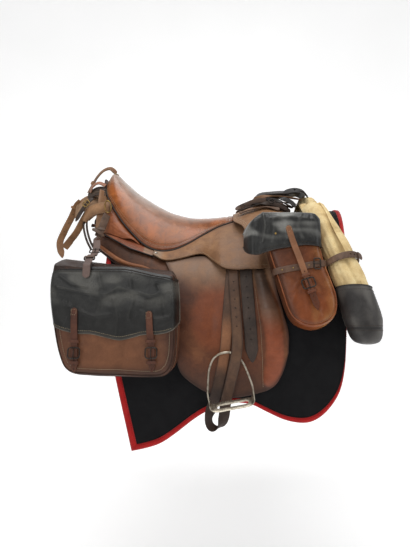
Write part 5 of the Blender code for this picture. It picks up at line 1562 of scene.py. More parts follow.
def stirrup_leather(suffix, side):
    per = 5
    rear, front = leather_path()
    # the open turn at the bottom, where the strap rolls over: x, z, lift, and its outer side as (x, out, z)
    loop = [
        (0.0548, -0.4260, 0.0075, (-0.30, -0.95, -0.10)),
        (0.0485, -0.4450, 0.0120, (-0.78, -0.60, -0.25)),
        (0.0500, -0.4610, 0.0175, (-0.72, -0.50, -0.62)),
        (0.0590, -0.4712, 0.0225, (-0.20, -0.38, -0.92)),
        (0.0715, -0.4712, 0.0260, (0.25, 0.05, -0.96)),
        (0.0835, -0.4612, 0.0270, (0.35, 0.62, -0.62)),
        (0.0905, -0.4380, 0.0225, (0.10, 0.97, -0.15)),
    ]
    rows = [(x, z, lift, (0.0, -1.0, 0.0)) for x, z, lift in rear] + loop + [(x, z, lift, (0.0, 1.0, 0.0)) for x, z, lift in front]
    line = through([(x, z, lift, *face) for x, z, lift, face in rows], per=per)
    path, normals = [], []
    turn = (len(rear) + 3.0) * per
    for x, z, lift, fx, fo, fz in line:
        path.append(side_point(x, z, leather_h(x, z) + lift, side))
        n = side_normal(x, max(z, -0.28), flap_outer, side)
        normals.append(np.array((fx, 0.0, 0.0)) + n * fo + np.array((0.0, 0.0, fz)))
    body = "stirrup_leather_" + BODY[suffix]

    def look(s, w):
        c = tint(158, 106, 72, 0.75 * smooth((s - 0.20) / 0.06) * smooth((0.36 - s) / 0.04))
        # painted shade: the strap darkens round its bottom turn, where its underside rolls out of the light
        c = over(c, tint(52, 42, 38, 0.85 * smooth((s - 0.365) / 0.04) * smooth((0.60 - s) / 0.05)))
        c = over(c, tint(56, 44, 38, 0.65 * smooth((abs(w) - 0.72) / 0.25)))
        return {"paint": c, "gloss": 0.25 * (1 - abs(w))}

    made = strap("stirrup_strap" + suffix, path, normals, 0.0295, 0.0030, M["stirrup"], "round", None, 0.0005, False, 0.0032, look)
    # punched holes down the front ply
    holes = []
    pts = list(zip(path, normals))
    front = [(p, n) for (p, n), k in zip(pts, range(len(pts))) if k > turn + per * 7]
    fp = np.array([p for p, _ in front])
    fn = np.array([unit(n) for _, n in front])
    run = np.concatenate([[0], np.cumsum(np.linalg.norm(np.diff(fp, axis=0), axis=1))])
    for k in range(6):
        d = 0.070 + 0.026 * k
        at = np.array([np.interp(d, run, fp[:, q]) for q in range(3)])
        n = np.array([np.interp(d, run, fn[:, q]) for q in range(3)])
        holes.append((at, n, 0.0014, 0.012))
    punch(made, holes)
    place(made, body, "strap_leather", "stirrup_leather" + suffix)
    # rows of stitching near both edges where the plies lie flat
    parts = []
    for k in (-1, 1):
        row, nn = [], []
        for i in range(len(front)):
            p, n = front[i]
            t = unit(front[min(i + 1, len(front) - 1)][0] - front[max(i - 1, 0)][0])
            w = unit(np.cross(t, n))
            row.append(p + w * 0.0118 * k + unit(n) * 0.0017)
            nn.append(n)
        parts.append(stitches("s", row, nn, M["dark_thread"], 0.0028, 0.0020, 0.00035))
    place(joined("stirrup_strap_stitches" + suffix, parts), body, "strap_leather")


IRON_X, IRON_Z, IRON_LIFT = 0.090, -0.272, 0.0140
IRON_LEAN, IRON_SWING = math.radians(14), math.radians(10)


def stirrup_iron(suffix, side):
    w, hgt = 0.122 / 2, 0.140
    half = [
        (0.000, 0.000, 0.011, 0.0100),
        (0.018, -0.003, 0.011, 0.0092),
        (0.034, -0.014, 0.010, 0.0086),
        (0.047, -0.038, 0.009, 0.0084),
        (0.055, -0.070, 0.010, 0.0084),
        (0.060, -0.100, 0.014, 0.0082),
        (w - 0.003, -0.122, 0.028, 0.0070),
        (w - 0.010, -hgt + 0.006, 0.040, 0.0062),
        (w - 0.026, -hgt + 0.003, 0.042, 0.0062),
        (0.015, -hgt + 0.003, 0.042, 0.0062),
    ]
    loop = half + [(-x, z, d, r) for x, z, d, r in half[:0:-1]]
    dense_loop = resample(through(loop, True, 8), 150, True)
    pivot = side_point(IRON_X, IRON_Z, leather_h(IRON_X, IRON_Z) + IRON_LIFT, side)
    turn = Matrix.Rotation(side * IRON_LEAN, 3, "X") @ Matrix.Rotation(-IRON_SWING, 3, "Y")
    path = [pivot + np.array(turn @ Vector((x, 0, z))) for x, z, _, _ in dense_loop]
    normal = np.array(turn @ Vector((0, side, 0)))
    tip = math.radians(30)
    flat = np.array(turn @ Vector((0, side * math.cos(tip), -math.sin(tip))))
    faces = [lerp(normal, flat, smooth((-0.108 - z) / 0.020)) for _, z, _, _ in dense_loop]
    across = [q[3] * lerp(0.66, 0.90, smooth((-0.108 - q[1]) / 0.020)) for q in dense_loop]
    made = rod("stirrup_forging" + suffix, path, faces, across, [q[2] for q in dense_loop], M["steel"], True, 20, 45)
    # the open slot in the tread, with rounded ends
    bm = bmesh.new()
    outline = []
    for sx, start in ((1, -90), (-1, 90)):
        for k in range(9):
            a = math.radians(start + 180 * k / 8)
            outline.append((sx * 0.034 + 0.0100 * math.cos(a), 0.0100 * math.sin(a)))
    low = [bm.verts.new((x, y, -0.025)) for x, y in outline]
    top = [bm.verts.new((x, y, 0.025)) for x, y in outline]
    n = len(outline)
    for k in range(n):
        bm.faces.new((low[k], low[(k + 1) % n], top[(k + 1) % n], top[k]))
    bm.faces.new(list(reversed(low)))
    bm.faces.new(top)
    bmesh.ops.rotate(bm, verts=bm.verts[:], cent=(0, 0, 0), matrix=Matrix.Rotation(-side * tip, 3, "X"))
    bmesh.ops.translate(bm, verts=bm.verts[:], vec=(0, 0, -hgt + 0.003))
    bmesh.ops.transform(bm, matrix=Matrix.Translation(Vector(pivot)) @ turn.to_4x4(), verts=bm.verts[:])
    bmesh.ops.recalc_face_normals(bm, faces=bm.faces[:])
    mesh = bpy.data.meshes.new("slot")
    bm.to_mesh(mesh)
    bm.free()
    cut(made, [bpy.data.objects.new("slot", mesh)])
    place(made, "stirrup_iron_" + BODY[suffix], "worn_steel", "stirrup_iron" + suffix)
    # the rasped grip on both bars of the tread
    parts = []
    for gy in (-0.0155, 0.0155):
        for k in range(17):
            x = lerp(-0.036, 0.036, k / 16)
            lean = Matrix.Rotation(-side * tip, 3, "X")
            a, b = (pivot + np.array(turn @ (lean @ Vector((x, gy + e, 0.0031)) + Vector((0, 0, -hgt + 0.003)))) for e in (-0.0032, 0.0032))
            parts.append(tube("g", [a, (a + b) / 2, b], 0.0008, M["steel"], False, 6))
    place(joined("stirrup_tread_grip" + suffix, parts), "stirrup_iron_" + BODY[suffix], "worn_steel")


GIRTH_LIFT = 0.0042


def girth_strap(suffix, side):
    body = "girth_strap_" + BODY[suffix]
    line = resample(through([(0.150, -0.050), (0.152, -0.090), (0.1565, -0.150), (0.1615, -0.210)]), 24)
    path, normals = [], []
    for x, z in line:
        path.append(side_point(x, z, flap_outer(x, z) + GIRTH_LIFT, side))
        normals.append(side_normal(x, z, flap_outer, side))
    x0, z0 = line[-1]
    first = side_point(x0, z0, flap_outer(x0, z0) + GIRTH_LIFT, side)
    last = side_point(0.167, -0.300, flap_outer(0.167, -0.298) + GIRTH_LIFT + 0.001, side)
    flat = side_normal(0.164, -0.255, flap_outer, side)
    normals[-1] = flat
    for k in range(1, 9):
        path.append(first + (last - first) * k / 8)
        normals.append(flat)

    def look(s, w):
        return {"gloss": 0.15 * (1 - abs(w)), "paint": tint(70, 56, 50, 0.4 * smooth((s - 0.7) / 0.3))}

    made = strap("girth_billet" + suffix, path, normals, 0.035, 0.0030, M["girth"], "point", None, 0.0004, False, 0.0032, look, 0.0006)
    holes = []
    P, NN = np.array(path), np.array(normals)
    for k in range(7):
        z = -0.072 - 0.0278 * k
        at = np.array([np.interp(-z, -P[:, 2], P[:, q]) for q in range(3)])
        n = np.array([np.interp(-z, -P[:, 2], NN[:, q]) for q in range(3)])
        holes.append((at, n, 0.0017, 0.012))
    punch(made, holes)
    place(made, body, "strap_leather", "girth_strap" + suffix)
    # its upper stretch, under the skirt
    up, nn = [], []
    for k in range(9):
        z = lerp(-0.052, -0.004, k / 8)
        x = lerp(0.150, 0.148, k / 8)
        up.append(side_point(x, z, flap_outer(x, z) + GIRTH_LIFT, side))
        nn.append(side_normal(x, z, flap_outer, side))
    place(strap("girth_billet_top" + suffix, up, nn, 0.034, 0.0028, M["girth"], None, None, 0.0002), "saddle", "strap_leather")


for suffix, side in SIDES:
    stirrup_leather(suffix, side)
    stirrup_iron(suffix, side)
    girth_strap(suffix, side)


# ================================================================ rear saddlebags
BAG_DEPTH, BAG_WALL, BAG_LEAN = 0.095, 0.005, math.radians(9)
WALLET_DEPTH, WALLET_WALL, WALLET_LEAN = 0.072, 0.005, math.radians(17)
BAG_STRAP_WIDTH = 0.017


class Tilted:
    """A drawing plane that leans in at the top: (across, up, out) to world, per side."""

    def __init__(self, x, y, z, lean, side):
        self.at = np.array((x, side * y, z))
        self.side = side
        c, s = math.cos(lean), math.sin(lean)
        self.x = np.array((1.0, 0, 0))
        self.up = np.array((0, -side * s, c))
        self.out = np.array((0, side * c, s))

    def __call__(self, a, u, o):
        return self.at + self.x * a + self.up * u + self.out * o


BAG_OUTLINE = through(
    [
        (-0.350, -0.002),
        (-0.357, -0.050),
        (-0.358, -0.105),
        (-0.346, -0.185),
        (-0.326, -0.262),
        (-0.300, -0.302),
        (-0.240, -0.311),
        (-0.176, -0.313),
        (-0.100, -0.315),
        (-0.058, -0.310),
        (-0.037, -0.280),
        (-0.031, -0.215),
        (-0.032, -0.115),
        (-0.040, -0.062),
        (-0.054, -0.036),
    ]
)


def bag_frame(side):
    return Tilted(0.0, 0.2565, -0.018, BAG_LEAN, side)


def bag_slope(a):
    return -0.034 * smooth((a + 0.17) / 0.12)


bag_rear_edge = table([(-0.300, -0.305), (-0.262, -0.326), (-0.185, -0.346), (-0.105, -0.358), (-0.050, -0.357), (-0.002, -0.350)])
bag_front_edge = table([(-0.300, -0.052), (-0.280, -0.037), (-0.215, -0.031), (-0.115, -0.032), (-0.062, -0.040), (-0.030, -0.056)])
BAG_LID_LOW = table(
    [
        (-0.363, -0.170),
        (-0.340, -0.194),
        (-0.295, -0.206),
        (-0.255, -0.208),
        (-0.219, -0.216),
        (-0.182, -0.223),
        (-0.145, -0.216),
        (-0.120, -0.210),
        (-0.076, -0.208),
        (-0.043, -0.198),
        (-0.026, -0.170),
    ]
)


def pouch(name, at, outline, centre, depth, wall, edge, top_at, mouth, mat, puff=0.0, look=None):
    """A hollow leather pouch with rounded edges, its cavity and its mouth."""

    def body(name, shrink, o0, o1, round_by, mat, fine):
        rings = []
        steps = []
        for k in range(5):
            t = k / 4
            steps.append((o0 + 0.4 * round_by * t, 0.35 * round_by * (1 - math.sin(math.pi / 2 * t))))
        for k in range(1, 4):
            steps.append((lerp(o0 + 0.4 * round_by, o1 - 0.9 * round_by, k / 4), 0.0))
        for k in range(8):
            ang = math.pi / 2 * k / 7
            steps.append((o1 - 0.9 * round_by * (1 - math.sin(ang)), 0.85 * round_by * (1 - math.cos(ang))))
        inner = [(0.12, 0.4), (0.3, 0.75), (0.55, 0.95), (0.8, 1.0), (0.95, 1.0)] if fine else []
        for o, s in steps:
            ring = []
            for a, u in outline:
                c = np.array(centre(u))
                d = np.array((a, u)) - c
                n = max(1e-6, float(np.linalg.norm(d)))
                bulge = 0.0 if shrink else 0.0012 * nz(a, u, o, 22, 4)
                a2, u2 = np.array((a, u)) - d / n * (shrink + s + bulge)
                ring.append(at(a2, min(u2, top_at(a2, o) - shrink), o))
            rings.append(ring)
        o, s = steps[-1]
        for f, h in inner:
            ring = []
            for a, u in outline:
                c = np.array(centre(u))
                d = np.array((a, u)) - c
                n = max(1e-6, float(np.linalg.norm(d)))
                a1, u1 = np.array((a, u)) - d / n * (shrink + s)
                c2 = np.array(centre(lerp(u, centre(u)[1], f)))
                a2, u2 = lerp(a1, c2[0], f), lerp(u1, c2[1], f)
                u2 = min(u2, top_at(a2, o) - shrink)
                ring.append(at(a2, u2, o + puff * h + 0.0012 * nz(a2, u2, 0, 16, 6) * h))
            rings.append(ring)
        return rings

    rings = body(name, 0.0, 0.0, depth, edge, mat, True)
    looks = None
    if look:
        looks = []
        for ring in rings:
            for p in ring:
                looks.append(look(p))
    made = lofted(name, rings, mat, False, looks, 50)
    cavity = lofted("cavity", body("cavity", wall, wall, depth - wall, edge * 0.8, mat, False), mat, False, None, 50)
    bm = bmesh.new()
    (a0, u0, o0), (a1, u1, o1) = mouth
    corners = [bm.verts.new(at(a, u, o)) for a in (a0, a1) for u in (u0, u1) for o in (o0, o1)]
    for f in ((0, 1, 3, 2), (4, 6, 7, 5), (0, 4, 5, 1), (2, 3, 7, 6), (0, 2, 6, 4), (1, 5, 7, 3)):
        bm.faces.new([corners[k] for k in f])
    bmesh.ops.recalc_face_normals(bm, faces=bm.faces[:])
    mesh = bpy.data.meshes.new("mouth")
    bm.to_mesh(mesh)
    bm.free()
    cut(made, [cavity, bpy.data.objects.new("mouth", mesh)])
    return made


def rim_line(at, outline, centre, s, o, top_at, pick):
    line = []
    for a, u in outline:
        if not pick(a, u):
            continue
        c = np.array(centre(u))
        d = np.array((a, u)) - c
        n = max(1e-6, float(np.linalg.norm(d)))
        a2, u2 = np.array((a, u)) - d / n * s
        line.append(at(a2, min(u2, top_at(a2, o)), o))
    return line


def rear_bag(suffix, side):
    at = bag_frame(side)
    body = "rear_bag_" + BODY[suffix]
    centre = lambda u: (-0.19, -0.15)
    top_at = lambda a, o: -0.003 + bag_slope(a) - 0.030 * (max(0.0, o) / BAG_DEPTH) ** 1.6
    outline = resample(BAG_OUTLINE, 150)

    def look(p):
        rel = p - at.at
        a, u, o = rel[0], float(np.dot(rel, at.up)), float(np.dot(rel, at.out))
        front = smooth((o - BAG_DEPTH + 0.020) / 0.012)
        mid = max(0.0, 1 - ((a + 0.185) / 0.13) ** 2)
        c = tint(126, 80, 50, 0.60 * mid * front)
        d = min(a + 0.345, -0.040 - a, u + 0.312)
        c = over(c, tint(52, 32, 24, 0.80 * smooth((0.030 - d) / 0.024) * front))
        c = over(c, tint(92, 54, 40, 0.5 * (1 - front)))
        c = over(c, tint(38, 26, 21, 0.9 * smooth((u + 0.062) / 0.012)))
        return {"paint": c, "gloss": 0.25}

    made = pouch("saddlebag" + suffix, at, outline, centre, BAG_DEPTH, BAG_WALL, 0.018, top_at, ((-0.322, -0.120, BAG_DEPTH - 0.012), (-0.058, -0.080, BAG_DEPTH + 0.012)), M["bag"], 0.0022, look)
    place(made, body, "bag_leather", "rear_bag" + suffix)
    parts = []
    for o, s, r in ((BAG_DEPTH - 0.0040, 0.0035, 0.0016), (BAG_DEPTH - 0.0190, -0.0006, 0.0016), (0.006, 0.002, 0.0019)):
        line = rim_line(at, outline, centre, s, o, top_at, lambda a, u: u < -0.050)
        # the outline starts at the rear top, so the kept points run round in order
        parts.append(tube("p", line, r, M["bag_edge"], False, 8))
    place(joined("saddlebag_piping" + suffix, parts), body, "bag_leather")
    rows = []
    line = rim_line(at, outline, centre, 0.0165, BAG_DEPTH + 0.0002, top_at, lambda a, u: u < -0.17)
    rows.append(stitches("s", line, [at.out] * len(line), M["thread"], 0.0030, 0.0020, 0.00045))
    line = rim_line(at, outline, centre, -0.0012, BAG_DEPTH - 0.0245, top_at, lambda a, u: u < -0.06)
    cen = at(-0.19, -0.15, 0.05)
    rows.append(stitches("s", line, [p - cen for p in line], M["thread"], 0.0030, 0.0020, 0.0004))
    place(joined("saddlebag_stitches" + suffix, rows), body, "bag_leather")


def lid_point(at, f, v, lift=0.0):
    d = BAG_DEPTH + 0.0025
    mid = lerp(-0.359, -0.030, f)
    e = min(f, 1 - f)
    corner = max(0.0, 1 - e / 0.10) ** 2
    u = lerp(-0.0430 + 0.62 * bag_slope(mid) - 0.011 * corner, BAG_LID_LOW(mid), v)
    a = lerp(bag_rear_edge(u) - 0.0035, bag_front_edge(u) + 0.0035, f)
    wrap = 0.034 * max(0.0, 1 - e / 0.042) ** 1.8
    o = d - wrap + 0.003 * math.sin(math.pi * v) + 0.0035
    o -= 0.0030 * max(0.0, 1 - v / 0.07) ** 2
    a += math.copysign(0.0028 * max(0.0, 1 - e / 0.05) ** 0.7, f - 0.5)
    return at(a, u, o + lift), a, u


LID_CREASES = [
    ([(-0.335, -0.088), (-0.258, -0.105), (-0.209, -0.108), (-0.181, -0.090), (-0.098, -0.111), (-0.042, -0.098)], 0.006, 0.0022),
    ([(-0.330, -0.060), (-0.300, -0.082), (-0.262, -0.088)], 0.006, 0.0016),
    ([(-0.235, -0.046), (-0.222, -0.090), (-0.230, -0.150)], 0.007, -0.0014),
    ([(-0.150, -0.070), (-0.140, -0.120), (-0.152, -0.170)], 0.008, 0.0014),
    ([(-0.080, -0.085), (-0.064, -0.120), (-0.060, -0.160)], 0.006, -0.0016),
    ([(-0.300, -0.140), (-0.240, -0.165), (-0.200, -0.160)], 0.007, 0.0012),
    ([(-0.120, -0.150), (-0.080, -0.172), (-0.045, -0.165)], 0.006, 0.0014),
    ([(-0.190, -0.120), (-0.178, -0.170), (-0.182, -0.210)], 0.007, 0.0012),
]


def rear_lid(suffix, side):
    at = bag_frame(side)
    body = "rear_bag_lid_" + BODY[suffix]

    def shape(f, v):
        p, a, u = lid_point(at, f, v)
        k = sum(h * crease((a, u), line, w) for line, w, h in LID_CREASES)
        k += 0.0013 * nz(a, u, 0, 24, 3 + side) + 0.0005 * nz(a, u, 0, 70, 5)
        k *= smooth(v / 0.05) * smooth((1.0 - v) / 0.03 + 0.3)
        # pressed in under the two closing straps
        for a0, a1 in ((-0.289, -0.283), (-0.099, -0.088)):
            a_s = lerp(a0, a1, min(1, max(0, (-0.142 - u) / 0.1)))
            if u < -0.12:
                k = lerp(k, -0.0004, bump1(a, a_s, 0.018))
        return p, a, u, k

    def point(f, v):
        p, a, u, k = shape(f, v)
        return p + at.out * k

    def look(p, f, v):
        _, a, u, k = shape(f, v)
        # lit is a painted highlight on the raised crease ridges
        lit = smooth((k - 0.0004) / 0.0034)
        # painted grey sheen in broad patches near the top, darkest above the lower edge
        sheen_patch = smooth((nz(a * 1.2, u * 2.4, 0.4, 17, 9) + 0.15) / 0.6) * smooth((0.66 - v) / 0.35) * smooth(v / 0.06)
        c = tint(24, 22, 20, 0.50 * smooth((v - 0.50) / 0.3))
        c = over(c, tint(116, 114, 107, 0.38 * sheen_patch))
        c = over(c, tint(104, 102, 95, 0.20 * lit))
        c = over(c, tint(72, 68, 60, 0.5 * smooth((v - 0.93) / 0.06)))
        return {"paint": c, "gloss": 0.25 + 0.3 * max(lit, sheen_patch)}

    us = np.concatenate([np.linspace(0, 0.045, 10), np.linspace(0.055, 0.945, 90), np.linspace(0.955, 1, 10)])
    made = bent_sheet("saddlebag_lid" + suffix, point, 0, 62, 0.0034, M["black"], lambda p: at.out, look, 80, (0.33, 0.18), us)
    place(made, body, "black_leather", "rear_bag_lid" + suffix)

    # the lid's leather turns over the bag's rim, where it is sewn on
    def turn(f, v):
        edge, low = lid_point(at, f, 0.0)[0], lid_point(at, f, 0.10)[0]
        rim = edge + at.up * 0.009 - at.out * 0.0095
        fold = edge - at.out * 0.0030
        if v < 0.5:
            return lerp(rim, fold, v / 0.5)
        return lerp(fold, low - at.out * 0.0030, (v - 0.5) / 0.5)

    made = bent_sheet("saddlebag_lid_turn" + suffix, turn, 0, 14, 0.0026, M["black"], lambda p: at.out + at.up * 0.5, lambda p, f, v: {"gloss": 0.2}, 80, (0.33, 0.03), us)
    edge = lid_point(at, 0.5, 0.0)[0]
    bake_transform(made)
    line = [point(0.0, k / 40) - at.out * 0.0012 for k in range(41)] + [point(k / 120, 1.0) - at.out * 0.0016 for k in range(1, 120)] + [point(1.0, 1 - k / 40) - at.out * 0.0012 for k in range(41)]
    place(tube("saddlebag_lid_piping" + suffix, resample(line, 220), 0.0011, M["pale_piping"], False, 8), body, "black_leather")
    row = [point(k / 150, 0.955) + at.out * 0.0003 for k in range(6, 145)]
    row2 = [point(k / 150, 0.03) + at.out * 0.0003 for k in range(6, 145)]
    parts = [stitches("s", row, [at.out] * len(row), M["thread"], 0.0030, 0.0019, 0.0004), stitches("s", row2, [at.out] * len(row2), M["dark_thread"], 0.0030, 0.0019, 0.0004)]
    place(joined("saddlebag_lid_stitches" + suffix, parts), body, "black_leather")
    # the seam welt along its top
    line = [lid_point(at, k / 100, 0.0)[0] - at.out * 0.0030 + at.up * 0.0008 for k in range(3, 98)]
    place(tube("saddlebag_lid_welt" + suffix, line, 0.0019, M["piping"], False, 8), body, "black_leather")


def bag_fastening(suffix, side, name, a_top, a_low, u_top):
    at = bag_frame(side)
    body = "rear_bag_lid_" + BODY[suffix]
    o = BAG_DEPTH + 0.0025 + 0.0035 + 0.0030 + 0.0021
    pts = [(a_top, u_top, o), (lerp(a_top, a_low, 0.35), u_top - 0.05, o), (lerp(a_top, a_low, 0.7), -0.232, o - 0.0022), (a_low, -0.290, o - 0.0050), (a_low + 0.001, -0.303, o - 0.0052)]
    path = through([at(*p) for p in pts], per=6)

    def look(s, w):
        return {"gloss": 0.3 * (1 - abs(w)), "paint": tint(92, 56, 40, 0.35 * smooth((s - 0.6) / 0.3))}

    made = strap("bag_closing_strap_" + name + suffix, path, [at.out] * len(path), BAG_STRAP_WIDTH, 0.0030, M["bag_strap"], "point", "round", 0.0005, False, 0.003, look, 0.0004)
    holes = []
    for k in range(4):
        u = -0.262 - 0.011 * k
        i = int(np.argmin([abs(float(np.dot(p - at.at, at.up)) - u) for p in path]))
        holes.append((path[i], at.out, 0.0015, 0.012))
    punch(made, holes[1:])
    place(made, body, "bag_leather", "bag_strap_" + name + suffix)
    # the box of stitches that holds its top
    parts = []
    c = at(a_top, u_top - 0.010, o + 0.0020)
    for (x0, z0), (x1, z1) in (((-0.0062, 0.006), (0.0062, 0.006)), ((-0.0062, -0.008), (0.0062, -0.008)), ((-0.0062, 0.006), (-0.0062, -0.008)), ((0.0062, 0.006), (0.0062, -0.008))):
        line = [c + at.x * lerp(x0, x1, k / 5) + at.up * lerp(z0, z1, k / 5) for k in range(6)]
        parts.append(stitches("s", line, [at.out] * 6, M["thread"], 0.0020, 0.0012, 0.0004, 0.0))
    place(joined("bag_strap_stitches_" + name + suffix, parts), body, "bag_leather")
    a_b = lerp(a_top, a_low, 0.80)
    made = buckle("bag_buckle_frame_" + name + suffix, at(a_b, -0.255, o + 0.0012), at.x, at.up, at.out, 0.029, 0.026, 0.0036, M["iron"])
    place(made, body, "dark_iron", "bag_buckle_" + name + suffix)
    k1 = keeper("bag_keeper_" + name + suffix, at(lerp(a_top, a_low, 0.90), -0.279, o - 0.0020), -at.up, at.x, at.out, BAG_STRAP_WIDTH + 0.006, 0.0075, 0.0080, M["bag_strap"], 0.0020)
    k2 = keeper("k", at(lerp(a_top, a_low, 0.60), -0.226, o - 0.0008), -at.up, at.x, at.out, BAG_STRAP_WIDTH + 0.006, 0.0070, 0.0078, M["bag_strap"], 0.0020)
    place(joined("bag_keepers_" + name + suffix, [k1, k2]), body, "bag_leather")


for suffix, side in SIDES:
    rear_bag(suffix, side)
    rear_lid(suffix, side)
    bag_fastening(suffix, side, "rear", -0.289, -0.283, -0.142)
    bag_fastening(suffix, side, "front", -0.099, -0.088, -0.150)

# ================================================================ front wallets
WALLET_OUTLINE = through(
    [
        (0.192, -0.012),
        (0.206, -0.100),
        (0.226, -0.178),
        (0.243, -0.236),
        (0.262, -0.288),
        (0.287, -0.312),
        (0.324, -0.322),
        (0.361, -0.310),
        (0.384, -0.284),
        (0.388, -0.244),
        (0.376, -0.196),
        (0.361, -0.148),
        (0.350, -0.100),
        (0.340, -0.012),
    ]
)


def wallet_frame(side):
    return Tilted(0.0, 0.216, 0.095, WALLET_LEAN, side)


WALLET_CREASES = [
    ([(0.350, -0.215), (0.330, -0.250), (0.336, -0.290)], 0.007, -0.0025),
    ([(0.372, -0.230), (0.352, -0.262), (0.350, -0.300)], 0.006, 0.0020),
    ([(0.250, -0.190), (0.285, -0.215), (0.330, -0.222)], 0.008, 0.0016),
    ([(0.262, -0.240), (0.300, -0.262), (0.345, -0.250)], 0.007, -0.0018),
]


def wallet(suffix, side):
    at = wallet_frame(side)
    centre = lambda u: (0.296, -0.190)
    top_at = lambda a, o: -0.010 - 0.012 * (max(0.0, o) / WALLET_DEPTH) ** 2
    outline = resample(WALLET_OUTLINE, 130)

    def look(p):
        rel = p - at.at
        a, u, o = rel[0], float(np.dot(rel, at.up)), float(np.dot(rel, at.out))
        right = float(np.interp(-u, [0, 0.1, 0.196, 0.244, 0.31], [0.340, 0.350, 0.376, 0.388, 0.361]))
        left = float(np.interp(-u, [0, 0.1, 0.178, 0.236, 0.288], [0.192, 0.206, 0.226, 0.243, 0.262]))
        d = right - a
        highlight_mottle = nz(a * 1.6, u, 0, 26, 9)
        c = tint(134, 68, 30, 0.70 * smooth((-0.205 - u) / 0.05))
        # painted highlights: a pale sheen along the right edge and orange glints low on the right, broken up by noise
        c = over(c, tint(164, 112, 64, 0.50 * smooth((0.036 - d) / 0.030) * smooth((highlight_mottle + 0.35) / 0.5)))
        c = over(c, tint(160, 108, 62, 0.45 * smooth((highlight_mottle - 0.05) / 0.4) * smooth((a - 0.300) / 0.03) * smooth((-0.18 - u) / 0.04)))
        c = over(c, tint(62, 36, 24, 0.70 * smooth((0.034 - a + left) / 0.030)))
        c = over(c, tint(78, 44, 30, 0.45 * smooth((u + 0.175) / 0.03) * smooth((0.312 - a) / 0.03)))
        return {"paint": c, "gloss": 0.45 * smooth((0.05 - d) / 0.04) + 0.2}

    made = pouch("wallet_case" + suffix, at, outline, centre, WALLET_DEPTH, WALLET_WALL, 0.026, top_at, ((0.205, -0.060, 0.012), (0.334, 0.010, WALLET_DEPTH + 0.01)), M["wallet"], 0.0015, look)
    # wrinkles pressed into its outer face
    for v in made.data.vertices:
        rel = np.array(v.co) - at.at
        a, u, o = rel[0], float(np.dot(rel, at.up)), float(np.dot(rel, at.out))
        if o > WALLET_DEPTH - 0.010 and u < -0.12:
            k = sum(h * crease((a, u), line, w) for line, w, h in WALLET_CREASES)
            v.co = v.co + Vector(at.out * k)
    place(made, "saddle", "bag_leather", "wallet" + suffix)
    parts = []
    for o, s in ((WALLET_DEPTH - 0.0065, 0.0052), (0.010, 0.0035)):
        line = rim_line(at, outline, centre, s, o, top_at, lambda a, u: u < -0.110)
        parts.append(tube("p", line, 0.0017, M["cover"], False, 8))
    place(joined("wallet_piping" + suffix, parts), "saddle", "bag_leather")
    line = rim_line(at, outline, centre, 0.0105, WALLET_DEPTH - 0.0016, top_at, lambda a, u: u < -0.150)
    place(stitches("wallet_stitches" + suffix, line, [at.out] * len(line), M["dark_thread"], 0.0030, 0.0020, 0.00045), "saddle", "bag_leather")


wallet_lid_low = table([(0.138, -0.086), (0.146, -0.112), (0.158, -0.126), (0.176, -0.130), (0.205, -0.121), (0.235, -0.113), (0.280, -0.106), (0.312, -0.102), (0.358, -0.106)])
WLID_CREASES = [
    ([(0.196, -0.012), (0.200, -0.050), (0.193, -0.095)], 0.006, 0.0026),
    ([(0.214, -0.012), (0.222, -0.050), (0.216, -0.092)], 0.006, -0.0016),
    ([(0.235, -0.018), (0.258, -0.042), (0.262, -0.085)], 0.007, 0.0018),
    ([(0.300, -0.015), (0.290, -0.050), (0.302, -0.085)], 0.007, 0.0016),
    ([(0.325, -0.020), (0.318, -0.060), (0.330, -0.085)], 0.006, -0.0014),
    ([(0.215, -0.028), (0.270, -0.022), (0.335, -0.030)], 0.006, 0.0018),
]


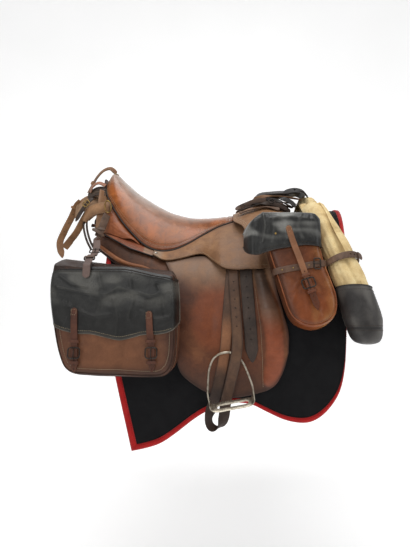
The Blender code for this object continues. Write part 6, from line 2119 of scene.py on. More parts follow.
def wallet_lid(suffix, side):
    at = wallet_frame(side)
    body = "wallet_lid_" + BODY[suffix]
    d = WALLET_DEPTH

    def section(a, t):
        ear = smooth((0.190 - a) / 0.03)
        drop = -0.058 * max(0.0, (0.200 - a) / 0.058) ** 1.5 - 0.013 * max(0.0, (a - 0.330) / 0.024) ** 2
        end = abs(2 * t - 1) ** 4
        low = wallet_lid_low(a)
        return through(
            [
                (0.0035 + drop, 0.001 + 0.030 * ear),
                (0.0050 + drop - 0.003 * end, 0.026 + 0.012 * ear),
                (-0.004 + drop - 0.004 * end, 0.050 + 0.004 * ear),
                (-0.018 + 0.7 * drop - 0.004 * end, d + 0.001 - 0.004 * end),
                (lerp(-0.045, low, 0.45), d + 0.0045 - 0.004 * end),
                (low, d + 0.0045 - 0.004 * end),
            ],
            per=10,
        )

    cache = {}

    def lines(u):
        if u not in cache:
            a = lerp(0.142, 0.3540, u)
            sec = resample(section(a, u), 80)
            g = np.gradient(sec, axis=0)
            n = np.stack([g[:, 1], -g[:, 0]], axis=1)
            n /= np.linalg.norm(n, axis=1, keepdims=True)
            cache[u] = (a, sec, n)
        return cache[u]

    def shape(u, v):
        a, sec, n = lines(u)
        t = np.linspace(0, 1, len(sec))
        q = np.array([np.interp(v, t, sec[:, 0]), np.interp(v, t, sec[:, 1])])
        m = np.array([np.interp(v, t, n[:, 0]), np.interp(v, t, n[:, 1])])
        if m[0] < 0 and v < 0.3:
            m = -m
        k = sum(h * crease((a, q[0]), line, w) for line, w, h in WLID_CREASES) if v > 0.35 else 0.0
        k += 0.0009 * nz(a, q[0], q[1], 30, 7) + 0.0005 * nz(a, q[0], 0, 80, 3)
        # the hollow fold between the lid and its ear
        hollow = 0.0040 * bump1(a, 0.190, 0.013) * smooth((v - 0.40) / 0.2) * smooth((0.92 - v) / 0.3)
        return a, q, m, k, hollow

    def point(u, v):
        a, q, m, k, hollow = shape(u, v)
        r = 0.0035 + k * smooth((1 - v) / 0.06) - hollow
        r = max(r, 0.0020)
        # rounded corners of the ear
        lobe = max(0.0, 1 - (a - 0.142) / 0.030) ** 1.9 * smooth((v - 0.02) / 0.45)
        far = max(0.0, 1 - (0.354 - a) / 0.018) ** 1.9 * smooth((v - 0.10) / 0.35)
        puff = 0.0050 * bump1(a, 0.163, 0.020) * smooth((v - 0.45) / 0.25)
        return at(a, q[0] + m[0] * r, q[1] + m[1] * (r + puff) - 0.026 * lobe - 0.011 * far)

    def look(p, u, v):
        a, q, m, k, hollow = shape(u, v)
        # painted highlights on the crease ridges, a painted grey sheen in broad patches, and painted shade in the
        # hollow fold by the ear
        lit = smooth((k - 0.0004) / 0.0014) * smooth((v - 0.25) / 0.2)
        sheen_patch = smooth((nz(a * 0.8, q[0] * 2.2, 0, 22, 6) + 0.20) / 0.6) * smooth((0.90 - v) / 0.25) * smooth((v - 0.25) / 0.12)
        c = tint(150, 149, 144, 0.60 * sheen_patch)
        c = over(c, tint(116, 115, 110, 0.22 * lit))
        c = over(c, tint(18, 17, 17, 0.85 * min(1, hollow / 0.004)))
        return {"paint": c, "gloss": 0.25 + 0.35 * sheen_patch, "edge": 0.3 * smooth((v - 0.97) / 0.02)}

    made = bent_sheet("wallet_lid_leather" + suffix, point, 96, 64, 0.0032, M["black"], lambda p: at.out + at.up, look, 80, (0.2, 0.17))
    place(made, body, "black_leather", "wallet_lid" + suffix)
    line = [point(k / 90, 1.0) - at.out * 0.0016 - at.up * 0.0006 for k in range(91)]
    place(tube("wallet_lid_piping" + suffix, line, 0.0018, M["piping"], False, 8), body, "black_leather")
    parts = []
    for v in (0.955,):
        row = [point(k / 90, v) + at.out * 0.0003 for k in range(2, 89)]
        parts.append(stitches("s", row, [at.out] * len(row), M["dark_thread"], 0.0028, 0.0018, 0.0004))
    place(joined("wallet_lid_stitches" + suffix, parts), body, "black_leather")
    p = point((0.229 - 0.142) / 0.212, 0.76)
    place(dome("wallet_lid_stud" + suffix, p, at.out, 0.0030, 0.0015, M["brass"], 5, 18), body, "brass")


def wallet_fastening(suffix, side):
    at = wallet_frame(side)
    body = "wallet_lid_" + BODY[suffix]
    o = WALLET_DEPTH + 0.0045 + 0.0035 + 0.0022
    pts = [(0.262, -0.050, o), (0.276, -0.100, o), (0.292, -0.150, o + 0.004), (0.311, -0.210, o + 0.004), (0.331, -0.272, o + 0.0012), (0.3335, -0.280, o + 0.0012)]
    path = through([at(*p) for p in pts], per=6)

    def look(s, w):
        return {"gloss": 0.3 * (1 - abs(w)), "paint": tint(164, 118, 84, 0.45 * (1 - smooth((s - 0.5) / 0.2)))}

    made = strap("wallet_closing_strap" + suffix, path, [at.out] * len(path), BAG_STRAP_WIDTH, 0.0030, M["wallet_strap"], "point", "round", 0.0005, False, 0.003, look, 0.0004)
    run = [float(np.dot(p - at.at, at.up)) for p in path]
    holes = []
    for u in (-0.178, -0.192, -0.247, -0.260):
        i = int(np.argmin([abs(r - u) for r in run]))
        holes.append((path[i], at.out, 0.0015, 0.012))
    punch(made, holes)
    place(made, body, "tan_leather", "wallet_strap" + suffix)
    # buckle, prong and keeper
    i = int(np.argmin([abs(r + 0.215) for r in run]))
    t = unit(path[i + 1] - path[i - 1])
    across = unit(np.cross(at.out, t))
    made = buckle("wallet_buckle" + suffix, path[i] + at.out * 0.0012, across, -t, at.out, 0.034, 0.025, 0.0038, M["iron"])
    place(made, body, "dark_iron")
    i = int(np.argmin([abs(r + 0.237) for r in run]))
    k1 = keeper("k", path[i], t, across, at.out, BAG_STRAP_WIDTH + 0.006, 0.0075, 0.0080, M["wallet_strap"], 0.0020)
    i = int(np.argmin([abs(r + 0.190) for r in run]))
    k2 = keeper("k", path[i], t, across, at.out, BAG_STRAP_WIDTH + 0.006, 0.0060, 0.0080, M["wallet_strap"], 0.0020)
    place(joined("wallet_keepers" + suffix, [k1, k2]), body, "tan_leather")
    # the box of stitches that holds its top
    parts = []
    t = unit(path[2] - path[0])
    across = unit(np.cross(at.out, t))
    c = path[0] + t * 0.010 + at.out * 0.0021
    for (x0, z0), (x1, z1) in (((-0.0062, 0.006), (0.0062, 0.006)), ((-0.0062, -0.008), (0.0062, -0.008)), ((-0.0062, 0.006), (-0.0062, -0.008)), ((0.0062, 0.006), (0.0062, -0.008))):
        line = [c + across * lerp(x0, x1, k / 5) - t * lerp(z0, z1, k / 5) for k in range(6)]
        parts.append(stitches("s", line, [at.out] * 6, M["thread"], 0.0020, 0.0012, 0.0004, 0.0))
    place(joined("wallet_strap_stitches" + suffix, parts), body, "tan_leather")


def wallet_band(suffix, side):
    """The band round the wallet, that the roll's strap buckles to."""
    at = wallet_frame(side)
    o = WALLET_DEPTH + 0.0030
    pts = [(0.221, -0.176, 0.040), (0.2225, -0.176, o - 0.010), (0.232, -0.175, o), (0.262, -0.169, o + 0.0012), (0.300, -0.162, o + 0.0014), (0.330, -0.157, o + 0.0010), (0.352, -0.153, o - 0.0030), (0.3635, -0.151, o - 0.018), (0.3645, -0.151, 0.040)]
    path = [at(*p) for p in pts]
    nn = []
    for k, p in enumerate(path):
        t = path[min(k + 1, len(path) - 1)] - path[max(k - 1, 0)]
        nn.append(np.cross(at.up, t) * (1 if np.dot(np.cross(at.up, t), p - at(0.29, -0.16, 0.03)) > 0 else -1))
    path = through(path, per=6)
    nn = through(nn, per=6)
    made = strap("wallet_band" + suffix, path, nn, 0.018, 0.0026, M["lash"], None, None, 0.0004, False, 0.003, lambda s, w: {"paint": tint(82, 56, 42, 0.65), "gloss": 0.2})
    place(made, "saddle", "strap_leather")
    rivets = []
    for a, u in ((0.2735, -0.167), (0.3150, -0.1595), (0.244, -0.1725)):
        rivets.append(dome("r", at(a, u, o + 0.0026), at.out, 0.0021, 0.0010, M["brass"], 4, 14))
    place(joined("wallet_band_rivets" + suffix, rivets), "saddle", "brass")
    made = buckle("wallet_band_buckle" + suffix, at(0.337, -0.1555, o + 0.0042), at.up, at.x, at.out, 0.029, 0.017, 0.0034, M["iron"])
    place(made, "saddle", "dark_iron")


for suffix, side in SIDES:
    wallet(suffix, side)
    wallet_lid(suffix, side)
    wallet_fastening(suffix, side)
    wallet_band(suffix, side)


def bridge():
    crown = table([(0.115, 0.124), (0.150, 0.140), (0.200, 0.1545), (0.235, 0.153), (0.285, 0.140)])

    def point(u, v):
        s = 2 * v - 1
        x = lerp(0.110 + 0.036 * smooth((abs(s) - 0.50) / 0.50), 0.285, u)
        y = 0.200 * s
        z = crown(max(x, 0.115)) - 0.078 * abs(s) ** 1.9
        z += 0.0012 * nz(x, y, 0, 22, 2) + 0.0008 * crease((x, abs(y)), [(0.150, 0.02), (0.160, 0.09), (0.150, 0.17)], 0.010)
        return x, y, z

    def look(p, u, v):
        return {"paint": tint(150, 116, 92, 0.5 * smooth((0.2 - u) / 0.2)), "edge": 0.3 * smooth((0.03 - min(u, 1 - u)) / 0.02)}

    made = bent_sheet("wallet_yoke", point, 60, 120, 0.0038, M["tan"], lambda p: np.array((0, 0, 1.0)), look, 80, (0.17, 0.42))
    place(made, "saddle", "tan_leather", "wallet_bridge")
    parts = []
    for u in (0.05, 0.09, 0.95):
        row = [np.array(point(u, lerp(0.02, 0.98, k / 100))) + (0, 0, 0.0003) for k in range(101)]
        parts.append(stitches("s", row, [(0, p[1] * 2.5, 1) for p in row], M["thread"], 0.0032, 0.0022, 0.00045))
    place(joined("wallet_yoke_stitches", parts), "saddle", "tan_leather")


bridge()

# ================================================================ cape roll
roll_x = table([(0.160, 0.356), (0.120, 0.362), (0.060, 0.380), (0.000, 0.403), (-0.050, 0.420), (-0.100, 0.436), (-0.140, 0.449), (-0.190, 0.461), (-0.260, 0.470)][::-1])
roll_up = table([(0.0, 0.026), (0.5, 0.034), (0.9, 0.044), (1.3, 0.049), (2.2, 0.050)])
roll_wide = table([(0.0, 0.034), (0.5, 0.038), (0.9, 0.043), (1.3, 0.048), (2.2, 0.050)])


def roll_station(angle, side):
    up, wide = roll_up(angle), roll_wide(angle)
    guess = arc(0.42, angle, 0.0135 + up)
    x = roll_x(guess[2])
    _, y, z = arc(x, angle, 0.0135 + up)
    n = side_normal(x, max(z, -0.28), 0.0, 1) if angle > 0.02 else np.array((0, 0, 1.0))
    return np.array((x, side * y, z)), unit((0, side * n[1], n[2])), wide, up


CAP_START = 1.17
FOLD = 0.26


def roll_folds(phi, th, side):
    """How far the canvas is drawn in at a place on the roll, 0 to 1."""
    t = th * side
    drift = 0.9 * nz(t * 2.2, 0, 0, 1.0, 2) + 0.35 * nz(t * 6.0, 0, 0, 1.0, 4)
    f = 0.0
    for k, (m, ph, w) in enumerate(((3, 0.3, 0.40), (6, 1.9, 0.36), (10, 0.8, 0.24))):
        s = 0.5 + 0.5 * math.sin(m * phi + ph + 2.2 * drift * (1 + 0.3 * k) + 0.8 * side)
        amp = 0.35 + 0.65 * smooth((nz(t * 3.0 + k * 7, phi * 0.8, 0, 1.0, 6) + 0.35) / 0.7)
        f += w * (1 - s**0.55) * amp
    # gathered hard towards the pommel and under the strap
    gather = smooth((0.55 - th) / 0.45) * 0.55 + bump1(th, 0.98, 0.30) * 0.40
    g = 0.5 + 0.5 * math.sin(17 * phi + 4 * drift)
    f = f * (0.75 + 0.5 * gather) + 0.30 * gather * g
    return min(1.0, f)


def roll_ring(th, side, count=96, swell=0.0, shrink=1.0, fold=1.0, dent=None):
    c, n, wide, up = roll_station(th, side)
    ring = []
    for k in range(count):
        phi = 2 * math.pi * k / count
        f = roll_folds(phi, th, side) * fold
        r = shrink * (1 - FOLD * f + 0.020)
        r *= 1 - 0.055 * bump1(th, 0.98, 0.055) * (1 if fold else 0)
        r *= 1 + 0.030 * bump1(th, 1.08, 0.07) * fold + 0.02 * bump1(th, 0.86, 0.08) * fold
        if dent:
            r *= dent(phi)
        cx, cn = math.cos(phi), math.sin(phi)
        e = 0.94
        ring.append(c + np.array((1.0, 0, 0)) * (wide * r + swell) * math.copysign(abs(cx) ** e, cx) + n * (up * r + swell) * math.copysign(abs(cn) ** e, cn))
    return ring


def cape_roll():
    angles = np.linspace(-CAP_START - 0.006, CAP_START + 0.006, 260)
    rings, looks, surf = [], [], []
    for i, a in enumerate(angles):
        side = -1 if a < 0 else 1
        th = abs(a)
        if th < 0.04:
            # blend the two halves over the top
            A, B = roll_ring(th, -1), roll_ring(th, 1)
            w = smooth((a + 0.04) / 0.08)
            B2 = B
            ring = [lerp(p, q, w) for p, q in zip(A, B2)]
        else:
            ring = roll_ring(th, side)
        rings.append(ring)
        for k in range(len(ring)):
            phi = 2 * math.pi * k / len(ring)
            f = roll_folds(phi, th, side)
            # painted shade deep in the folds; the canvas between them is kept paler
            dark = smooth((f - 0.28) / 0.40)
            looks.append({"paint": over(tint(222, 200, 156, 0.35 * smooth((0.30 - f) / 0.25)), tint(126, 98, 58, 0.55 * dark))})
            surf.append((phi * 0.048, a * 0.42, 0.0))
    made = lofted("rolled_cape", rings, M["canvas"], False, looks, 180, surf)
    place(made, "saddle", "canvas", "cape_roll")
    # the lapped free edge of the canvas along the roll, with its hem
    for side in (-1, 1):
        phi0 = math.radians(62)
        line, nn = [], []
        for k in range(70):
            th = lerp(0.12, CAP_START - 0.01, k / 69)
            c, n, wide, up = roll_station(th, side)
            phi = phi0 + 0.10 * math.sin(th * 9)
            r = 1 - FOLD * roll_folds(phi, th, side) + 0.020
            r *= 1 - 0.055 * bump1(th, 0.98, 0.055)
            out = np.array((1.0, 0, 0)) * math.cos(phi) + n * math.sin(phi)
            line.append(c + np.array((1.0, 0, 0)) * wide * r * math.cos(phi) + n * up * r * math.sin(phi) + out * 0.0006)
            nn.append(out)
        made = strap("cape_hem" + ("_r" if side < 0 else "_l"), line, nn, 0.020, 0.0020, M["canvas"], None, None, 0.0002)
        place(made, "saddle", "canvas")


cape_roll()


def roll_cap(suffix, side):
    shrink_t = table([(CAP_START - 0.03, 1.0), (1.30, 1.0), (1.37, 0.975), (1.42, 0.88), (1.45, 0.66), (1.462, 0.36), (1.466, 0.10)])
    ths = np.concatenate([np.linspace(CAP_START - 0.012, 1.36, 34), np.linspace(1.365, 1.45, 18), np.linspace(1.453, 1.466, 8)])

    def dent(th):
        def go(phi):
            d = 1 - 0.075 * bump1(th, 1.41, 0.08) * (0.5 + 0.5 * math.sin(2 * phi + 1.0)) - 0.035 * bump1(th, 1.355, 0.03) * (0.5 + 0.5 * math.sin(3 * phi - 0.6))
            d *= 1 - 0.030 * bump1(th, 1.24, 0.05) * max(0.0, math.sin(phi * 2 - 0.4))
            d *= 1 + 0.012 * nz(math.cos(phi) * 1.5, math.sin(phi) * 1.5, th * 8, 1.0, 3)
            d *= 1 - 0.014 * bump1(th, 1.378, 0.010)
            return d

        return go

    rings, looks = [], []
    for th in ths:
        ring = roll_ring(th, side, 72, 0.0022, shrink_t(th), 0.0, dent(th))
        rings.append(ring)
        for k in range(len(ring)):
            seam = bump1(th, 1.378, 0.010)
            phi = 2 * math.pi * k / len(ring)
            # a painted grey sheen in soft patches over the black leather
            sheen_patch = smooth((nz(math.cos(phi) * 1.4, math.sin(phi) * 1.4, th * 7, 1.0, 5) + 0.12) / 0.5)
            looks.append({"edge": 0.7 * seam, "gloss": 0.1 + 0.25 * sheen_patch, "paint": tint(122, 118, 112, 0.42 * sheen_patch * (1 - seam))})
    made = lofted("cape_end_cap" + suffix, rings, M["cap"], False, looks, 60)
    place(made, "saddle", "black_leather", "roll_cap" + suffix)
    # bound top edge and the two seams
    parts = []
    top = roll_ring(CAP_START - 0.010, side, 72, 0.0030, 1.0, 0.0)
    parts.append(tube("t", top, 0.0014, M["cap"], True, 8))
    place(joined("cape_cap_binding" + suffix, parts), "saddle", "black_leather")
    rows = []
    for th in (CAP_START + 0.012, 1.366, 1.390):
        ring = roll_ring(th, side, 72, 0.0026, shrink_t(th), 0.0, dent(th))
        c = roll_station(th, side)[0]
        rows.append(stitches("s", ring + ring[:1], [p - c for p in ring + ring[:1]], M["dark_thread"], 0.0032, 0.0022, 0.00045))
    place(joined("cape_cap_stitches" + suffix, rows), "saddle", "black_leather")


for suffix, side in SIDES:
    roll_cap(suffix, side)


def roll_strap(suffix, side):
    angle = 0.98
    c, n, wide, up = roll_station(angle, side)
    path, normals = [], []
    for k in range(60):
        a = 2 * math.pi * k / 60
        c, n, wide, up = roll_station(angle - 0.010 + 0.045 * (1 - math.cos(a)) / 2, side)
        out = unit(np.array((1.0, 0, 0)) * math.cos(a) * up + n * math.sin(a) * wide)
        path.append(c + np.array((1.0, 0, 0)) * (wide + 0.0046) * math.cos(a) + n * (up + 0.0046) * math.sin(a))
        normals.append(out)
    made = strap("cape_strap" + suffix, path, normals, 0.019, 0.0030, M["lash"], None, None, 0.0005, True, 0.003)
    # holes on its outer face
    holes = []
    for deg in (40, 56, 72):
        a = math.radians(deg)
        c, n, wide, up = roll_station(angle - 0.010 + 0.045 * (1 - math.cos(a)) / 2, side)
        at = c + np.array((1.0, 0, 0)) * (wide + 0.0046) * math.cos(a) + n * (up + 0.0046) * math.sin(a)
        holes.append((at, unit(np.array((1.0, 0, 0)) * math.cos(a) * up + n * math.sin(a) * wide), 0.0019, 0.010))
    punch(made, holes)
    place(made, "saddle", "strap_leather", "roll_strap" + suffix)
    # its curled free end
    tip, nn = [], []
    for k in range(9):
        a = math.radians(lerp(40, 14, k / 8))
        c, n, wide, up = roll_station(angle - 0.010 + 0.045 * (1 - math.cos(a)) / 2, side)
        r = 0.0086 + 0.0045 * (k / 8) ** 2
        tip.append(c + np.array((1.0, 0, 0)) * (wide + r) * math.cos(a) + n * (up + r) * math.sin(a))
        nn.append(unit(np.array((1.0, 0, 0)) * math.cos(a) * up + n * math.sin(a) * wide))
    tip.append(tip[-1] + (tip[-1] - tip[-2]) * 0.5)
    nn.append(nn[-1])
    made = strap("cape_strap_end" + suffix, tip, nn, 0.018, 0.0026, M["lash"], "round", None, 0.0004, False, 0.003)
    place(made, "saddle", "strap_leather")


for suffix, side in SIDES:
    roll_strap(suffix, side)


def pommel_cover():
    crown = table([(0.170, 0.166), (0.195, 0.192), (0.240, 0.198), (0.296, 0.2015), (0.320, 0.208), (0.338, 0.203), (0.350, 0.190)])

    def point(u, v):
        x = lerp(0.170, 0.350, u)
        s = 2 * v - 1
        # the corners are rounded
        trim = 1 - 0.22 * max(0.0, 1 - u / 0.10) ** 2 - 0.22 * max(0.0, 1 - (1 - u) / 0.10) ** 2
        y = 0.075 * s * trim
        z = crown(x) - 0.014 * abs(s) ** 2
        z += 0.0011 * nz(x, y, 0, 30, 5) + 0.0010 * crease((x, y), [(0.19, -0.05), (0.25, -0.03), (0.33, -0.045)], 0.010)
        z += 0.0010 * crease((x, y), [(0.20, 0.02), (0.27, 0.035), (0.33, 0.02)], 0.010)
        return x, y, z

    def look(p, u, v):
        return {"paint": tint(88, 86, 82, 0.40 * smooth((nz(p[0], p[1], 0, 26, 3)) / 0.5)), "gloss": 0.2}

    made = bent_sheet("pommel_cover_leather", point, 70, 60, 0.0042, M["cap"], lambda p: np.array((0, 0, 1.0)), look, 80, (0.18, 0.15))
    place(made, "saddle", "black_leather", "pommel_cover")
    parts = []
    border = [point(k / 60, 0.0) for k in range(61)] + [point(1.0, k / 30) for k in range(1, 31)] + [point(1 - k / 60, 1.0) for k in range(1, 61)] + [point(0.0, 1 - k / 30) for k in range(1, 30)]
    parts.append(tube("t", [(x, y, z - 0.0020) for x, y, z in resample(border, 180, True)], 0.0023, M["piping"], True, 8))
    place(joined("pommel_cover_piping", parts), "saddle", "black_leather")
    row = [np.array(point(lerp(0.05, 0.95, k / 60), 0.05)) + (0, 0, 0.0003) for k in range(61)]
    row2 = [np.array(point(lerp(0.05, 0.95, k / 60), 0.95)) + (0, 0, 0.0003) for k in range(61)]
    parts = [stitches("s", r, [(0, 0, 1)] * 61, M["dark_thread"]) for r in (row, row2)]
    place(joined("pommel_cover_stitches", parts), "saddle", "black_leather")
    # the raised round tab at its front, with a hole through it
    path = through([(0.272, -0.064, 0.186), (0.290, -0.071, 0.1915), (0.304, -0.074, 0.1935), (0.316, -0.0745, 0.1925), (0.326, -0.074, 0.1895)], per=6)
    made = strap("pommel_tab", path, [(0, -0.75, 0.66)] * len(path), 0.023, 0.0050, M["cap"], "round", "round", 0.0014, False, 0.0022)
    punch(made, [(np.array(path[13]), np.array((0, -0.75, 0.66)), 0.0034, 0.016)])
    place(made, "saddle", "black_leather")


pommel_cover()


def lash_bunch():
    """The bunched lashing straps between the seat and the wallets, with their buckles."""
    dark, pale, metal_parts = [], [], []
    for side in (-1, 1):
        runs = [
            ([(0.118, 0.086, 0.1330), (0.150, 0.089, 0.1470), (0.195, 0.090, 0.1610), (0.245, 0.090, 0.1560), (0.296, 0.088, 0.1370)], 0.015, 2.2, dark, "lash"),
            ([(0.124, 0.101, 0.1240), (0.160, 0.102, 0.1370), (0.204, 0.101, 0.1500), (0.250, 0.101, 0.1430), (0.290, 0.104, 0.1240)], 0.014, -1.8, dark, "girth"),
            ([(0.176, 0.076, 0.1660), (0.214, 0.079, 0.1750), (0.256, 0.080, 0.1740), (0.292, 0.079, 0.1700), (0.330, 0.076, 0.1640)], 0.013, 2.8, pale, "tan"),
            ([(0.130, 0.110, 0.1210), (0.170, 0.110, 0.1300), (0.214, 0.109, 0.1390), (0.256, 0.112, 0.1310)], 0.013, 1.2, dark, "lash"),
            ([(0.214, 0.092, 0.1650), (0.240, 0.098, 0.1610), (0.268, 0.104, 0.1520), (0.298, 0.108, 0.1360)], 0.012, -2.4, dark, "piping"),
            ([(0.170, 0.096, 0.1480), (0.206, 0.104, 0.1500), (0.238, 0.107, 0.1480), (0.280, 0.109, 0.1310)], 0.012, 3.1, dark, "girth"),
            ([(0.256, 0.084, 0.1690), (0.276, 0.090, 0.1640), (0.296, 0.096, 0.1520), (0.304, 0.100, 0.1380)], 0.014, 1.6, dark, "cap"),
        ]
        for k, (pts, width, twist, keep, mat) in enumerate(runs):
            path = through([(x, side * y, z) for x, y, z in pts], per=10)
            n = len(path)
            nn = []
            for i in range(n):
                a = twist * math.sin(i / n * math.pi * 1.3 + k)
                nn.append(np.array((0.0, side * (0.7 * math.cos(a * 0.5)), math.cos(a * 0.5))) + np.array((0, side * 0.6 * math.sin(a), -0.5 * math.sin(a))))
            keep.append(strap("l", path, nn, width, 0.0028, M[mat], "round", "round", 0.0004, False, 0.003, None, 0.001))
        for at, tilt in (((0.142, 0.098, 0.1400), 0.9), ((0.232, 0.104, 0.1560), -0.5)):
            c = np.array((at[0], side * at[1], at[2]))
            out = unit((0.1, side * 0.75, 0.65))
            ax = unit(np.cross(out, (math.sin(tilt), 0, math.cos(tilt))))
            metal_parts.append(buckle("b", c + out * 0.002, ax, unit(np.cross(out, ax)), out, 0.017, 0.015, 0.0026, M["iron"]))
    place(joined("lash_straps", dark + pale), "saddle", "strap_leather")
    place(joined("lash_buckles", metal_parts), "saddle", "dark_iron")


lash_bunch()

# ================================================================ straps at the cantle


def cantle_straps():
    points = [(-0.278, 0.0, 0.2590), (-0.297, 0.0, 0.2755), (-0.321, 0.0, 0.268), (-0.343, 0.0, 0.245), (-0.360, 0.0, 0.215), (-0.372, 0.0, 0.194)]
    line = through(points, per=8)
    normals = []
    for k in range(len(line)):
        t = unit(line[min(k + 1, len(line) - 1)] - line[max(k - 1, 0)])
        normals.append((t[2], -0.62, -t[0]))

    def look(s, w):
        return {"paint": tint(112, 76, 52, 0.65 * (1 - abs(w) ** 3)), "gloss": 0.2}

    made = strap("cantle_loop", line, normals, 0.022, 0.0034, M["tan"], None, "round", 0.0005, False, 0.003, look)
    place(made, "saddle", "tan_leather", "cantle_strap")
    i = int(len(line) * 0.72)
    t = unit(line[i + 1] - line[i - 1])
    k1 = keeper("cantle_loop_keeper", line[i], t, np.cross(t, unit(normals[i])), normals[i], 0.028, 0.013, 0.0098, M["tan"], 0.0024)
    place(k1, "saddle", "tan_leather")
    rows = []
    for sgn in (-1, 1):
        row = []
        for k in range(2, len(line) - 2):
            t = unit(line[k + 1] - line[k - 1])
            n = unit(normals[k])
            row.append(line[k] + unit(np.cross(t, n)) * sgn * 0.0088 + n * 0.0019)
        rows.append(stitches("s", row, normals[2:-2], M["thread"], 0.0028, 0.0020, 0.0004))
    place(joined("cantle_loop_stitches", rows), "saddle", "tan_leather")

    # the second loop behind the cantle, and the straps folded together under it
    def rosy(s, w):
        return {"paint": tint(164, 112, 94, 0.6), "gloss": 0.2}

    pts = [(-0.352, -0.040, 0.190), (-0.345, -0.042, 0.2095), (-0.325, -0.042, 0.2220), (-0.303, -0.040, 0.2140)]
    line = through(pts, per=9)
    nn = []
    for k in range(len(line)):
        t = unit(line[min(k + 1, len(line) - 1)] - line[max(k - 1, 0)])
        nn.append((-t[2], -0.7, t[0]))
    made = strap("cantle_loop_side", line, nn, 0.017, 0.0030, M["tan"], None, "round", 0.0004, False, 0.003, rosy)
    place(made, "saddle", "tan_leather")
    parts = []
    for k, (y0, z, w, mat) in enumerate(((-0.046, 0.2020, 0.014, "girth"), (-0.050, 0.1935, 0.015, "strap"), (-0.034, 0.2065, 0.013, "lash"), (-0.054, 0.1850, 0.015, "girth"), (0.046, 0.200, 0.015, "girth"), (0.050, 0.190, 0.015, "strap"))):
        side = -1 if y0 < 0 else 1
        path = through([(-0.301, y0, z - 0.004), (-0.318, y0 - side * 0.002, z + 0.001), (-0.336, y0 - side * 0.006, z - 0.001), (-0.352, y0 - side * 0.012, z - 0.010), (-0.362, y0 - side * 0.018, z - 0.022)], per=8)
        parts.append(strap("d", path, [(0.15, side * (0.75 + 0.1 * math.sin(k * 2.1)), 0.6)] * len(path), w, 0.0030, M[mat], "round", "round", 0.0005, False, 0.003, None, 0.0006))
    place(joined("cantle_cross_straps", parts), "saddle", "strap_leather")


cantle_straps()


def fan_point(u, v):
    t, s = u, 2 * v - 1
    y = lerp(0.084, 0.072, t) * s
    x = lerp(-0.313, -0.404, t) + 0.012 * s * s * t
    z = lerp(0.176, 0.162, t) + 0.019 * math.sin(math.pi * t) - lerp(0.058, 0.056, t) * abs(s) ** 1.9
    z += 0.0016 * nz(x, y, 0, 30, 5)
    z += 0.0022 * crease((x, y), [(-0.320, 0.0), (-0.390, -0.02)], 0.010) + 0.0020 * crease((x, y), [(-0.320, -0.034), (-0.388, -0.045)], 0.008)
    z -= 0.0022 * crease((x, y), [(-0.320, -0.020), (-0.392, -0.034)], 0.007) + 0.0018 * crease((x, y), [(-0.318, 0.030), (-0.390, 0.030)], 0.008)
    return x, y, z


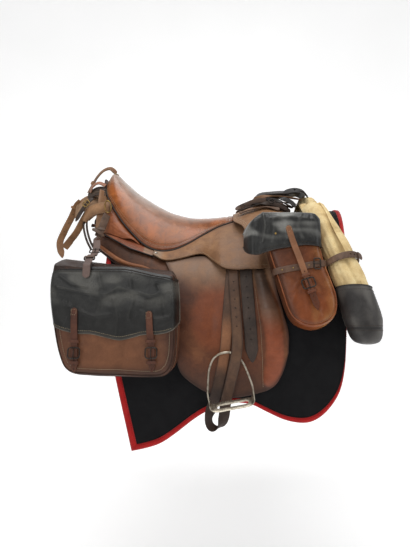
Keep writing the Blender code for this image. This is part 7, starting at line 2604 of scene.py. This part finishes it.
def fan():
    def look(p, u, v):
        c = tint(176, 146, 118, 0.55 * smooth((nz(p[0], p[1], 0, 22, 4) + 0.1) / 0.5))
        return {"paint": over(c, tint(70, 52, 42, 0.65 * smooth((0.22 - u) / 0.2))), "edge": 0.15}

    made = bent_sheet("cantle_apron", fan_point, 44, 64, 0.0034, M["suede"], lambda p: np.array((-0.2, 0, 1.0)), look, 80, (0.08, 0.16))
    place(made, "saddle", "tan_leather", "cantle_fan")
    rows = []
    for v in (0.05, 0.95):
        row = [np.array(fan_point(lerp(0.04, 0.96, k / 20), v)) + (0, 0, 0.0003) for k in range(21)]
        rows.append(stitches("s", row, [(0, (v - 0.5) * 2, 1)] * 21, M["thread"]))
    row = [np.array(fan_point(0.93, lerp(0.05, 0.95, k / 40))) + (0, 0, 0.0003) for k in range(41)]
    rows.append(stitches("s", row, [(-0.6, 0, 1)] * 41, M["thread"]))
    place(joined("cantle_apron_stitches", rows), "saddle", "tan_leather")
    for suffix, side in SIDES:
        # the broad tan strap that sweeps back from the ring at the cantle's corner
        centre = through([(-0.272, 0.098, 0.139), (-0.290, 0.100, 0.138), (-0.314, 0.100, 0.134), (-0.334, 0.097, 0.126), (-0.347, 0.096, 0.112), (-0.355, 0.097, 0.094)], per=8)
        wide = table([(0.0, 0.030), (0.12, 0.034), (0.35, 0.038), (0.6, 0.036), (0.8, 0.029), (1.0, 0.022)])

        def point(u, v):
            n = len(centre)
            f = u * (n - 1)
            p = np.array([np.interp(f, range(n), centre[:, q]) for q in range(3)])
            p2 = np.array([np.interp(min(n - 1, f + 1), range(n), centre[:, q]) for q in range(3)])
            p1 = np.array([np.interp(max(0, f - 1), range(n), centre[:, q]) for q in range(3)])
            t = unit(p2 - p1)
            up = unit(np.array((-t[2], 0, t[0])) * (-1 if t[0] < 0 else 1))
            s = v - 0.5
            q = p + up * wide(u) * s
            y = q[1] + 0.004 * (1 - (2 * s) ** 2) - 0.010 * max(0.0, s) + 0.0012 * nz(q[0], 0, q[2], 40, 3)
            return q[0], side * y, q[2]

        def shade(p, u, v):
            c = tint(178, 138, 102, 0.5 * smooth((u - 0.1) / 0.3) * (1 - abs(2 * v - 1) ** 2))
            return {"paint": over(c, tint(84, 58, 42, 0.6 * smooth((0.10 - u) / 0.08))), "edge": 0.3 * smooth((0.06 - min(v, 1 - v)) / 0.05)}

        made = bent_sheet("apron_wing" + suffix, point, 46, 16, 0.0034, M["tan"], lambda p: np.array((0, side * 1.0, 0.2)), shade, 80, (0.1, 0.036))
        place(made, "saddle", "tan_leather")
        rows = [stitches("s", [np.array(point(lerp(0.06, 0.96, k / 40), v)) + (0, side * 0.0003, 0) for k in range(41)], [(0, side * 1.0, 0.2)] * 41, M["thread"], 0.0028, 0.0020, 0.0004) for v in (0.08, 0.92)]
        place(joined("apron_wing_stitches" + suffix, rows), "saddle", "tan_leather")
        # bright brass buckle on the apron's corner, and its strap
        c = np.array((-0.349, side * 0.090, 0.1500))
        out = unit((-0.25, side * 0.90, 0.35))
        up = unit(np.cross(out, (0.6, 0, 0.75)))
        made = buckle("apron_buckle" + suffix, c + out * 0.003, unit(np.cross(up, out)), up, out, 0.021, 0.018, 0.0032, M["brass"])
        place(made, "saddle", "brass")
        path = through([(-0.334, side * 0.074, 0.170), (-0.344, side * 0.084, 0.158), (-0.354, side * 0.093, 0.142), (-0.366, side * 0.099, 0.120), (-0.380, side * 0.101, 0.094)], per=6)
        made = strap("apron_strap" + suffix, path, [out] * len(path), 0.014, 0.0026, M["girth"], "point", "round", 0.0004, False, 0.0028)
        place(made, "saddle", "strap_leather")
        # the leather that closes the cantle's side, down to the cover on the tree
        def gusset(u, v):
            x = lerp(-0.316, -0.170, u)
            y0, z0 = seat_edge_y(max(x, -0.300)) - 0.006, seat_edge_z(max(x, -0.300)) - 0.008
            if x < -0.290:
                k = smooth((-0.290 - x) / 0.026)
                y0, z0 = lerp(y0, 0.060, k), lerp(z0, 0.200, k)
            y1 = max(y0 + 0.006, lerp(0.112, 0.150, smooth(u * 1.2)))
            z1 = top_z(max(x, -0.343), y1, panel_top(max(x, -0.343), y1) + 0.0075)
            k = v
            bow = 0.006 * math.sin(math.pi * v) + 0.0010 * nz(x, v, 0, 26, 4)
            z1 = lerp(z1, z0 - 0.006, smooth((u - 0.62) / 0.38))
            return x, side * (lerp(y0, y1, k) + bow * (1 - smooth((u - 0.7) / 0.3))), lerp(z0, z1, k) + bow * 0.3

        def tone(p, u, v):
            c = tint(150, 84, 50, 0.6 * smooth((u - 0.35) / 0.3) * smooth((v - 0.2) / 0.3))
            return {"paint": over(c, tint(142, 110, 82, 0.85 * smooth((0.34 - u) / 0.25))), "gloss": 0.2}

        made = bent_sheet("cantle_gusset" + suffix, gusset, 50, 26, 0.0030, M["cover"], lambda p: np.array((0, side * 1.0, 0.3)), tone, 80, (0.14, 0.09))
        place(made, "saddle", "skirt_leather")


fan()


def hanging(name, side, points, width, thick, mat, tip="round", look=None, wobble=0.0, tail=None):
    line = through([(x, side * y, z) for x, y, z in points], per=8)
    normals = []
    for k in range(len(line)):
        t = line[min(k + 1, len(line) - 1)] - line[max(k - 1, 0)]
        n = np.cross(t, np.array((0, 1.0, 0)))
        n = n / np.linalg.norm(n) + np.array((0, side * 1.6, 0))
        normals.append(n)
    return strap(name, line, normals, width, thick, mat, tip, tail, 0.0005, False, 0.0028, look, wobble), line, normals


def rear_hanging():
    made, line, nn = hanging("crupper_billet", -1, [(-0.386, 0.030, 0.164), (-0.400, 0.032, 0.148), (-0.415, 0.037, 0.110), (-0.435, 0.046, 0.064), (-0.444, 0.060, 0.026), (-0.430, 0.076, -0.020)], 0.021, 0.0030, M["tan"], "point", None, 0.0004)
    holes = []
    for f in (0.22, 0.36, 0.48, 0.60):
        i = int(f * (len(line) - 1))
        holes.append((line[i] + unit(nn[i]) * 0.0065, nn[i], 0.0016, 0.012))
    punch(made, holes)
    place(made, "saddle", "tan_leather", "crupper_strap")
    i = int(0.26 * (len(line) - 1))
    t = unit(line[i + 1] - line[i - 1])
    k1 = keeper("crupper_keeper", line[i], t, np.cross(t, nn[i]), nn[i], 0.027, 0.008, 0.0085, M["tan"], 0.0022)
    place(k1, "saddle", "tan_leather")

    made, line, nn = hanging("keeper_billet", -1, [(-0.345, 0.084, 0.128), (-0.360, 0.090, 0.098), (-0.378, 0.098, 0.060), (-0.394, 0.105, 0.036), (-0.408, 0.110, 0.016)], 0.021, 0.0032, M["tan"], None)
    place(made, "saddle", "tan_leather", "keeper_strap")
    end, tt = line[-1], unit(line[-1] - line[-3])
    n = unit(nn[-1])
    # its end is folded back on itself
    path = through([end - tt * 0.030 + n * 0.0036, end - tt * 0.010 + n * 0.0040, end + tt * 0.004 + n * 0.0022, end + tt * 0.003 - n * 0.0020], per=6)
    made = strap("keeper_billet_fold", path, [n] * 10 + [unit(n + tt)] * (len(path) - 10), 0.021, 0.0028, M["tan"], None, "round", 0.0004, False, 0.0024)
    place(made, "saddle", "tan_leather")
    for suffix, side in SIDES:
        rc = np.array((-0.278, side * 0.104, 0.140))
        ring = []
        for k in range(48):
            a = 2 * math.pi * k / 48
            flat = 0.010 * math.cos(a)
            ring.append(rc + np.array((flat, side * 0.004 * math.sin(a), 0.018 * math.sin(a))))
        place(tube("cantle_ring" + suffix, ring, 0.0018, M["brass"], True, 12), "saddle", "brass", "cantle_dee" + suffix)
        made, line, nn = hanging("bag_hanger_strap" + suffix, side, [(-0.279, 0.112, 0.114), (-0.283, 0.134, 0.086), (-0.288, 0.152, 0.062), (-0.291, 0.168, 0.044)], 0.023, 0.0032, M["lash"], None)
        place(made, "saddle", "strap_leather", "bag_hanger" + suffix)
        # the folded knot where the hanging strap is made fast
        parts = []
        for dz, dy, rot in ((0.0, 0.0, 0.2), (-0.008, 0.008, -0.5)):
            c = np.array((-0.290, side * (0.158 + dy), 0.064 + dz))
            ax = unit((1, side * rot * 0.4, rot))
            path = through([c - ax * 0.018 + np.array((0, side * 0.003, 0.004)), c - ax * 0.006 + np.array((0, side * 0.010, 0.005)), c + ax * 0.008 + np.array((0, side * 0.010, 0.003)), c + ax * 0.019 + np.array((0, side * 0.003, -0.002))], per=6)
            parts.append(strap("k", path, [(0, side * 1.0, 0.8)] * len(path), 0.010, 0.0028, M["lash"], "round", "round", 0.0006, False, 0.0024, None, 0.0006))
        place(joined("hanger_knot" + suffix, parts), "saddle", "strap_leather")
        # two thin straps that run forward from the apron
        parts = []
        for off in (0.0, 0.010):
            path = through([(-0.362 + off, side * 0.078, 0.106), (-0.352 + off, side * 0.108, 0.070), (-0.333 + off, side * 0.140, 0.034), (-0.312 + off, side * 0.164, 0.006)], per=7)
            parts.append(strap("t", path, [(-0.5, side * 0.8, 0.6)] * len(path), 0.0065, 0.0024, M["girth"], "round", "round", 0.0003, False, 0.0026))
        place(joined("apron_thongs" + suffix, parts), "saddle", "strap_leather")
        # the hanging strap, over the bag's top and down on to the lid
        frm = bag_frame(side)
        over = [frm(-0.274, 0.0065, 0.012), frm(-0.271, 0.0030, 0.040), frm(-0.268, -0.0075, 0.066), frm(-0.265, -0.0235, 0.087)]
        pts = [(-0.289, 0.186, 0.032), (-0.281, 0.214, 0.013)] + [(p[0], abs(p[1]), p[2]) for p in over]

        def mauve(s, w):
            return {"paint": tint(118, 100, 96, 0.6), "gloss": 0.15}

        line = through([(x, side * y, z) for x, y, z in pts], per=8)
        nn = []
        for k in range(len(line)):
            t = unit(line[min(k + 1, len(line) - 1)] - line[max(k - 1, 0)])
            n = np.cross(t, np.array((1.0, 0, 0)))
            nn.append(unit(n if n[2] > 0 else -n))
        made = strap("hanging_billet" + suffix, line, nn, 0.020, 0.0030, M["lash"], None, None, 0.0005, False, 0.0028, mauve)
        place(made, "rear_bag_" + BODY[suffix], "strap_leather", "hanging_strap" + suffix)
        d = BAG_DEPTH + 0.0025 + 0.0035
        a = frm(-0.2645, -0.0260, 0.090)
        path = through([line[-1], frm(-0.2625, -0.0320, d + 0.0050), frm(-0.2620, -0.0430, d + 0.0060), frm(-0.2622, -0.0550, d + 0.0068), frm(-0.2628, -0.0660, d + 0.0068)], per=6)
        nn2 = [lerp(unit(nn[-1]), frm.out, min(1, k / 10)) for k in range(len(path))]
        made = strap("hanging_billet_tip" + suffix, path, nn2, 0.0198, 0.0030, M["lash"], "round", None, 0.0005, False, 0.0026, mauve)
        tuple(frm(-0.265, -0.030, d))
        tuple(frm(-0.265, -0.055, d))
        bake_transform(made)
        i = 12
        t = unit(line[i + 1] - line[i - 1])
        made = buckle("hanging_buckle" + suffix, line[i] + unit(nn[i]) * 0.002, unit(np.cross(t, nn[i])), -t, unit(nn[i]), 0.030, 0.024, 0.0034, M["iron"])
        place(made, "rear_bag_" + BODY[suffix], "dark_iron")
        i = len(line) - 8
        t = unit(line[i + 1] - line[i - 1])
        made = keeper("hanging_keeper" + suffix, line[i], t, np.cross(t, nn[i]), nn[i], 0.027, 0.010, 0.0085, M["lash"], 0.0022)
        place(made, "rear_bag_" + BODY[suffix], "strap_leather")


rear_hanging()

# ================================================================ floor and backdrop
profile = [(-6.0, -0.95), (1.6, -0.95)]
for k in range(1, 13):
    ang = math.pi / 2 * k / 12
    profile.append((1.6 + 1.6 * math.sin(ang), -0.95 + 1.6 * (1 - math.cos(ang))))
profile.append((3.2, 5.0))
bm = bmesh.new()
rows = [[bm.verts.new((x, y, z)) for x in (-9.0, -3.0, 3.0, 9.0)] for y, z in profile]
for i in range(len(rows) - 1):
    for j in range(3):
        bm.faces.new((rows[i][j], rows[i][j + 1], rows[i + 1][j + 1], rows[i + 1][j]))
bmesh.ops.recalc_face_normals(bm, faces=bm.faces[:])
floor_mesh = bpy.data.meshes.new("floor")
bm.to_mesh(floor_mesh)
bm.free()
floor_mesh.shade_smooth()
floor = bpy.data.objects.new("floor", floor_mesh)
scene.collection.objects.link(floor)
fm = Net("studio_floor")
pale = fm.ramp(fm.noise(0.8, 2), [(0.3, (0.90, 0.90, 0.90)), (0.7, (0.94, 0.94, 0.94))])
fm.put(fm.bsdf.inputs["Base Color"], pale)
fm.bsdf.inputs["Roughness"].default_value = 0.95
fm.bsdf.inputs["Specular IOR Level"].default_value = 0.1
fm.put(fm.bsdf.inputs["Emission Color"], pale)
fm.bsdf.inputs["Emission Strength"].default_value = 0.42
floor_mesh.materials.append(fm.mat)
